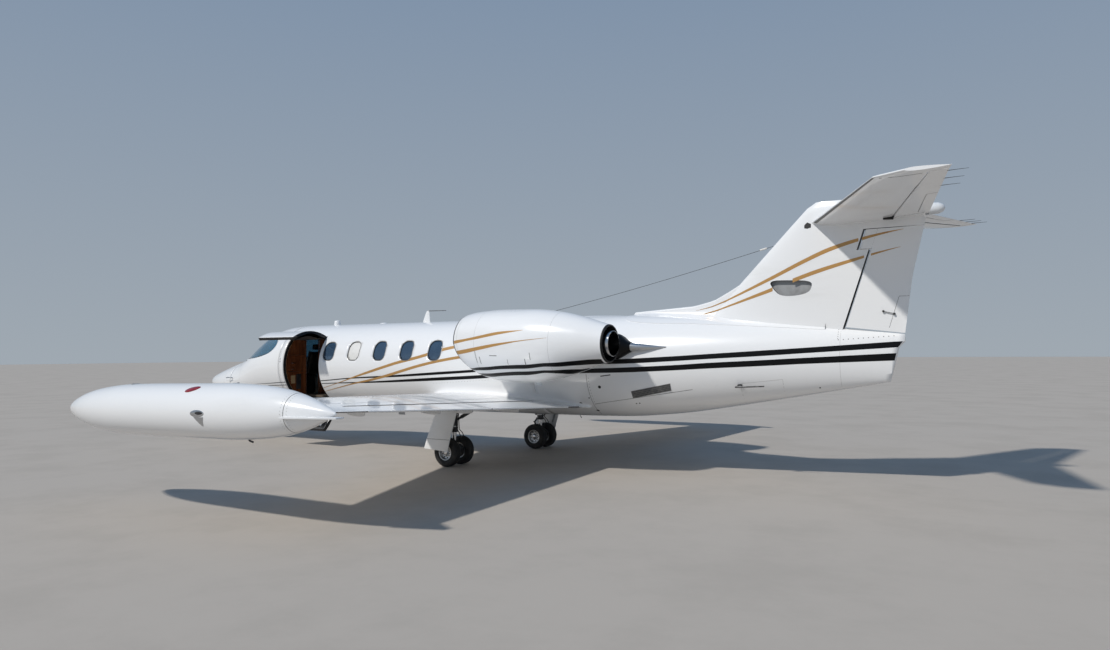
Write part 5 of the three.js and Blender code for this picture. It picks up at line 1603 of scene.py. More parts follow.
# A black ring just behind the lip is painted shade for the dark edge of the intake.
both("pod_lip_line", pod_ring(0.042, 0.02, proud=0.0012), BLACK)
both("pod_lip_seam", pod_ring(0.115, 0.003), FAINT)
seams = merged(pod_ring(0.47, 0.004, -100, 88), pod_ring(1.72, 0.003), pod_seam(88, 0.47, 1.72, 0.004),
    pod_seam(-100, 0.47, 1.72, 0.004))
both("pod_seams", seams, FAINT)
latches = merged(*(pod_ring(along, wide, low, high, 0.0016) for along, wide, low,
    high in ((0.48, 0.006, -34, -15), (0.55, 0.01, -35, -23), (1.05, 0.006, -33, -25),
    (1.347, 0.01, -34, -24), (1.435, 0.007, -26, -15), (0.81, 0.13, -20.5, -19.5), (1.3, 0.05, -97, -92))))
both("pod_latches", latches, SEAM, slot="bare_aluminium")
root = on_pod(1.3, -90)
mast = loft([[root + Vector((0.05 * cos(a) - down * 0.5, 0.008 * sin(a), 0.015 - down)) for a in circle(16)]
    for down in (0.0, 0.03, 0.055)])
both("pod_drain", mast, ALUMINIUM)
print("pod details:", len([p for p in PIECES if p.startswith("pod_")]))

# %% [markdown]
# ## Pylons
# A short thick wing joins pod and hull. Its ends flare into both, and behind the trailing edge a tapered
# fairing runs back along the hull: black near the nozzle, part exhaust soot and part painted shade from the
# pod, bare metal further aft.

# %% Pylons
def pylon_ring(y, flare):
    run = soft_parts(22)
    grow = 0.055 * (flare - 1)
    places = [(mix(8.62 - grow, 10.23 + grow, x), mix(1.905, 1.89, x), half_thickness(x) * 0.11 * flare)
        for x in run]
    top = [at(s, y, z + h) for s, z, h in places]
    under = [at(s, y, z - h) for s, z, h in places]
    return top + under[:0:-1][:-1] if under[0] == top[0] else top + under[::-1]


FAIRING = [
    # station, middle y, middle z, half width, half height
    (9.8, 0.8, 1.88, 0.15, 0.035),
    (9.95, 0.78, 1.85, 0.19, 0.09),
    (10.15, 0.75, 1.815, 0.185, 0.15),
    (10.34, 0.73, 1.825, 0.165, 0.185),
    (10.42, 0.71, 1.825, 0.145, 0.15),
    (10.48, 0.69, 1.812, 0.13, 0.102),
    (10.56, 0.67, 1.814, 0.112, 0.066),
    (10.72, 0.64, 1.809, 0.085, 0.048),
    (10.88, 0.61, 1.808, 0.052, 0.027),
    (11.04, 0.585, 1.812, 0.016, 0.005),
]
fairing = smooth(FAIRING)


def fairing_ring(station):
    y, z, wide, high = (float(v) for v in fairing(station))
    ring = []
    for a in circle(36):
        c, s = cos(a), sin(a)
        ring.append(at(station, y + copysign(abs(c) ** 0.85, c) * wide,
            z + copysign(abs(s) ** 0.85, s) * high))
    return ring


FLARES = ((0.52, 1.7), (0.64, 1.5), (0.7, 1.22), (0.76, 1.05), (0.82, 1.0), (0.87, 1.1), (0.92, 1.35),
    (1.0, 1.7))
both("pylon_skin", loft([pylon_ring(y, flare) for y, flare in FLARES]), PAINT, "pylon", sharp=60)
# The front of the fairing is black, part exhaust soot and part painted shade under the pod.
both("pylon_fairing_hot", loft([fairing_ring(s) for s in stations(9.8, 10.555, 0.04)]), BLACK,
    slot="engine_metal")
both("pylon_fairing_tail", loft([fairing_ring(s) for s in stations(10.557, 11.04, 0.04)]), ALUMINIUM)
print("pylon fairing ends at station", FAIRING[-1][0])

# %% [markdown]
# ## Fin
# The fin is a swept aerofoil standing on the tail cone, with a long thin dorsal strake ahead of it. Its rows
# give nose, tail and thickness at five heights. The rudder bay is cut out of it, together with the notch that
# its horn balance fills near the top.

# %% Fin geometry
FIN = [
    # height, nose, tail, thickness
    (1.88, 11.15, 14.08, 0.235),
    (2.69, 11.93, 14.19, 0.19),
    (3.43, 12.64, 14.365, 0.135),
    (3.68, 12.885, 13.95, 0.108),
    (3.76, 13.01, 13.48, 0.05),
]
RUDDER = {"foot": 2.0, "top": 3.33, "hinge_foot": 13.35, "hinge_top": 13.79, "foot_front": 2.054,
    "foot_back": 1.852, "gap": 0.024, "horn": 3.078, "horn_reach": 0.15}
DORSAL = [(10.24, 2.285), (10.3, 2.35), (11.25, 2.41), (11.55, 2.48), (11.8, 2.61), (11.95, 2.7),
    (12.05, 2.78)]
DORSAL_HALF = 0.032
STRAKE_SKIRT = [(10.24, 0.15), (10.31, 0.345), (10.6, 0.385), (11.3, 0.325), (12.1, 0.235), (12.67, 0.165),
    (13.15, 0.105)]
fin_table = np.array(FIN)


def fin_row(z):
    return [float(np.interp(z, fin_table[:, 0], fin_table[:, k])) for k in (1, 2, 3)]


def fin_half(station, z):
    nose, tail, thick = fin_row(z)
    x = (station - nose) / (tail - nose)
    return half_thickness(min(x, 1.0)) * thick if x > 0 else 0.0


def dorsal_top(station):
    table = np.array(DORSAL)
    return float(np.interp(station, table[:, 0], table[:, 1]))


def on_fin(station, z, proud=0.0, side=1):
    half = fin_half(station, z)
    if station < 12.0 and z < dorsal_top(station) - 0.004:
        half = max(half, DORSAL_HALF)
    return at(station, side * (half + proud), z)


def hinge_station(z):
    return mix(RUDDER["hinge_foot"], RUDDER["hinge_top"],
        (z - RUDDER["foot"]) / (RUDDER["top"] - RUDDER["foot"]))


def fin_ring(z):
    nose, tail, thick = fin_row(z)
    run = soft_parts(34)
    right = [at(mix(nose, tail, x), half_thickness(x) * thick, z) for x in run]
    left = [at(mix(nose, tail, x), -half_thickness(x) * thick, z) for x in run]
    return right + left[:0:-1]


heights = stations(1.88, 2.69, 0.16) + stations(2.69, 3.43, 0.15)[1:] + stations(3.43, 3.68, 0.08)[1:]
heights += [3.705, 3.725, 3.742, 3.752, 3.758]
print("fin rows:", len(heights))

# %% Fin skin and strake
INLET = softened([(12.37, 2.72), (12.66, 2.712), (12.95, 2.69), (12.955, 2.6), (12.9, 2.525), (12.72, 2.49),
    (12.53, 2.5), (12.43, 2.6)], rounds=2)
fin_skin = raw_object("fin_skin", loft([fin_ring(z) for z in heights]))
gap, low, top = RUDDER["gap"], 0.3, RUDDER["top"] + 0.008
rudder_bay = [(hinge_station(RUDDER["foot_front"] - low) - gap, RUDDER["foot_front"] - low),
    (15.0, RUDDER["foot_back"] - low), (15.0, top), (hinge_station(top) - gap, top)]
horn_bay = [(hinge_station(RUDDER["horn"] - 0.012) - gap - RUDDER["horn_reach"], RUDDER["horn"] - 0.012),
    (14.0, RUDDER["horn"] - 0.012), (14.0, top), (hinge_station(top) - gap - RUDDER["horn_reach"], top)]
carve(fin_skin, prism(rudder_bay, -0.4, 0.4))
carve(fin_skin, prism(horn_bay, -0.4, 0.4))
for side in (1, -1):
    carve(fin_skin, prism(INLET, side * 0.035, side * 0.3))
# Painted shade: the cut faces inside the fin, in the rudder and horn bays and the inlet walls, are painted
# black.
paint_shade_in_cuts(fin_skin, lambda p: fin_half(HALF - p.x, p.z) - abs(p.y))
dressed(fin_skin, PAINT, ["fin"], sharp=32)


def strake_ring(station):
    """A thin blade that flares out at its foot to a skirt on the round back of the hull."""
    top, half = dorsal_top(station), DORSAL_HALF
    skirt = float(smooth(STRAKE_SKIRT)(station)[0])
    foot = hull_top(station, skirt, 0.006)
    base = min(top - 0.03, hull_top(station, 0) + 0.045)
    right = [(half * cos(a), top - half * 0.9 * (1 - sin(a))) for a in (pi / 2 * k / 6
        for k in range(6, -1, -1))]
    for t in parts(8):
        y = (1 - t) ** 2 * half + 2 * t * (1 - t) * (half + 0.02) + t * t * skirt
        z = (1 - t) ** 2 * base + 2 * t * (1 - t) * (hull_top(station, half) + 0.012) + t * t * foot
        right.append((y, max(z, hull_top(station, y, 0.005))))
    right.append((skirt - 0.01, foot - 0.03))
    return [at(station, y, z) for y, z in right] + [at(station, -y, z) for y, z in right[:0:-1]]


strake = [strake_ring(s) for s in [10.24, 10.255, 10.27, 10.3, 10.33] + stations(10.4, 13.12, 0.09)]
piece("fin_strake", loft(strake), PAINT, sharp=50)
# A thin black plate across the rudder's hinge gap is painted shade that keeps the slot dark from every side.
gap_shade_outline = [(hinge_station(z) - gap - 0.004, z) for z in (RUDDER["foot"] + 0.07, RUDDER["horn"] - 0.02)]
gap_shade_outline += [(hinge_station(z) - 0.0155, z) for z in (RUDDER["horn"] - 0.02, RUDDER["foot"] + 0.07)]
piece("rudder_gap_shade_plate", prism(gap_shade_outline, -0.003, 0.003), GASKET)
for name, _, side in SIDES:
    plate = prism(shrunk(INLET, 0.002), side * 0.034, side * 0.04)
    piece("fin_inlet_floor_" + name, plate, GREY_PAINT, slot="panel_plastic")
print("fin:", len(fin_skin.data.polygons), "faces")

# %% [markdown]
# ## Rudder
# The rudder follows the fin's section behind its hinge. Its foot is a straight line just above the tail cone,
# and its top carries the horn that reaches forward of the hinge to balance it.

# %% Rudder
def foot_level(station):
    front = hinge_station(RUDDER["foot_front"])
    return mix(RUDDER["foot_front"], RUDDER["foot_back"], (station - front) / (15.0 - front))


def rudder_point(share, height_share, side):
    """share 0 is the hinge, 1 the trailing edge."""
    z = mix(RUDDER["foot_front"], RUDDER["top"], height_share)
    for _ in range(4):
        station = mix(hinge_station(z), fin_row(z)[1], share)
        z = mix(foot_level(station), RUDDER["top"], height_share)
    return at(station, side * fin_half(station, z), z)


def nose_setback(z):
    """How far behind the hinge the sides start, so that the round nose turns 30 degrees inside the gap."""
    half, turn = fin_half(hinge_station(z), z), radians(30)
    reach = hypot(RUDDER_NOSE * cos(turn), half * sin(turn))
    return max(0.006, (reach - RUDDER["gap"] + 0.0035) / cos(turn))


RUDDER_NOSE = 0.01
rudder_rings = []
for h in parts(12):
    z = mix(RUDDER["foot_front"], RUDDER["top"], h)
    first = nose_setback(z) / (fin_row(z)[1] - hinge_station(z))
    run = [first + (1 - first) * k / 12 for k in range(13)]
    right, left = ([rudder_point(x, h, side) for x in run] for side in (1, -1))
    middle, half = (right[0] + left[0]) / 2, (right[0] - left[0]).length / 2
    nose = [middle + Vector((cos(a) * RUDDER_NOSE, sin(a) * half, 0))
        for a in (pi / 2 - pi * k / 8 for k in range(1, 8))]
    rudder_rings.append(left[::-1] + nose[::-1] + right)
rudder_skin = raw_object("rudder_skin", loft(rudder_rings))
# The rudder's nose, inside the hinge gap, is painted black as shade.
paint_shade_in_cuts(rudder_skin, lambda p: 1 if HALF - p.x < hinge_station(p.z) + 0.006 else 0)
dressed(rudder_skin, PAINT, ["rudder"], body="rudder", sharp=40)
horn = []
for h in parts(4):
    z = mix(RUDDER["horn"], RUDDER["top"], h)
    front = hinge_station(z) - RUDDER["horn_reach"]
    run = [mix(front + 0.02, hinge_station(z) + 0.03, t) for t in parts(8)]
    ring = [at(s, fin_half(s, z) - 0.001, z) for s in run]
    nose = [at(front + 0.02 - 0.02 * cos(a), (fin_half(front + 0.02, z) - 0.001) * sin(a), z)
        for a in (-pi / 2 + pi * k / 8 for k in range(1, 8))]
    horn.append([at(HALF - p.x, -p.y, z) for p in reversed(ring)] + nose + ring)
piece("rudder_horn", loft(horn), PAINT, body="rudder", sharp=40)
tab_shapes = []
for side in (1, -1):
    surface = lambda s, z, out: at(s, side * (fin_half(s, z) + out), z)
    for (s0, z0), (s1, z1) in (((14.03, 2.44), (13.905, 2.035)), ((14.03, 2.44), (14.15, 2.44))):
        wide = (0, 0.0025) if z0 == z1 else (0.0025, 0)
        lows, highs = ([(mix(s0, s1, t) + way * wide[0], mix(z0, z1, t) + way * wide[1]) for t in parts(8)]
            for way in (-1, 1))
        tab_shapes.append(strip(lows, highs, surface, proud=0.0008))
piece("rudder_tab_lines", merged(*tab_shapes), SEAM, body="rudder")
rod = [at(13.84, fin_half(13.84, 2.25) + 0.012, 2.25), at(13.97, fin_half(13.97, 2.215) + 0.016, 2.215)]
piece("rudder_tab_rod", sweep(rod, 0.006, sides=8), STEEL, body="rudder")
knobs = merged(*(lathe([(-0.012, 0.014), (0.012, 0.014), (0.016, 0.008)], p, (0, 1, 0), 12) for p in rod))
piece("rudder_tab_rod_ends", knobs, GASKET, body="rudder", slot="bare_aluminium")
print("rudder height:", round(RUDDER["top"] - RUDDER["foot"], 2), "m")

# %% [markdown]
# ## Gold on the fin
# The two gold stripes come up again on the fin, cross the rudder and taper out before its trailing edge. The
# stretch on the rudder is its own strip, so it turns with it.

# %% Fin stripes
FIN_UPPER = [(11.28, 2.34, 2.342), (11.48, 2.374, 2.386), (11.66, 2.43, 2.448), (12.05, 2.578, 2.614),
    (12.49, 2.764, 2.816), (12.85, 2.93, 2.986), (13.2, 3.074, 3.13), (13.6, 3.192, 3.232),
    (13.95, 3.272, 3.29), (14.1, 3.3, 3.304)]
FIN_LOWER = [(11.06, 2.237, 2.239), (11.34, 2.268, 2.28), (11.57, 2.318, 2.336), (11.87, 2.402, 2.43),
    (12.2, 2.5, 2.544), (12.4, 2.562, 2.614), (12.75, 2.694, 2.748), (13.05, 2.792, 2.846),
    (13.5, 2.922, 2.962), (13.9, 3.034, 3.05), (14.06, 3.074, 3.078)]
FIN_STRIPES = (("upper", FIN_UPPER, ((0, 13.555),), 13.6), ("lower", FIN_LOWER, ((0, 12.425), (12.7, 13.62)),
    13.705))
for label, table, spans, rudder_start in FIN_STRIPES:
    for name, _, side in SIDES:
        surface = lambda s, z, out: on_fin(s, z, out, side)
        ahead = merged(*(stripe_strip(table, front, back, side, 0.0014, surface) for front, back in spans))
        piece(f"fin_stripe_{label}_{name}", ahead, GOLD)
        piece(f"rudder_stripe_{label}_{name}", stripe_strip(table, rudder_start, 15, side, 0.0014, surface),
            GOLD, body="rudder")
print("fin stripes:", [p for p in PIECES if "fin_stripe" in p])

# %% [markdown]
# ## Tailplane
# The tailplane sits high on the fin, swept with a little dihedral, and a slender bullet covers the joint. The
# raked tip turns outward at a kink. Elevators fill most of the trailing edge on both sides.

# %% Tailplane and bullet
TAIL_ROWS = [
    # y, nose, tail, height, thickness
    (0.0, 12.93, 14.39, 3.475, 0.118),
    (2.07, 14.055, 14.79, 3.591, 0.05),
    (2.235, 14.4, 14.83, 3.6, 0.04),
]
ELEVATOR = {"from": 0.125, "to": 2.09, "root": 13.945, "tip": 14.61}
tail_table = np.array(TAIL_ROWS)


def tail_row(y):
    return [float(np.interp(y, tail_table[:, 0], tail_table[:, k])) for k in (1, 2, 3, 4)]


def tail_at(y, x, surface=0.0, lift=0.0):
    nose, tail, level, thick = tail_row(y)
    return at(mix(nose, tail, x), y, level + surface * (half_thickness(x) * thick + lift))


def elevator_hinge(y):
    return mix(ELEVATOR["root"], ELEVATOR["tip"], y / ELEVATOR["to"])


def hinge_share(y):
    nose, tail, _, _ = tail_row(y)
    return (elevator_hinge(y) - nose) / (tail - nose)


def tailplane_ring(y):
    run = soft_parts(26)
    top = [tail_at(abs(y), x, 1) for x in run]
    under = [tail_at(abs(y), x, -1) for x in run]
    ring = top + under[:0:-1]
    return ring if y >= 0 else [Vector((p.x, -p.y, p.z)) for p in ring]


outs = [0.0, 0.3, 0.7, 1.1, 1.5, 1.85, 2.07, 2.1, 2.14, 2.18, 2.21, 2.228]
rings = [tailplane_ring(-y) for y in reversed(outs[1:])] + [tailplane_ring(y) for y in outs]
tailplane = raw_object("tailplane_skin", loft(rings))
front, reach = 0.016, 0.008
for side in (1, -1):
    plan = [(elevator_hinge(ELEVATOR["from"] - reach) - front, side * (ELEVATOR["from"] - reach)),
        (elevator_hinge(ELEVATOR["to"] + reach) - front, side * (ELEVATOR["to"] + reach)),
        (15.0, side * (ELEVATOR["to"] + reach)), (15.0, side * (ELEVATOR["from"] - reach))]
    carve(tailplane, prism(plan, 3.2, 3.9, "z"))


def tail_depth(p):
    y = abs(p.y)
    nose, tail, level, thick = tail_row(y)
    x = min(max((HALF - p.x - nose) / (tail - nose), 0.0), 1.0)
    return half_thickness(x) * thick - abs(p.z - level) if y < 2.2 else 0.0


# Painted shade: the cut faces inside the elevator bays are painted black.
paint_shade_in_cuts(tailplane, tail_depth)
dressed(tailplane, PAINT, ["tailplane"], sharp=32)
BULLET = [(0.0, 0.0005), (0.012, 0.018), (0.06, 0.04), (0.25, 0.078), (0.7, 0.088), (1.25, 0.078),
    (1.46, 0.06)]
piece("bullet_skin", lathe(BULLET, at(12.93, 0, 3.535), (-1, 0, 0), 56), PAINT)
TAIL_LAMP = [(1.455, 0.05), (1.462, 0.07), (1.52, 0.076), (1.58, 0.072), (1.63, 0.05), (1.652, 0.018),
    (1.655, 0.0005)]
piece("tail_lamp", lathe(TAIL_LAMP, at(12.93, 0, 3.535), (-1, 0, 0), 40), WHITE_LENS)
piece("tail_lamp_collar", lathe([(1.43, 0.06), (1.43, 0.077), (1.468, 0.077), (1.468, 0.06)],
    at(12.93, 0, 3.535), (-1, 0, 0), 40), STEEL)
print("tailplane span:", 2 * TAIL_ROWS[-1][0], "m")

# %% Elevators
def elevator_ring(y):
    start = hinge_share(y)
    run = [mix(start + 0.02, 1.0, t) for t in parts(10)]
    top = [tail_at(y, x, 1) for x in run]
    under = [tail_at(y, x, -1) for x in run]
    middle, half = (top[0] + under[0]) / 2, (top[0] - under[0]).length / 2
    reach = (tail_at(y, start + 0.02) - tail_at(y, start)).length
    nose = [middle + Vector((sin(a) * reach, 0, cos(a) * half)) for a in (pi * k / 7 for k in range(1, 7))]
    return top + under[::-1] + nose[::-1]


rows = stations(ELEVATOR["from"], 2.07, 0.24) + [ELEVATOR["to"]]
both("elevator_skin", loft([elevator_ring(y) for y in rows]), PAINT, "elevator", body="elevator", sharp=40)
tab_lines = []
for surface in (1, -1):
    skin = lambda y, x, out: tail_at(y, x, surface, out)
    lows = [(mix(0.2, 1.1, t), mix(0.9, 0.885, t)) for t in parts(6)]
    tab_lines.append(strip(lows, [(y, x + 0.006) for y, x in lows], skin, proud=0.0008, depth=0.002))
    tab_lines.append(strip([(1.1, 0.888), (1.1, 0.995)], [(1.104, 0.888), (1.104, 0.995)], skin, proud=0.0008,
        depth=0.001))
both("elevator_tab", merged(*tab_lines), SEAM, body="elevator")
wicks = []
for y in (1.4, 1.7, 2.0):
    start = tail_at(y, 0.985)
    wicks.append(sweep([start, start + Vector((-0.06, 0, 0.002)), start + Vector((-0.2, 0, 0.004))],
        lambda t: mix(0.0045, 0.002, t), sides=6))
both("elevator_wicks", merged(*wicks), GASKET, body="elevator")
underside = lambda y, x, out: tail_at(y, x, -1, out)
# The gap round the elevator's horn is a black line on the underside, painted shade.
lows, highs = ([(y, x) for x in (0.02, 0.1, 0.25, 0.4, 0.55, 0.66)] for y in (2.066, 2.076))
both("tailplane_horn_slot", strip(lows, highs, underside, proud=0.0008), GASKET, slot="white_paint")
bracket = prism([(13.88, 3.42), (14.0, 3.412), (14.01, 3.455), (13.88, 3.465)], 0.155, 0.18)
both("tailplane_bracket", bracket, GASKET, slot="engine_metal")
lows, highs = ([(y, x) for y in stations(0.12, 2.06, 0.2)] for x in (0.004, 0.03))
both("tailplane_edge", strip(lows, highs, underside, across=3, proud=0.001), SEAM)
# The slot where the tailplane pivots is a black patch on the fin, painted shade for the opening.
slot_shapes = []
for side in (1, -1):
    surface = lambda s, z, out: on_fin(s, z, out, side)
    slot_shapes.append(strip([(12.86, 3.412), (12.9, 3.402), (12.95, 3.415)],
        [(12.86, 3.455), (12.9, 3.49), (12.95, 3.465)], surface, across=2, proud=0.0012))
piece("fin_pivot_slot_shade", merged(*slot_shapes), GASKET)
print("elevators run from", ELEVATOR["from"], "to", ELEVATOR["to"], "m out")

# %% [markdown]
# ## Main gear legs
# Each main leg is an oil-filled strut: a fat upper cylinder, a polished piston, scissor links that keep the
# axle straight and a brace to the hull. Hoses run down it to the brakes. These parts turn with nothing, so
# all of them ride on the airframe.

# %% Main legs
GEAR = {"station": 7.75, "y": 1.255, "twin": 0.168, "radius": 0.222, "width": 0.146, "rim": 0.112}


def rod(start, end, radius, sides=20):
    return sweep([start, end], radius, sides)


def upright(station, y, rows, sides=36):
    """A turned shape standing on end: rows of (height, radius)."""
    return lathe([(z - rows[0][0], r) for z, r in rows], at(station, y, rows[0][0]), (0, 0, 1), sides)


STRUT = [(0.515, 0.04), (0.518, 0.064), (0.545, 0.066), (0.55, 0.058), (0.7, 0.056), (0.705, 0.064),
    (0.735, 0.064), (0.74, 0.057), (0.92, 0.06), (1.0, 0.06)]
leg_at = lambda s, y, z: at(GEAR["station"] + s, GEAR["y"] + y, z)
both("gear_strut", upright(GEAR["station"], GEAR["y"], STRUT), GEAR_METAL, "main_leg")
both("gear_piston", upright(GEAR["station"], GEAR["y"], [(0.24, 0.036), (0.53, 0.036)]), STEEL)
collar = lathe([(0, 0.034), (0.004, 0.05), (0.112, 0.05), (0.116, 0.034)], leg_at(0, -0.058, GEAR["radius"]),
    (0, 1, 0), 36)
both("gear_axle_block", merged(collar, upright(GEAR["station"], GEAR["y"],
    [(0.19, 0.04), (0.2, 0.05), (0.275, 0.05), (0.3, 0.038)])), GEAR_METAL)
knee, anchor = leg_at(0, -0.03, 0.69), at(7.77, 0.575, 0.895)
both("gear_brace", merged(rod(knee, anchor, 0.019), rod(mix(knee, anchor, 0.22), mix(knee, anchor, 0.62),
    0.028)), GEAR_METAL)
links = []
for low, high, narrow in (((-0.058, 0.54), (-0.125, 0.468), True), ((-0.125, 0.472), (-0.052, 0.262), False)):
    for y0, y1 in ((-0.03, -0.01), (0.03, 0.01)):
        y0, y1 = (y0, y1) if narrow else (y1, y0)
        links.append(rod(leg_at(low[0], y0, low[1]), leg_at(high[0], y1, high[1]), 0.0085, 10))
for s, y, z, radius in ((-0.125, 0.022, 0.47, 0.012), (-0.056, 0.04, 0.541, 0.011),
        (-0.05, 0.04, 0.262, 0.011)):
    links.append(rod(leg_at(s, -y, z), leg_at(s, y, z), radius, 16))
both("gear_scissor_links", merged(*links), GEAR_METAL)
HOSE = [
    # aft of the leg, how far out for each unit of spread, height
    (0.055, 1, 0.93), (0.066, 1, 0.72), (0.075, 1, 0.56), (0.125, 1.3, 0.515), (0.15, 1.5, 0.47),
    (0.12, 1.5, 0.425), (0.07, 1.4, 0.395), (0.046, 1.4, 0.33), (0.045, 1.7, 0.27),
]
hoses = [sweep([leg_at(s, y * spread, z) for s, spread, z in HOSE], 0.007, 10) for y in (-0.028, 0.028)]
both("gear_brake_hoses", merged(*hoses), GASKET, slot="tyre_rubber")
CLAMP = [(0, 0.058), (0, 0.0605), (0.014, 0.0605), (0.014, 0.058)]
clamps = [upright(GEAR["station"], GEAR["y"], [(z + up, r) for up, r in CLAMP]) for z in (0.6, 0.78, 0.88)]
both("gear_clamps", merged(*clamps), ALUMINIUM)
lamp_at, forward = leg_at(-0.088, 0, 0.64), (1, 0, -0.05)
lamp = lathe([(-0.04, 0.0005), (-0.038, 0.03), (-0.01, 0.046), (0.0, 0.05), (0.006, 0.05)], lamp_at, forward,
    32)
both("gear_lamp_shell", lamp, GEAR_METAL)
lens = lathe([(0.004, 0.047), (0.01, 0.04), (0.013, 0.02), (0.014, 0.0005)], lamp_at, forward, 32)
both("gear_lamp_lens", lens, WHITE_LENS)
both("gear_lamp_arm", rod(lamp_at + Vector((-0.03, 0, -0.01)), leg_at(-0.03, 0, 0.63), 0.012), GEAR_METAL)
print("gear leg pieces a side:", len([p for p in PIECES if p.startswith("gear_") and p.endswith("_left")]))

# %% [markdown]
# ## Leg doors
# The door that closes the strut's bay stays on the leg. It is a pressed panel: a skin with a folded rim, two
# stiffeners inside, a joint a third of the way up and a lower part that flares forward round the wheel.

# %% Leg doors
LEG_DOOR = [(7.652, 0.955), (8.048, 0.955), (7.905, 0.42), (7.86, 0.247), (7.402, 0.276), (7.452, 0.418)]


def wing_underside(station, y):
    """The height of the wing's lower skin at a station."""
    nose, tail = wing_at(y, 0), wing_at(y, 1)
    x = min(max((nose.x - (HALF - station)) / (nose.x - tail.x), 0.01), 0.99)
    return wing_at(y, x, -1).z


outline = [(s, min(z, wing_underside(s, 1.56) - 0.006)) for s, z in LEG_DOOR]
both("gear_door", prism(outline, 1.553, 1.566), PAINT, "main_leg_door", bevel=0.003)
seam = prism([(7.458, 0.425), (7.895, 0.425), (7.895, 0.431), (7.458, 0.431)], 1.5668, 1.56)
both("gear_door_seam", seam, SEAM)
ribs = merged(prism([(7.52, 0.44), (7.55, 0.44), (7.7, 0.8), (7.67, 0.8)], 1.532, 1.554),
    prism([(7.82, 0.44), (7.85, 0.44), (7.97, 0.8), (7.94, 0.8)], 1.532, 1.554),
    prism([(7.45, 0.3), (7.83, 0.28), (7.83, 0.3), (7.45, 0.32)], 1.536, 1.554))
both("gear_door_ribs", ribs, GREY_PAINT)
arms = merged(rod(at(7.79, 1.31, 0.8), at(7.8, 1.545, 0.8), 0.013),
    rod(at(7.76, 1.29, 0.56), at(7.7, 1.545, 0.6), 0.01))
both("gear_door_arms", arms, GEAR_METAL)
print("leg doors reach down to", min(z for _, z in LEG_DOOR), "m")

# %% [markdown]
# ## Wheels
# A tyre's profile matters more than its tread: round shoulders, a flat crown and a bead tucked into the rim.
# Each is one turned ring with three grooves. Rims carry holes, bolts and a hub cap, and turn with their axle.

# %% Tyre and rim shapes
def tyre_profile(radius, width, rim, grooves=(-0.28, 0.0, 0.28)):
    half, tall = width / 2, radius - rim
    rows = [(-0.66, 0.0), (-0.74, 0.05), (-0.84, 0.16), (-0.95, 0.32), (-1.0, 0.5), (-0.985, 0.66),
        (-0.92, 0.8), (-0.8, 0.905), (-0.62, 0.97), (-0.45, 0.992)]
    profile = [(a * half, rim + b * tall) for a, b in rows]
    for g in grooves:
        profile += [((g - 0.055) * half, radius - 0.0008), ((g - 0.035) * half, radius - 0.007),
            ((g + 0.035) * half, radius - 0.007), ((g + 0.055) * half, radius - 0.0008)]
    profile += [(-a * half, rim + b * tall) for a, b in reversed(rows)]
    return profile


def rim_shape(radius, width):
    """The wheel half, its face towards plus."""
    half = width / 2
    return [(-half * 0.9, 0.036), (-half * 0.9, radius * 0.93), (-half * 0.98, radius * 1.06),
        (-half * 0.92, radius * 1.07), (-half * 0.8, radius * 0.985), (half * 0.8, radius * 0.985),
        (half * 0.93, radius * 1.07), (half * 1.0, radius * 1.06), (half * 0.97, radius * 0.97),
        (half * 0.72, radius * 0.9), (half * 0.36, radius * 0.84), (half * 0.26, radius * 0.62),
        (half * 0.3, radius * 0.45), (half * 0.62, radius * 0.36), (half * 0.66, 0.036)]


def wheel_set(name, body, centre, outward, radius, width, rim, wheel_solid, tyre_solid):
    """A tyre, its rim, bolts and cap. outward is the side that the face looks to."""
    direction = (0, outward, 0)
    piece("tyre_" + name, lathe(tyre_profile(radius, width, rim), centre, direction, 80, joined=True), TYRE,
        [tyre_solid], body=body, sharp=30)
    piece("rim_" + name, lathe(rim_shape(rim, width * 0.86), centre, direction, 64, joined=True), ALUMINIUM,
        wheel_solid, body=body)
    cap = [(width * 0.26, 0.034), (width * 0.33, 0.034), (width * 0.36, 0.03), (width * 0.385, 0.012),
        (width * 0.385, 0.0005)]
    piece("rim_cap_" + name, lathe(cap, centre, direction, 32), STEEL, body=body)
    bolts, holes = [], []
    for a in circle(9):
        spot = centre + Vector((cos(a) * rim * 0.53, 0, sin(a) * rim * 0.53))
        bolts.append(lathe([(width * 0.09, 0.007), (width * 0.165, 0.007), (width * 0.175, 0.005)], spot,
            direction, 8))
        # The rim holes are black plugs, painted shade for the openings.
        spot = centre + Vector((cos(a + 0.35) * rim * 0.73, 0, sin(a + 0.35) * rim * 0.73))
        holes.append(lathe([(width * 0.08, 0.011), (width * 0.152, 0.011)], spot, direction, 14))
    piece("rim_bolts_" + name, merged(*bolts), GEAR_METAL, body=body, slot="bare_aluminium")
    piece("rim_hole_shades_" + name, merged(*holes), GASKET, body=body, slot="bare_aluminium")


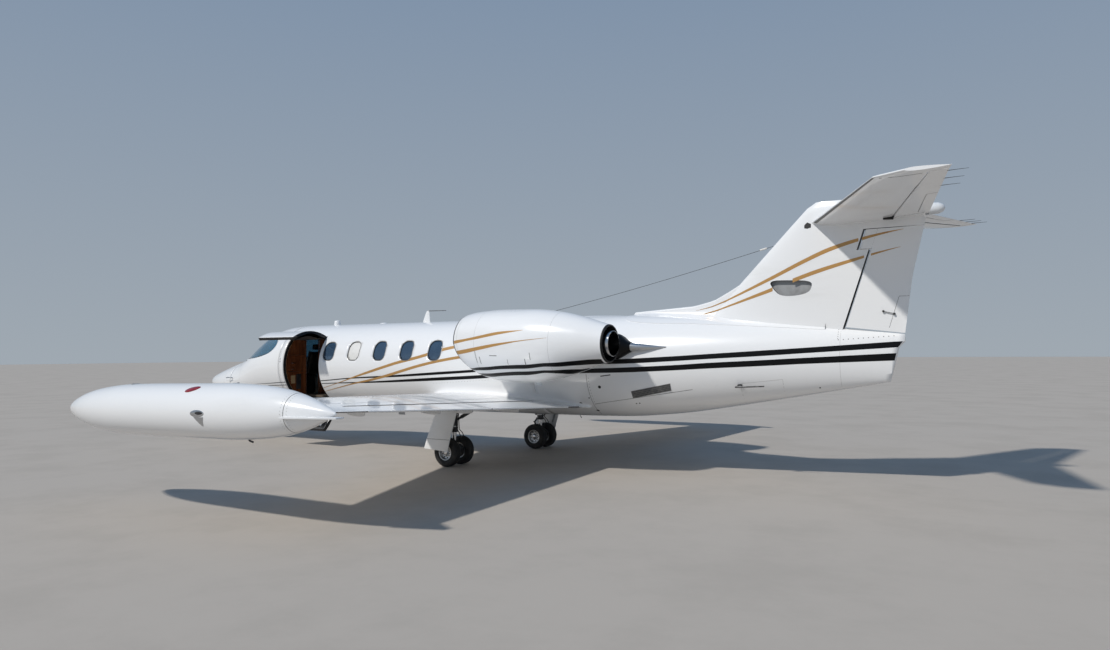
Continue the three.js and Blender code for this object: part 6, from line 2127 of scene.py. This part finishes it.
AXLE_REACH = GEAR["twin"] + 0.02
for name, body, side in SIDES:
    for place, offset in (("outer", 1), ("inner", -1)):
        centre = at(GEAR["station"], side * (GEAR["y"] + offset * GEAR["twin"]), GEAR["radius"])
        wheel_set(f"main_{name}_{place}", "main_wheels_" + body, centre, side * offset, GEAR["radius"],
            GEAR["width"], GEAR["rim"], ["main_wheels_" + name] if place == "outer" else (),
            f"main_tyre_{name}_{place}")
        brake = lathe([(-0.068, 0.05), (-0.068, 0.096), (-0.056, 0.102), (-0.03, 0.102), (-0.028, 0.05)],
            centre, (0, side * offset, 0), 48)
        piece(f"brake_disc_{name}_{place}", brake, GEAR_METAL, body="main_wheels_" + body)
    ends = [at(GEAR["station"], side * (GEAR["y"] + reach), GEAR["radius"])
        for reach in (-AXLE_REACH, AXLE_REACH)]
    axle = rod(*ends, 0.0295, 28)
    piece("main_axle_" + name, axle, STEEL, body="main_wheels_" + body)
print("wheels:", len([p for p in PIECES if p.startswith("tyre_")]), "so far")

# %% [markdown]
# ## Nose gear
# The nose strut carries a fork that steers and, in it, a wheel that rolls: two moving bodies, one inside the
# other. The tyre has a rib on each shoulder that throws water clear of the engines.

# %% Nose gear
NOSE_GEAR = {"station": 1.6, "radius": 0.229, "width": 0.112, "rim": 0.118}
nose_centre = at(NOSE_GEAR["station"], 0, NOSE_GEAR["radius"])
piece("nose_strut", upright(NOSE_GEAR["station"], 0, [(0.562, 0.04), (0.564, 0.06), (0.6, 0.061),
    (0.61, 0.053), (0.7, 0.053), (0.705, 0.062), (0.73, 0.062), (0.74, 0.054), (0.84, 0.054)]), GEAR_METAL,
    ["nose_gear_leg"])
piece("nose_drag_brace", merged(rod(at(1.6, 0, 0.72), at(1.9, 0, 0.815), 0.018),
    rod(at(1.6, -0.05, 0.735), at(1.6, 0.05, 0.735), 0.016)), GEAR_METAL)
piece("nose_fork_stem", upright(NOSE_GEAR["station"], 0, [(0.478, 0.03), (0.48, 0.05), (0.545, 0.05),
    (0.55, 0.036), (0.566, 0.036)]), STEEL, ["nose_fork"], body="nose_steering")
FORK_ARM = [(1.566, 0.515), (1.572, 0.215), (1.585, 0.196), (1.615, 0.196), (1.628, 0.215), (1.634, 0.515)]
for _, label, side in SIDES:
    piece("nose_fork_arm_" + label, prism(FORK_ARM, side * 0.067, side * 0.081), GEAR_METAL,
        body="nose_steering", bevel=0.003)
    nut = lathe([(0.078, 0.02), (0.09, 0.02), (0.094, 0.012), (0.094, 0.0005)], nose_centre, (0, side, 0), 20)
    piece("nose_axle_nut_" + label, nut, STEEL, body="nose_steering")
crown = prism([(1.56, 0.472), (1.64, 0.472), (1.64, 0.514), (1.56, 0.514)], -0.082, 0.082)
piece("nose_fork_crown", crown, GEAR_METAL, body="nose_steering", bevel=0.008, segments=3)
piece("nose_axle", rod(at(1.6, -0.08, NOSE_GEAR["radius"]), at(1.6, 0.08, NOSE_GEAR["radius"]), 0.0205, 24),
    STEEL, body="nose_steering")
nose_links = merged(*(rod(at(1.552, y, 0.5), at(1.535, y, 0.545), 0.007, 8) for y in (-0.02, 0.02)))
piece("nose_steer_link", nose_links, GEAR_METAL, body="nose_steering")
wheel_tyre = tyre_profile(NOSE_GEAR["radius"], NOSE_GEAR["width"], NOSE_GEAR["rim"])
piece("tyre_nose", lathe(wheel_tyre, nose_centre, (0, 1, 0), 80, joined=True), TYRE, ["nose_tyre"],
    body="nose_wheel_set", sharp=30)
both_faces = [(-0.044, 0.024), (-0.044, 0.048), (-0.018, 0.06), (-0.016, 0.09), (-0.04, 0.108),
    (-0.048, 0.124), (-0.043, 0.125), (-0.036, 0.116), (0.036, 0.116), (0.043, 0.125), (0.048, 0.124),
    (0.04, 0.108), (0.016, 0.09), (0.018, 0.06), (0.044, 0.048), (0.044, 0.024)]
piece("rim_nose", lathe(both_faces, nose_centre, (0, 1, 0), 64, joined=True), ALUMINIUM, ["nose_wheel"],
    body="nose_wheel_set")
chines = merged(*(lathe([(side * 0.05, 0.186), (side * 0.0555, 0.19), (side * 0.0555, 0.196),
    (side * 0.049, 0.198)], nose_centre, (0, 1, 0), 64, joined=True) for side in (1, -1)))
piece("tyre_nose_chines", chines, TYRE, body="nose_wheel_set")
NOSE_DOOR = [(1.312, 0.842), (1.312, 0.57), (1.322, 0.545), (1.345, 0.53), (1.375, 0.522), (1.885, 0.522),
    (1.925, 0.534), (1.95, 0.56), (1.958, 0.59), (1.958, 0.79)]
both("nose_door", prism(NOSE_DOOR, 0.191, 0.201), PAINT, "nose_gear_door", bevel=0.003)
both("nose_door_ribs", merged(*(prism([(1.36, z), (1.92, z), (1.92, z + 0.015), (1.36, z + 0.015)], 0.18,
    0.192) for z in (0.56, 0.68))), GREY_PAINT)
print("gear complete:", len([p for p in PIECES if "nose_" in p]), "nose pieces")

# %% [markdown]
# ## Cabin shell
# Through the open door the photograph shows a dark veneered bulkhead, black leather and a slice of bright
# windscreen. The cabin is built fully all the same, since the part is looked at from every side: carpet,
# bulkheads, side ledges, service rail along the ceiling.

# %% Floor, bulkheads and ledges
def inner_width(station, z, clear=0.004):
    middle, rise, half = hull_size(station, WALL + clear)
    return half * sqrt(max(0.0, 1 - ((z - middle) / rise) ** 2))


def floor_run(front, back, port_limit=None):
    rings = []
    for s in stations(front, back, 0.12):
        low, high = inner_width(s, 0.9), inner_width(s, 0.94)
        port_low, port_high = (port_limit, port_limit) if port_limit else (low, high)
        rings.append([at(s, -high, 0.94), at(s, port_high, 0.94), at(s, port_low, 0.9), at(s, -low, 0.9)])
    return loft(rings)


piece("cabin_carpet", merged(floor_run(1.745, 3.19), floor_run(3.19, 4.22, 0.2), floor_run(4.22, 8.815)),
    CARPET, ["cabin_floor"])
rear = loft([hull_ring(8.815, WALL + 0.002, 96), hull_ring(8.895, WALL + 0.002, 96)])
piece("cabin_rear_wall", rear, LINER)
partition = raw_object("cabin_partition", loft([hull_ring(3.121, WALL + 0.003, 96),
    hull_ring(3.159, WALL + 0.003, 96)]))
block = [[at(s, y, z) for y, z in ((-0.8, 0.941), (0.8, 0.941), (0.8, 2.3), (-0.8, 2.3))] for s in (3.0, 3.3)]
carve(partition, loft(block), "INTERSECT")
aisle = [[at(s, y, z) for y, z in ((-0.17, 0.8), (0.17, 0.8), (0.17, 2.04), (0.13, 2.08), (-0.13, 2.08),
    (-0.17, 2.04))] for s in (3.0, 3.3)]
carve(partition, loft(aisle))
dressed(partition, VENEER, ["cockpit_partition"])
print("cabin floor runs to station 8.8")

# %% [markdown]
# ## Bulkhead details
# The veneered face beside the door carries a narrow pocket, a pale data plate with nothing on it, a drawer
# front, a latch and thin metal trims, all shallow blocks set on the wood.

# %% Bulkhead details and side ledges
def slab(y0, y1, z0, z1, depth=0.006, station=3.159):
    return loft([[at(s, y, z) for y, z in ((y0, z0), (y1, z0), (y1, z1), (y0, z1))]
        for s in (station, station + depth)])


piece("bulkhead_pocket", slab(0.3, 0.415, 1.06, 1.35, 0.004), PLASTIC)
piece("bulkhead_plate", slab(0.445, 0.545, 1.17, 1.325, 0.005), TAN)
piece("bulkhead_drawers", merged(slab(0.21, 0.62, 1.4, 1.405, 0.004), slab(0.21, 0.7, 1.72, 1.725, 0.004)),
    ALUMINIUM)
edges = merged(slab(0.166, 0.174, 0.945, 2.04, 0.003), slab(-0.174, -0.166, 0.945, 2.04, 0.003))
piece("bulkhead_trims", edges, STEEL)
piece("bulkhead_latch", merged(slab(0.46, 0.52, 1.56, 1.575, 0.02), slab(0.46, 0.52, 1.44, 1.452, 0.02)),
    STEEL)
CABINET = ((0.3, 0.945), (0.52, 0.945), (0.66, 1.2), (0.68, 1.42), (0.3, 1.42))
piece("entry_cabinet", loft([[at(s, -y, z) for y, z in CABINET] for s in (3.22, 3.95)]), VENEER, bevel=0.006)
for name, _, side in SIDES:
    front = 4.3 if side > 0 else 4.02
    rings = []
    for s in stations(front, 8.76, 0.2):
        w = inner_width(s, 1.36, 0.006)
        lower = inner_width(s, 1.1, 0.006)
        section = ((w, 1.36), (w - 0.075, 1.36), (w - 0.075, 1.325), (w - 0.05, 1.31), (lower - 0.02, 1.1),
            (lower, 1.1))
        rings.append([at(s, side * y, z) for y, z in section])
    piece("side_ledge_" + name, loft(rings), VENEER, sharp=30)
    rail = [[at(s, side * y, z) for y, z in ((0.3, 2.13), (0.44, 2.06), (0.42, 2.03), (0.28, 2.1))]
        for s in stations(4.35, 8.75, 0.4)]
    piece("service_rail_" + name, loft(rail), TAN, sharp=30)
print("cabin trim:", len([p for p in PIECES if p.startswith(("bulkhead", "side_", "service"))]), "pieces")

# %% [markdown]
# ## Seats
# The covers are stuffed leather, so each soft part starts as a slightly small block, is remeshed and blown up
# as cloth with no gravity, and is held to a swell of a centimetre or two. The five shapes are simulated once
# and then placed in every seat, turned round for those that face aft. Piping runs round the edge of each
# cushion.

# %% Stuffed parts
SEAT_WIDTH = 0.4
SOFT_PARTS = {
    # side outline (distance aft of the seat's middle, height), half width, most swell, fill
    "cushion": ([(-0.248, 1.3), (-0.248, 1.365), (-0.19, 1.38), (0.155, 1.358), (0.155, 1.28)],
        0.178, 0.016, 0.7),
    "back": ([(0.172, 1.312), (0.236, 1.312), (0.358, 1.788), (0.29, 1.8)], 0.166, 0.014, 0.7),
    "bolster": ([(0.15, 1.4), (0.172, 1.397), (0.238, 1.63), (0.212, 1.638)], 0.118, 0.008, 0.6),
    "headrest": ([(0.304, 1.832), (0.37, 1.824), (0.384, 1.93), (0.326, 1.94)], 0.1, 0.012, 0.6),
    "arm": ([(-0.14, 1.498), (-0.14, 1.52), (0.195, 1.52), (0.195, 1.498)], 0.016, 0.005, 0.8),
}


def stuffed(label, outline, half, swell):
    """A block blown up as cloth; no point moves further than the swell. Returns its mesh."""
    thing = bevelled(raw_object("stuffed_" + label, prism([(s, z) for s, z in outline], -half, half)), 0.008,
        2)
    remesh = thing.modifiers.new("remesh", "REMESH")
    remesh.mode, remesh.voxel_size = "VOXEL", min(0.012, half / 3)
    applied(thing)
    flat = [v.co.copy() for v in thing.data.vertices]
    cloth = thing.modifiers.new("cloth", "CLOTH")
    cloth.settings.use_pressure = True
    cloth.settings.uniform_pressure_force = 4.0
    cloth.settings.effector_weights.gravity = 0.0
    cloth.settings.tension_stiffness = 12.0
    cloth.point_cache.frame_start, cloth.point_cache.frame_end = 1, 20
    for frame in range(1, 21):
        bpy.context.scene.frame_set(frame)
    applied(thing)
    bpy.context.scene.frame_set(1)
    for vertex, rest in zip(thing.data.vertices, flat):
        move = vertex.co - rest
        if move.length > swell:
            vertex.co = rest + move * (swell / move.length)
    mesh = thing.data
    bpy.data.objects.remove(thing)
    print(label, "blown up:", len(mesh.polygons), "faces")
    return mesh


soft_meshes = {label: stuffed(label, *rows[:3]) for label, rows in SOFT_PARTS.items()}

# %% Seats
def seat_block(station, y, facing, outline, middle, half):
    """A side outline (distance aft of the seat's middle, height) pushed sideways about a middle line."""
    return prism([(station + facing * s, z) for s, z in outline], y + middle - half, y + middle + half)


def seat_place(station, y, facing):
    """Carries a part made at station 0 to its seat, turned half round if it faces aft."""
    turn = Matrix.Rotation(pi if facing < 0 else 0.0, 4, "Z")
    return Matrix.Translation((HALF - station, y, 0)) @ turn @ Matrix.Translation((-HALF, 0, 0))


SEAT_PARTS = (("cushion", 0), ("back", 0), ("bolster", 0), ("headrest", 0), ("arm", 1), ("arm", -1))
ARM_OUT = SEAT_WIDTH / 2 - 0.012
ARM_POST = [(0.14, 1.3), (0.19, 1.3), (0.19, 1.5), (0.14, 1.5)]
SEAT_BASE = [(-0.17, 0.945), (0.17, 0.945), (0.15, 1.285), (-0.15, 1.285)]
LAP_BELT = [(-0.1, 1.396), (-0.1, 1.401), (0.14, 1.392), (0.14, 1.386)]
SHOULDER_BELT = [(0.128, 1.42), (0.134, 1.42), (0.262, 1.8), (0.254, 1.8)]
BUCKLE = [(-0.02, 1.398), (-0.02, 1.412), (0.035, 1.409), (0.035, 1.395)]


def seat_piping(label, ends, place):
    """A thin roll round the face of a cushion, laid on its blown-up skin."""
    mesh, (outline, width) = soft_meshes[label], SOFT_PARTS[label][:2]
    (s0, z0), (s1, z1) = (outline[i] for i in ends)
    skin = BVHTree.FromPolygons([v.co for v in mesh.vertices], [p.vertices for p in mesh.polygons])
    corners = [(s0, -width, z0), (s0, width, z0), (s1, width, z1), (s1, -width, z1)]
    path = [[mix(a, b, t) for a, b in zip(p, q)] for p, q in zip(corners, corners[1:] + corners[:1])
        for t in (0.04, 0.3, 0.7, 0.96)]
    return sweep([place @ skin.find_nearest(at(s, w, z))[0] for s, w, z in path], 0.0048, 6, closed=True)


def make_seat(name, station, y, facing, node):
    place = seat_place(station, y, facing)
    block = lambda outline, middle, half: seat_block(station, y, facing, outline, middle, half)
    for label, side in SEAT_PARTS:
        thing = bpy.data.objects.new(f"{name}_{label}" + {1: "_left", -1: "_right"}.get(side, ""),
            soft_meshes[label].copy())
        bpy.context.scene.collection.objects.link(thing)
        thing.data.transform(place @ Matrix.Translation((0, side * ARM_OUT, 0)))
        dressed(thing, LEATHER, [node] if label == "cushion" else (), sharp=0)
    piping = [seat_piping(label, ends, place) for label, ends in (("cushion", (1, -2)), ("back", (0, -1)))]
    piece(name + "_piping", merged(*piping), LEATHER)
    posts = [block(ARM_POST, side * ARM_OUT, 0.012) for side in (1, -1)]
    piece(name + "_base", merged(*posts, block(SEAT_BASE, 0, SEAT_WIDTH / 2 - 0.09)), PLASTIC)
    straps = [block(SHOULDER_BELT, side * 0.11, 0.022) for side in (1, -1)]
    piece(name + "_belt", merged(block(LAP_BELT, 0, 0.024), *straps), BELT)
    piece(name + "_buckle", block(BUCKLE, 0, 0.03), STEEL)


RAIL = ((-0.012, 0.942), (0.012, 0.942), (0.012, 0.956), (-0.012, 0.956))
CABIN_SEATS = {"left": [(5.2, -1), (6.5, 1), (7.6, 1)], "right": [(4.45, -1), (5.5, 1), (6.5, 1), (7.6, 1)]}
for name, _, side in SIDES:
    make_seat("crew_seat_" + name, 2.56, side * 0.33, 1, "cockpit_seat_" + name)
    for index, (station, facing) in enumerate(CABIN_SEATS[name]):
        make_seat(f"seat_{name}_{index}", station, side * 0.4, facing, "cabin_seats_" + name)
    rows = CABIN_SEATS[name]
    rails = [loft([[at(s, side * 0.4 + y + w, z) for w, z in RAIL]
        for s in (rows[0][0] - 0.2, rows[-1][0] + 0.25)]) for y in (-0.11, 0.11)]
    piece("seat_rails_" + name, merged(*rails), ALUMINIUM)
print("seats:", 2 + sum(len(r) for r in CABIN_SEATS.values()))

# %% [markdown]
# ## Flight deck
# The panel is a dark slab with a brow, six displays that barely glow, knobs and a throttle pedestal. Two
# yokes stand in front of the seats.

# %% Flight deck
SCREEN_GLOW = finish("flight_display", "panel_plastic", (0.02, 0.05, 0.09), (0.02, 0.07, 0.1), 0.1, patch=22,
    Emission_Color=(0.05, 0.14, 0.22, 1), Emission_Strength=0.35)
wide = inner_width(1.95, 1.45) - 0.02
deck = prism([(1.8, 1.26), (2.035, 1.215), (2.055, 1.545), (1.8, 1.575)], -wide + 0.03, wide - 0.03)
piece("flight_panel", deck, PLASTIC, ["instrument_panel"], bevel=0.006)
brow = prism([(1.775, 1.585), (2.1, 1.56), (2.11, 1.585), (1.8, 1.625)], -0.53, 0.53)
piece("flight_panel_brow", brow, GASKET, bevel=0.01)
DISPLAY = ((-0.062, 0.1), (0.062, 0.1), (0.062, 0.24), (-0.062, 0.24))
displays, knobs = [], []
for y in (-0.4, -0.24, -0.08, 0.08, 0.24, 0.4):
    displays.append(loft([[at(2.04 + z * 0.06 + d, y + dy, 1.27 + z) for dy, z in DISPLAY]
        for d in (-0.01, 0.004)]))
    for k in range(4):
        knobs.append(lathe([(0, 0.009), (0.016, 0.008)], at(2.045, y - 0.045 + 0.03 * k, 1.325),
            (-1, 0, 0.06), 12))
piece("flight_displays", merged(*displays), SCREEN_GLOW)
piece("flight_knobs", merged(*knobs), ALUMINIUM, slot="panel_plastic")
pedestal = prism([(1.82, 0.945), (2.3, 0.945), (2.3, 1.12), (2.06, 1.3), (1.82, 1.3)], -0.085, 0.085)
piece("flight_pedestal", pedestal, PLASTIC, bevel=0.006)
levers = merged(*(rod(at(2.16, y, 1.19), at(2.12, y, 1.36), 0.006, 10) for y in (-0.03, 0.03)),
    *(lathe([(-0.02, 0.013), (0.02, 0.013)], at(2.12, y, 1.365), (0, 1, 0), 14) for y in (-0.035, 0.035)))
piece("flight_levers", levers, GASKET)
yokes = []
for y in (-0.33, 0.33):
    yokes.append(rod(at(2.05, y, 1.34), at(2.2, y, 1.36), 0.014, 14))
    wheel = [at(2.205 + 0.012 * cos(2 * a), y + 0.125 * cos(a), 1.37 + 0.075 * sin(a))
        for a in (radians(d) for d in range(-205, 26, 15))]
    yokes.append(sweep(wheel, 0.0105, 10))
    yokes.append(rod(at(2.2, y - 0.12, 1.355), at(2.2, y + 0.12, 1.355), 0.012, 10))
piece("flight_yokes", merged(*yokes), PLASTIC)
print("flight deck pieces:", len([p for p in PIECES if p.startswith("flight")]))

# %% [markdown]
# ## Aerials and lamps on the roof
# The roof carries a beacon in a pale housing, a small blister, a blade with a long rod and the wire of the
# long-range radio, which runs back to the fin through two insulators.

# %% Roof fittings
ROOF = float(hull(3.6)[0])
beacon = [(-0.008, 0.075), (0.006, 0.075), (0.012, 0.062), (0.072, 0.06), (0.086, 0.05), (0.093, 0.026),
    (0.095, 0.0005)]
piece("beacon_housing", lathe(beacon, at(3.85, 0, ROOF - 0.004), (0, 0, 1), 40), PAINT, ["beacon"], sharp=40)
blister = lathe([(-0.004, 0.07), (0.004, 0.068), (0.012, 0.05), (0.017, 0.022), (0.018, 0.0005)],
    at(5.08, 0, ROOF - 0.001), (0, 0, 1), 32)
piece("roof_blister", blister, PAINT, sharp=50)
BLADE = [
    # height, nose, tail, half thickness
    (ROOF - 0.02, 6.025, 6.205, 0.01), (2.36, 6.055, 6.2, 0.0095), (2.44, 6.09, 6.19, 0.008),
    (2.505, 6.125, 6.185, 0.006), (2.515, 6.14, 6.18, 0.003),
]
blade = [[at(mix(front, back, 0.5 - 0.5 * cos(a)), half * sin(a) * 1.3, z) for a in circle(20)] for z, front,
    back, half in BLADE]
piece("blade_aerial_skin", loft(blade), PAINT, ["blade_aerial"], sharp=50)
piece("blade_aerial_rod", sweep([at(6.14, 0, 2.506), at(6.35, 0, 2.503), at(6.57, 0, 2.5)],
    lambda t: mix(0.008, 0.005, t), 10), GEAR_METAL)
wire_from, wire_to = at(8.4, 0, 2.332), at(12.42, 0, 3.206)
wire = [mix(wire_from, wire_to, i / 24) + Vector((0, 0, -0.03 * sin(pi * i / 24))) for i in range(25)]
piece("wire_aerial_line", sweep(wire, 0.0035, 6), GASKET, ["wire_aerial"], slot="engine_metal")
insulators = [sweep([mix(wire_from, wire_to, t + step) for step in (-0.012, 0, 0.012)], 0.012, 12)
    for t in (0.09, 0.965)]
piece("wire_aerial_insulators", merged(*insulators), SHADE)
piece("wire_aerial_post", upright(8.4, 0, [(2.29, 0.02), (2.31, 0.013), (2.335, 0.011), (2.345, 0.005)], 16),
    GREY_PAINT, slot="bare_aluminium")
print("roof pieces:", len([p for p in PIECES if "aerial" in p or "beacon" in p]))

# %% [markdown]
# ## Probes and belly fittings
# Air data heads stand on the nose, a long probe on its post by the tail, and the belly has its own aerials,
# a beacon, drains and jacking pads.

# %% Probes, belly and small parts
heads = []
for station, z in ((1.42, 1.26), (1.7, 1.17)):
    foot = on_hull(station, z, 0, 1)
    out = hull_normals([foot])[0]
    knee = foot + out * 0.055 + Vector((0.012, 0, 0))
    heads.append(sweep([foot - out * 0.01, foot + out * 0.03, knee], lambda t: mix(0.012, 0.008, t), 12))
    heads.append(sweep([knee + Vector(step) for step in ((-0.02, 0, 0), (0.05, 0, 0), (0.11, 0, -0.004))],
        0.0085, 12))
both("air_data_heads", merged(*heads), STEEL)
foot = on_hull(12.04, 1.285, 0, 1)
out = hull_normals([foot])[0]
knee = foot + out * 0.075
post = loft([[p + Vector((0.035 * cos(a), 0, 0)) + out.cross(Vector((1, 0, 0))).normalized() * 0.009 * sin(a)
    for a in circle(16)] for p in (foot - out * 0.01, knee)])
probe = sweep([knee + Vector(step) for step in ((0.06, 0, 0), (-0.12, 0, 0.006), (-0.34, 0, 0.016))],
    lambda t: mix(0.013, 0.008, t), 12)
both("tail_probe", merged(post, probe), GEAR_METAL)
BELLY_BLADES = ((5.4, 0.16, 0.009, 0.13, 0.05), (2.95, 0.12, 0.008, 0.1, 0.04))
belly = [loft([[at(mix(s, s + chord, 0.5 - 0.5 * cos(a)) + lean * t, half * sin(a), 0.745 - drop * t)
    for a in circle(16)] for t in (0, 0.6, 1.0)]) for s, chord, half, drop, lean in BELLY_BLADES]
piece("belly_blades", merged(*belly), GREY_PAINT, sharp=50)
belly_lamp = lathe([(-0.006, 0.055), (0.01, 0.052), (0.045, 0.045), (0.06, 0.028), (0.064, 0.0005)],
    at(6.2, 0, 0.736), (0, 0, -1), 32)
piece("belly_beacon", belly_lamp, RED_LENS, sharp=40)
drains = merged(*(sweep([at(s, y, z + 0.02), at(s + 0.01, y, z - 0.02), at(s + 0.03, y, z - 0.045)], 0.007,
    10) for s, y, z in ((9.35, 0.1, 0.755), (4.4, 0.12, 0.745))))
piece("belly_drains", drains, ALUMINIUM)
pads = merged(lathe([(0.0, 0.037), (0.012, 0.037), (0.014, 0.012)], at(2.3, 0, 0.741), (0, 0, -1), 32),
    *(lathe([(-0.05, 0.037), (0.0, 0.037), (0.001, 0.012)], at(8.25, y, 0.8845), (0, 0, -1), 32)
    for y in (1.75, -1.75)))
piece("jack_pads", pads, ALUMINIUM)
print("pieces in all:", len(PIECES))
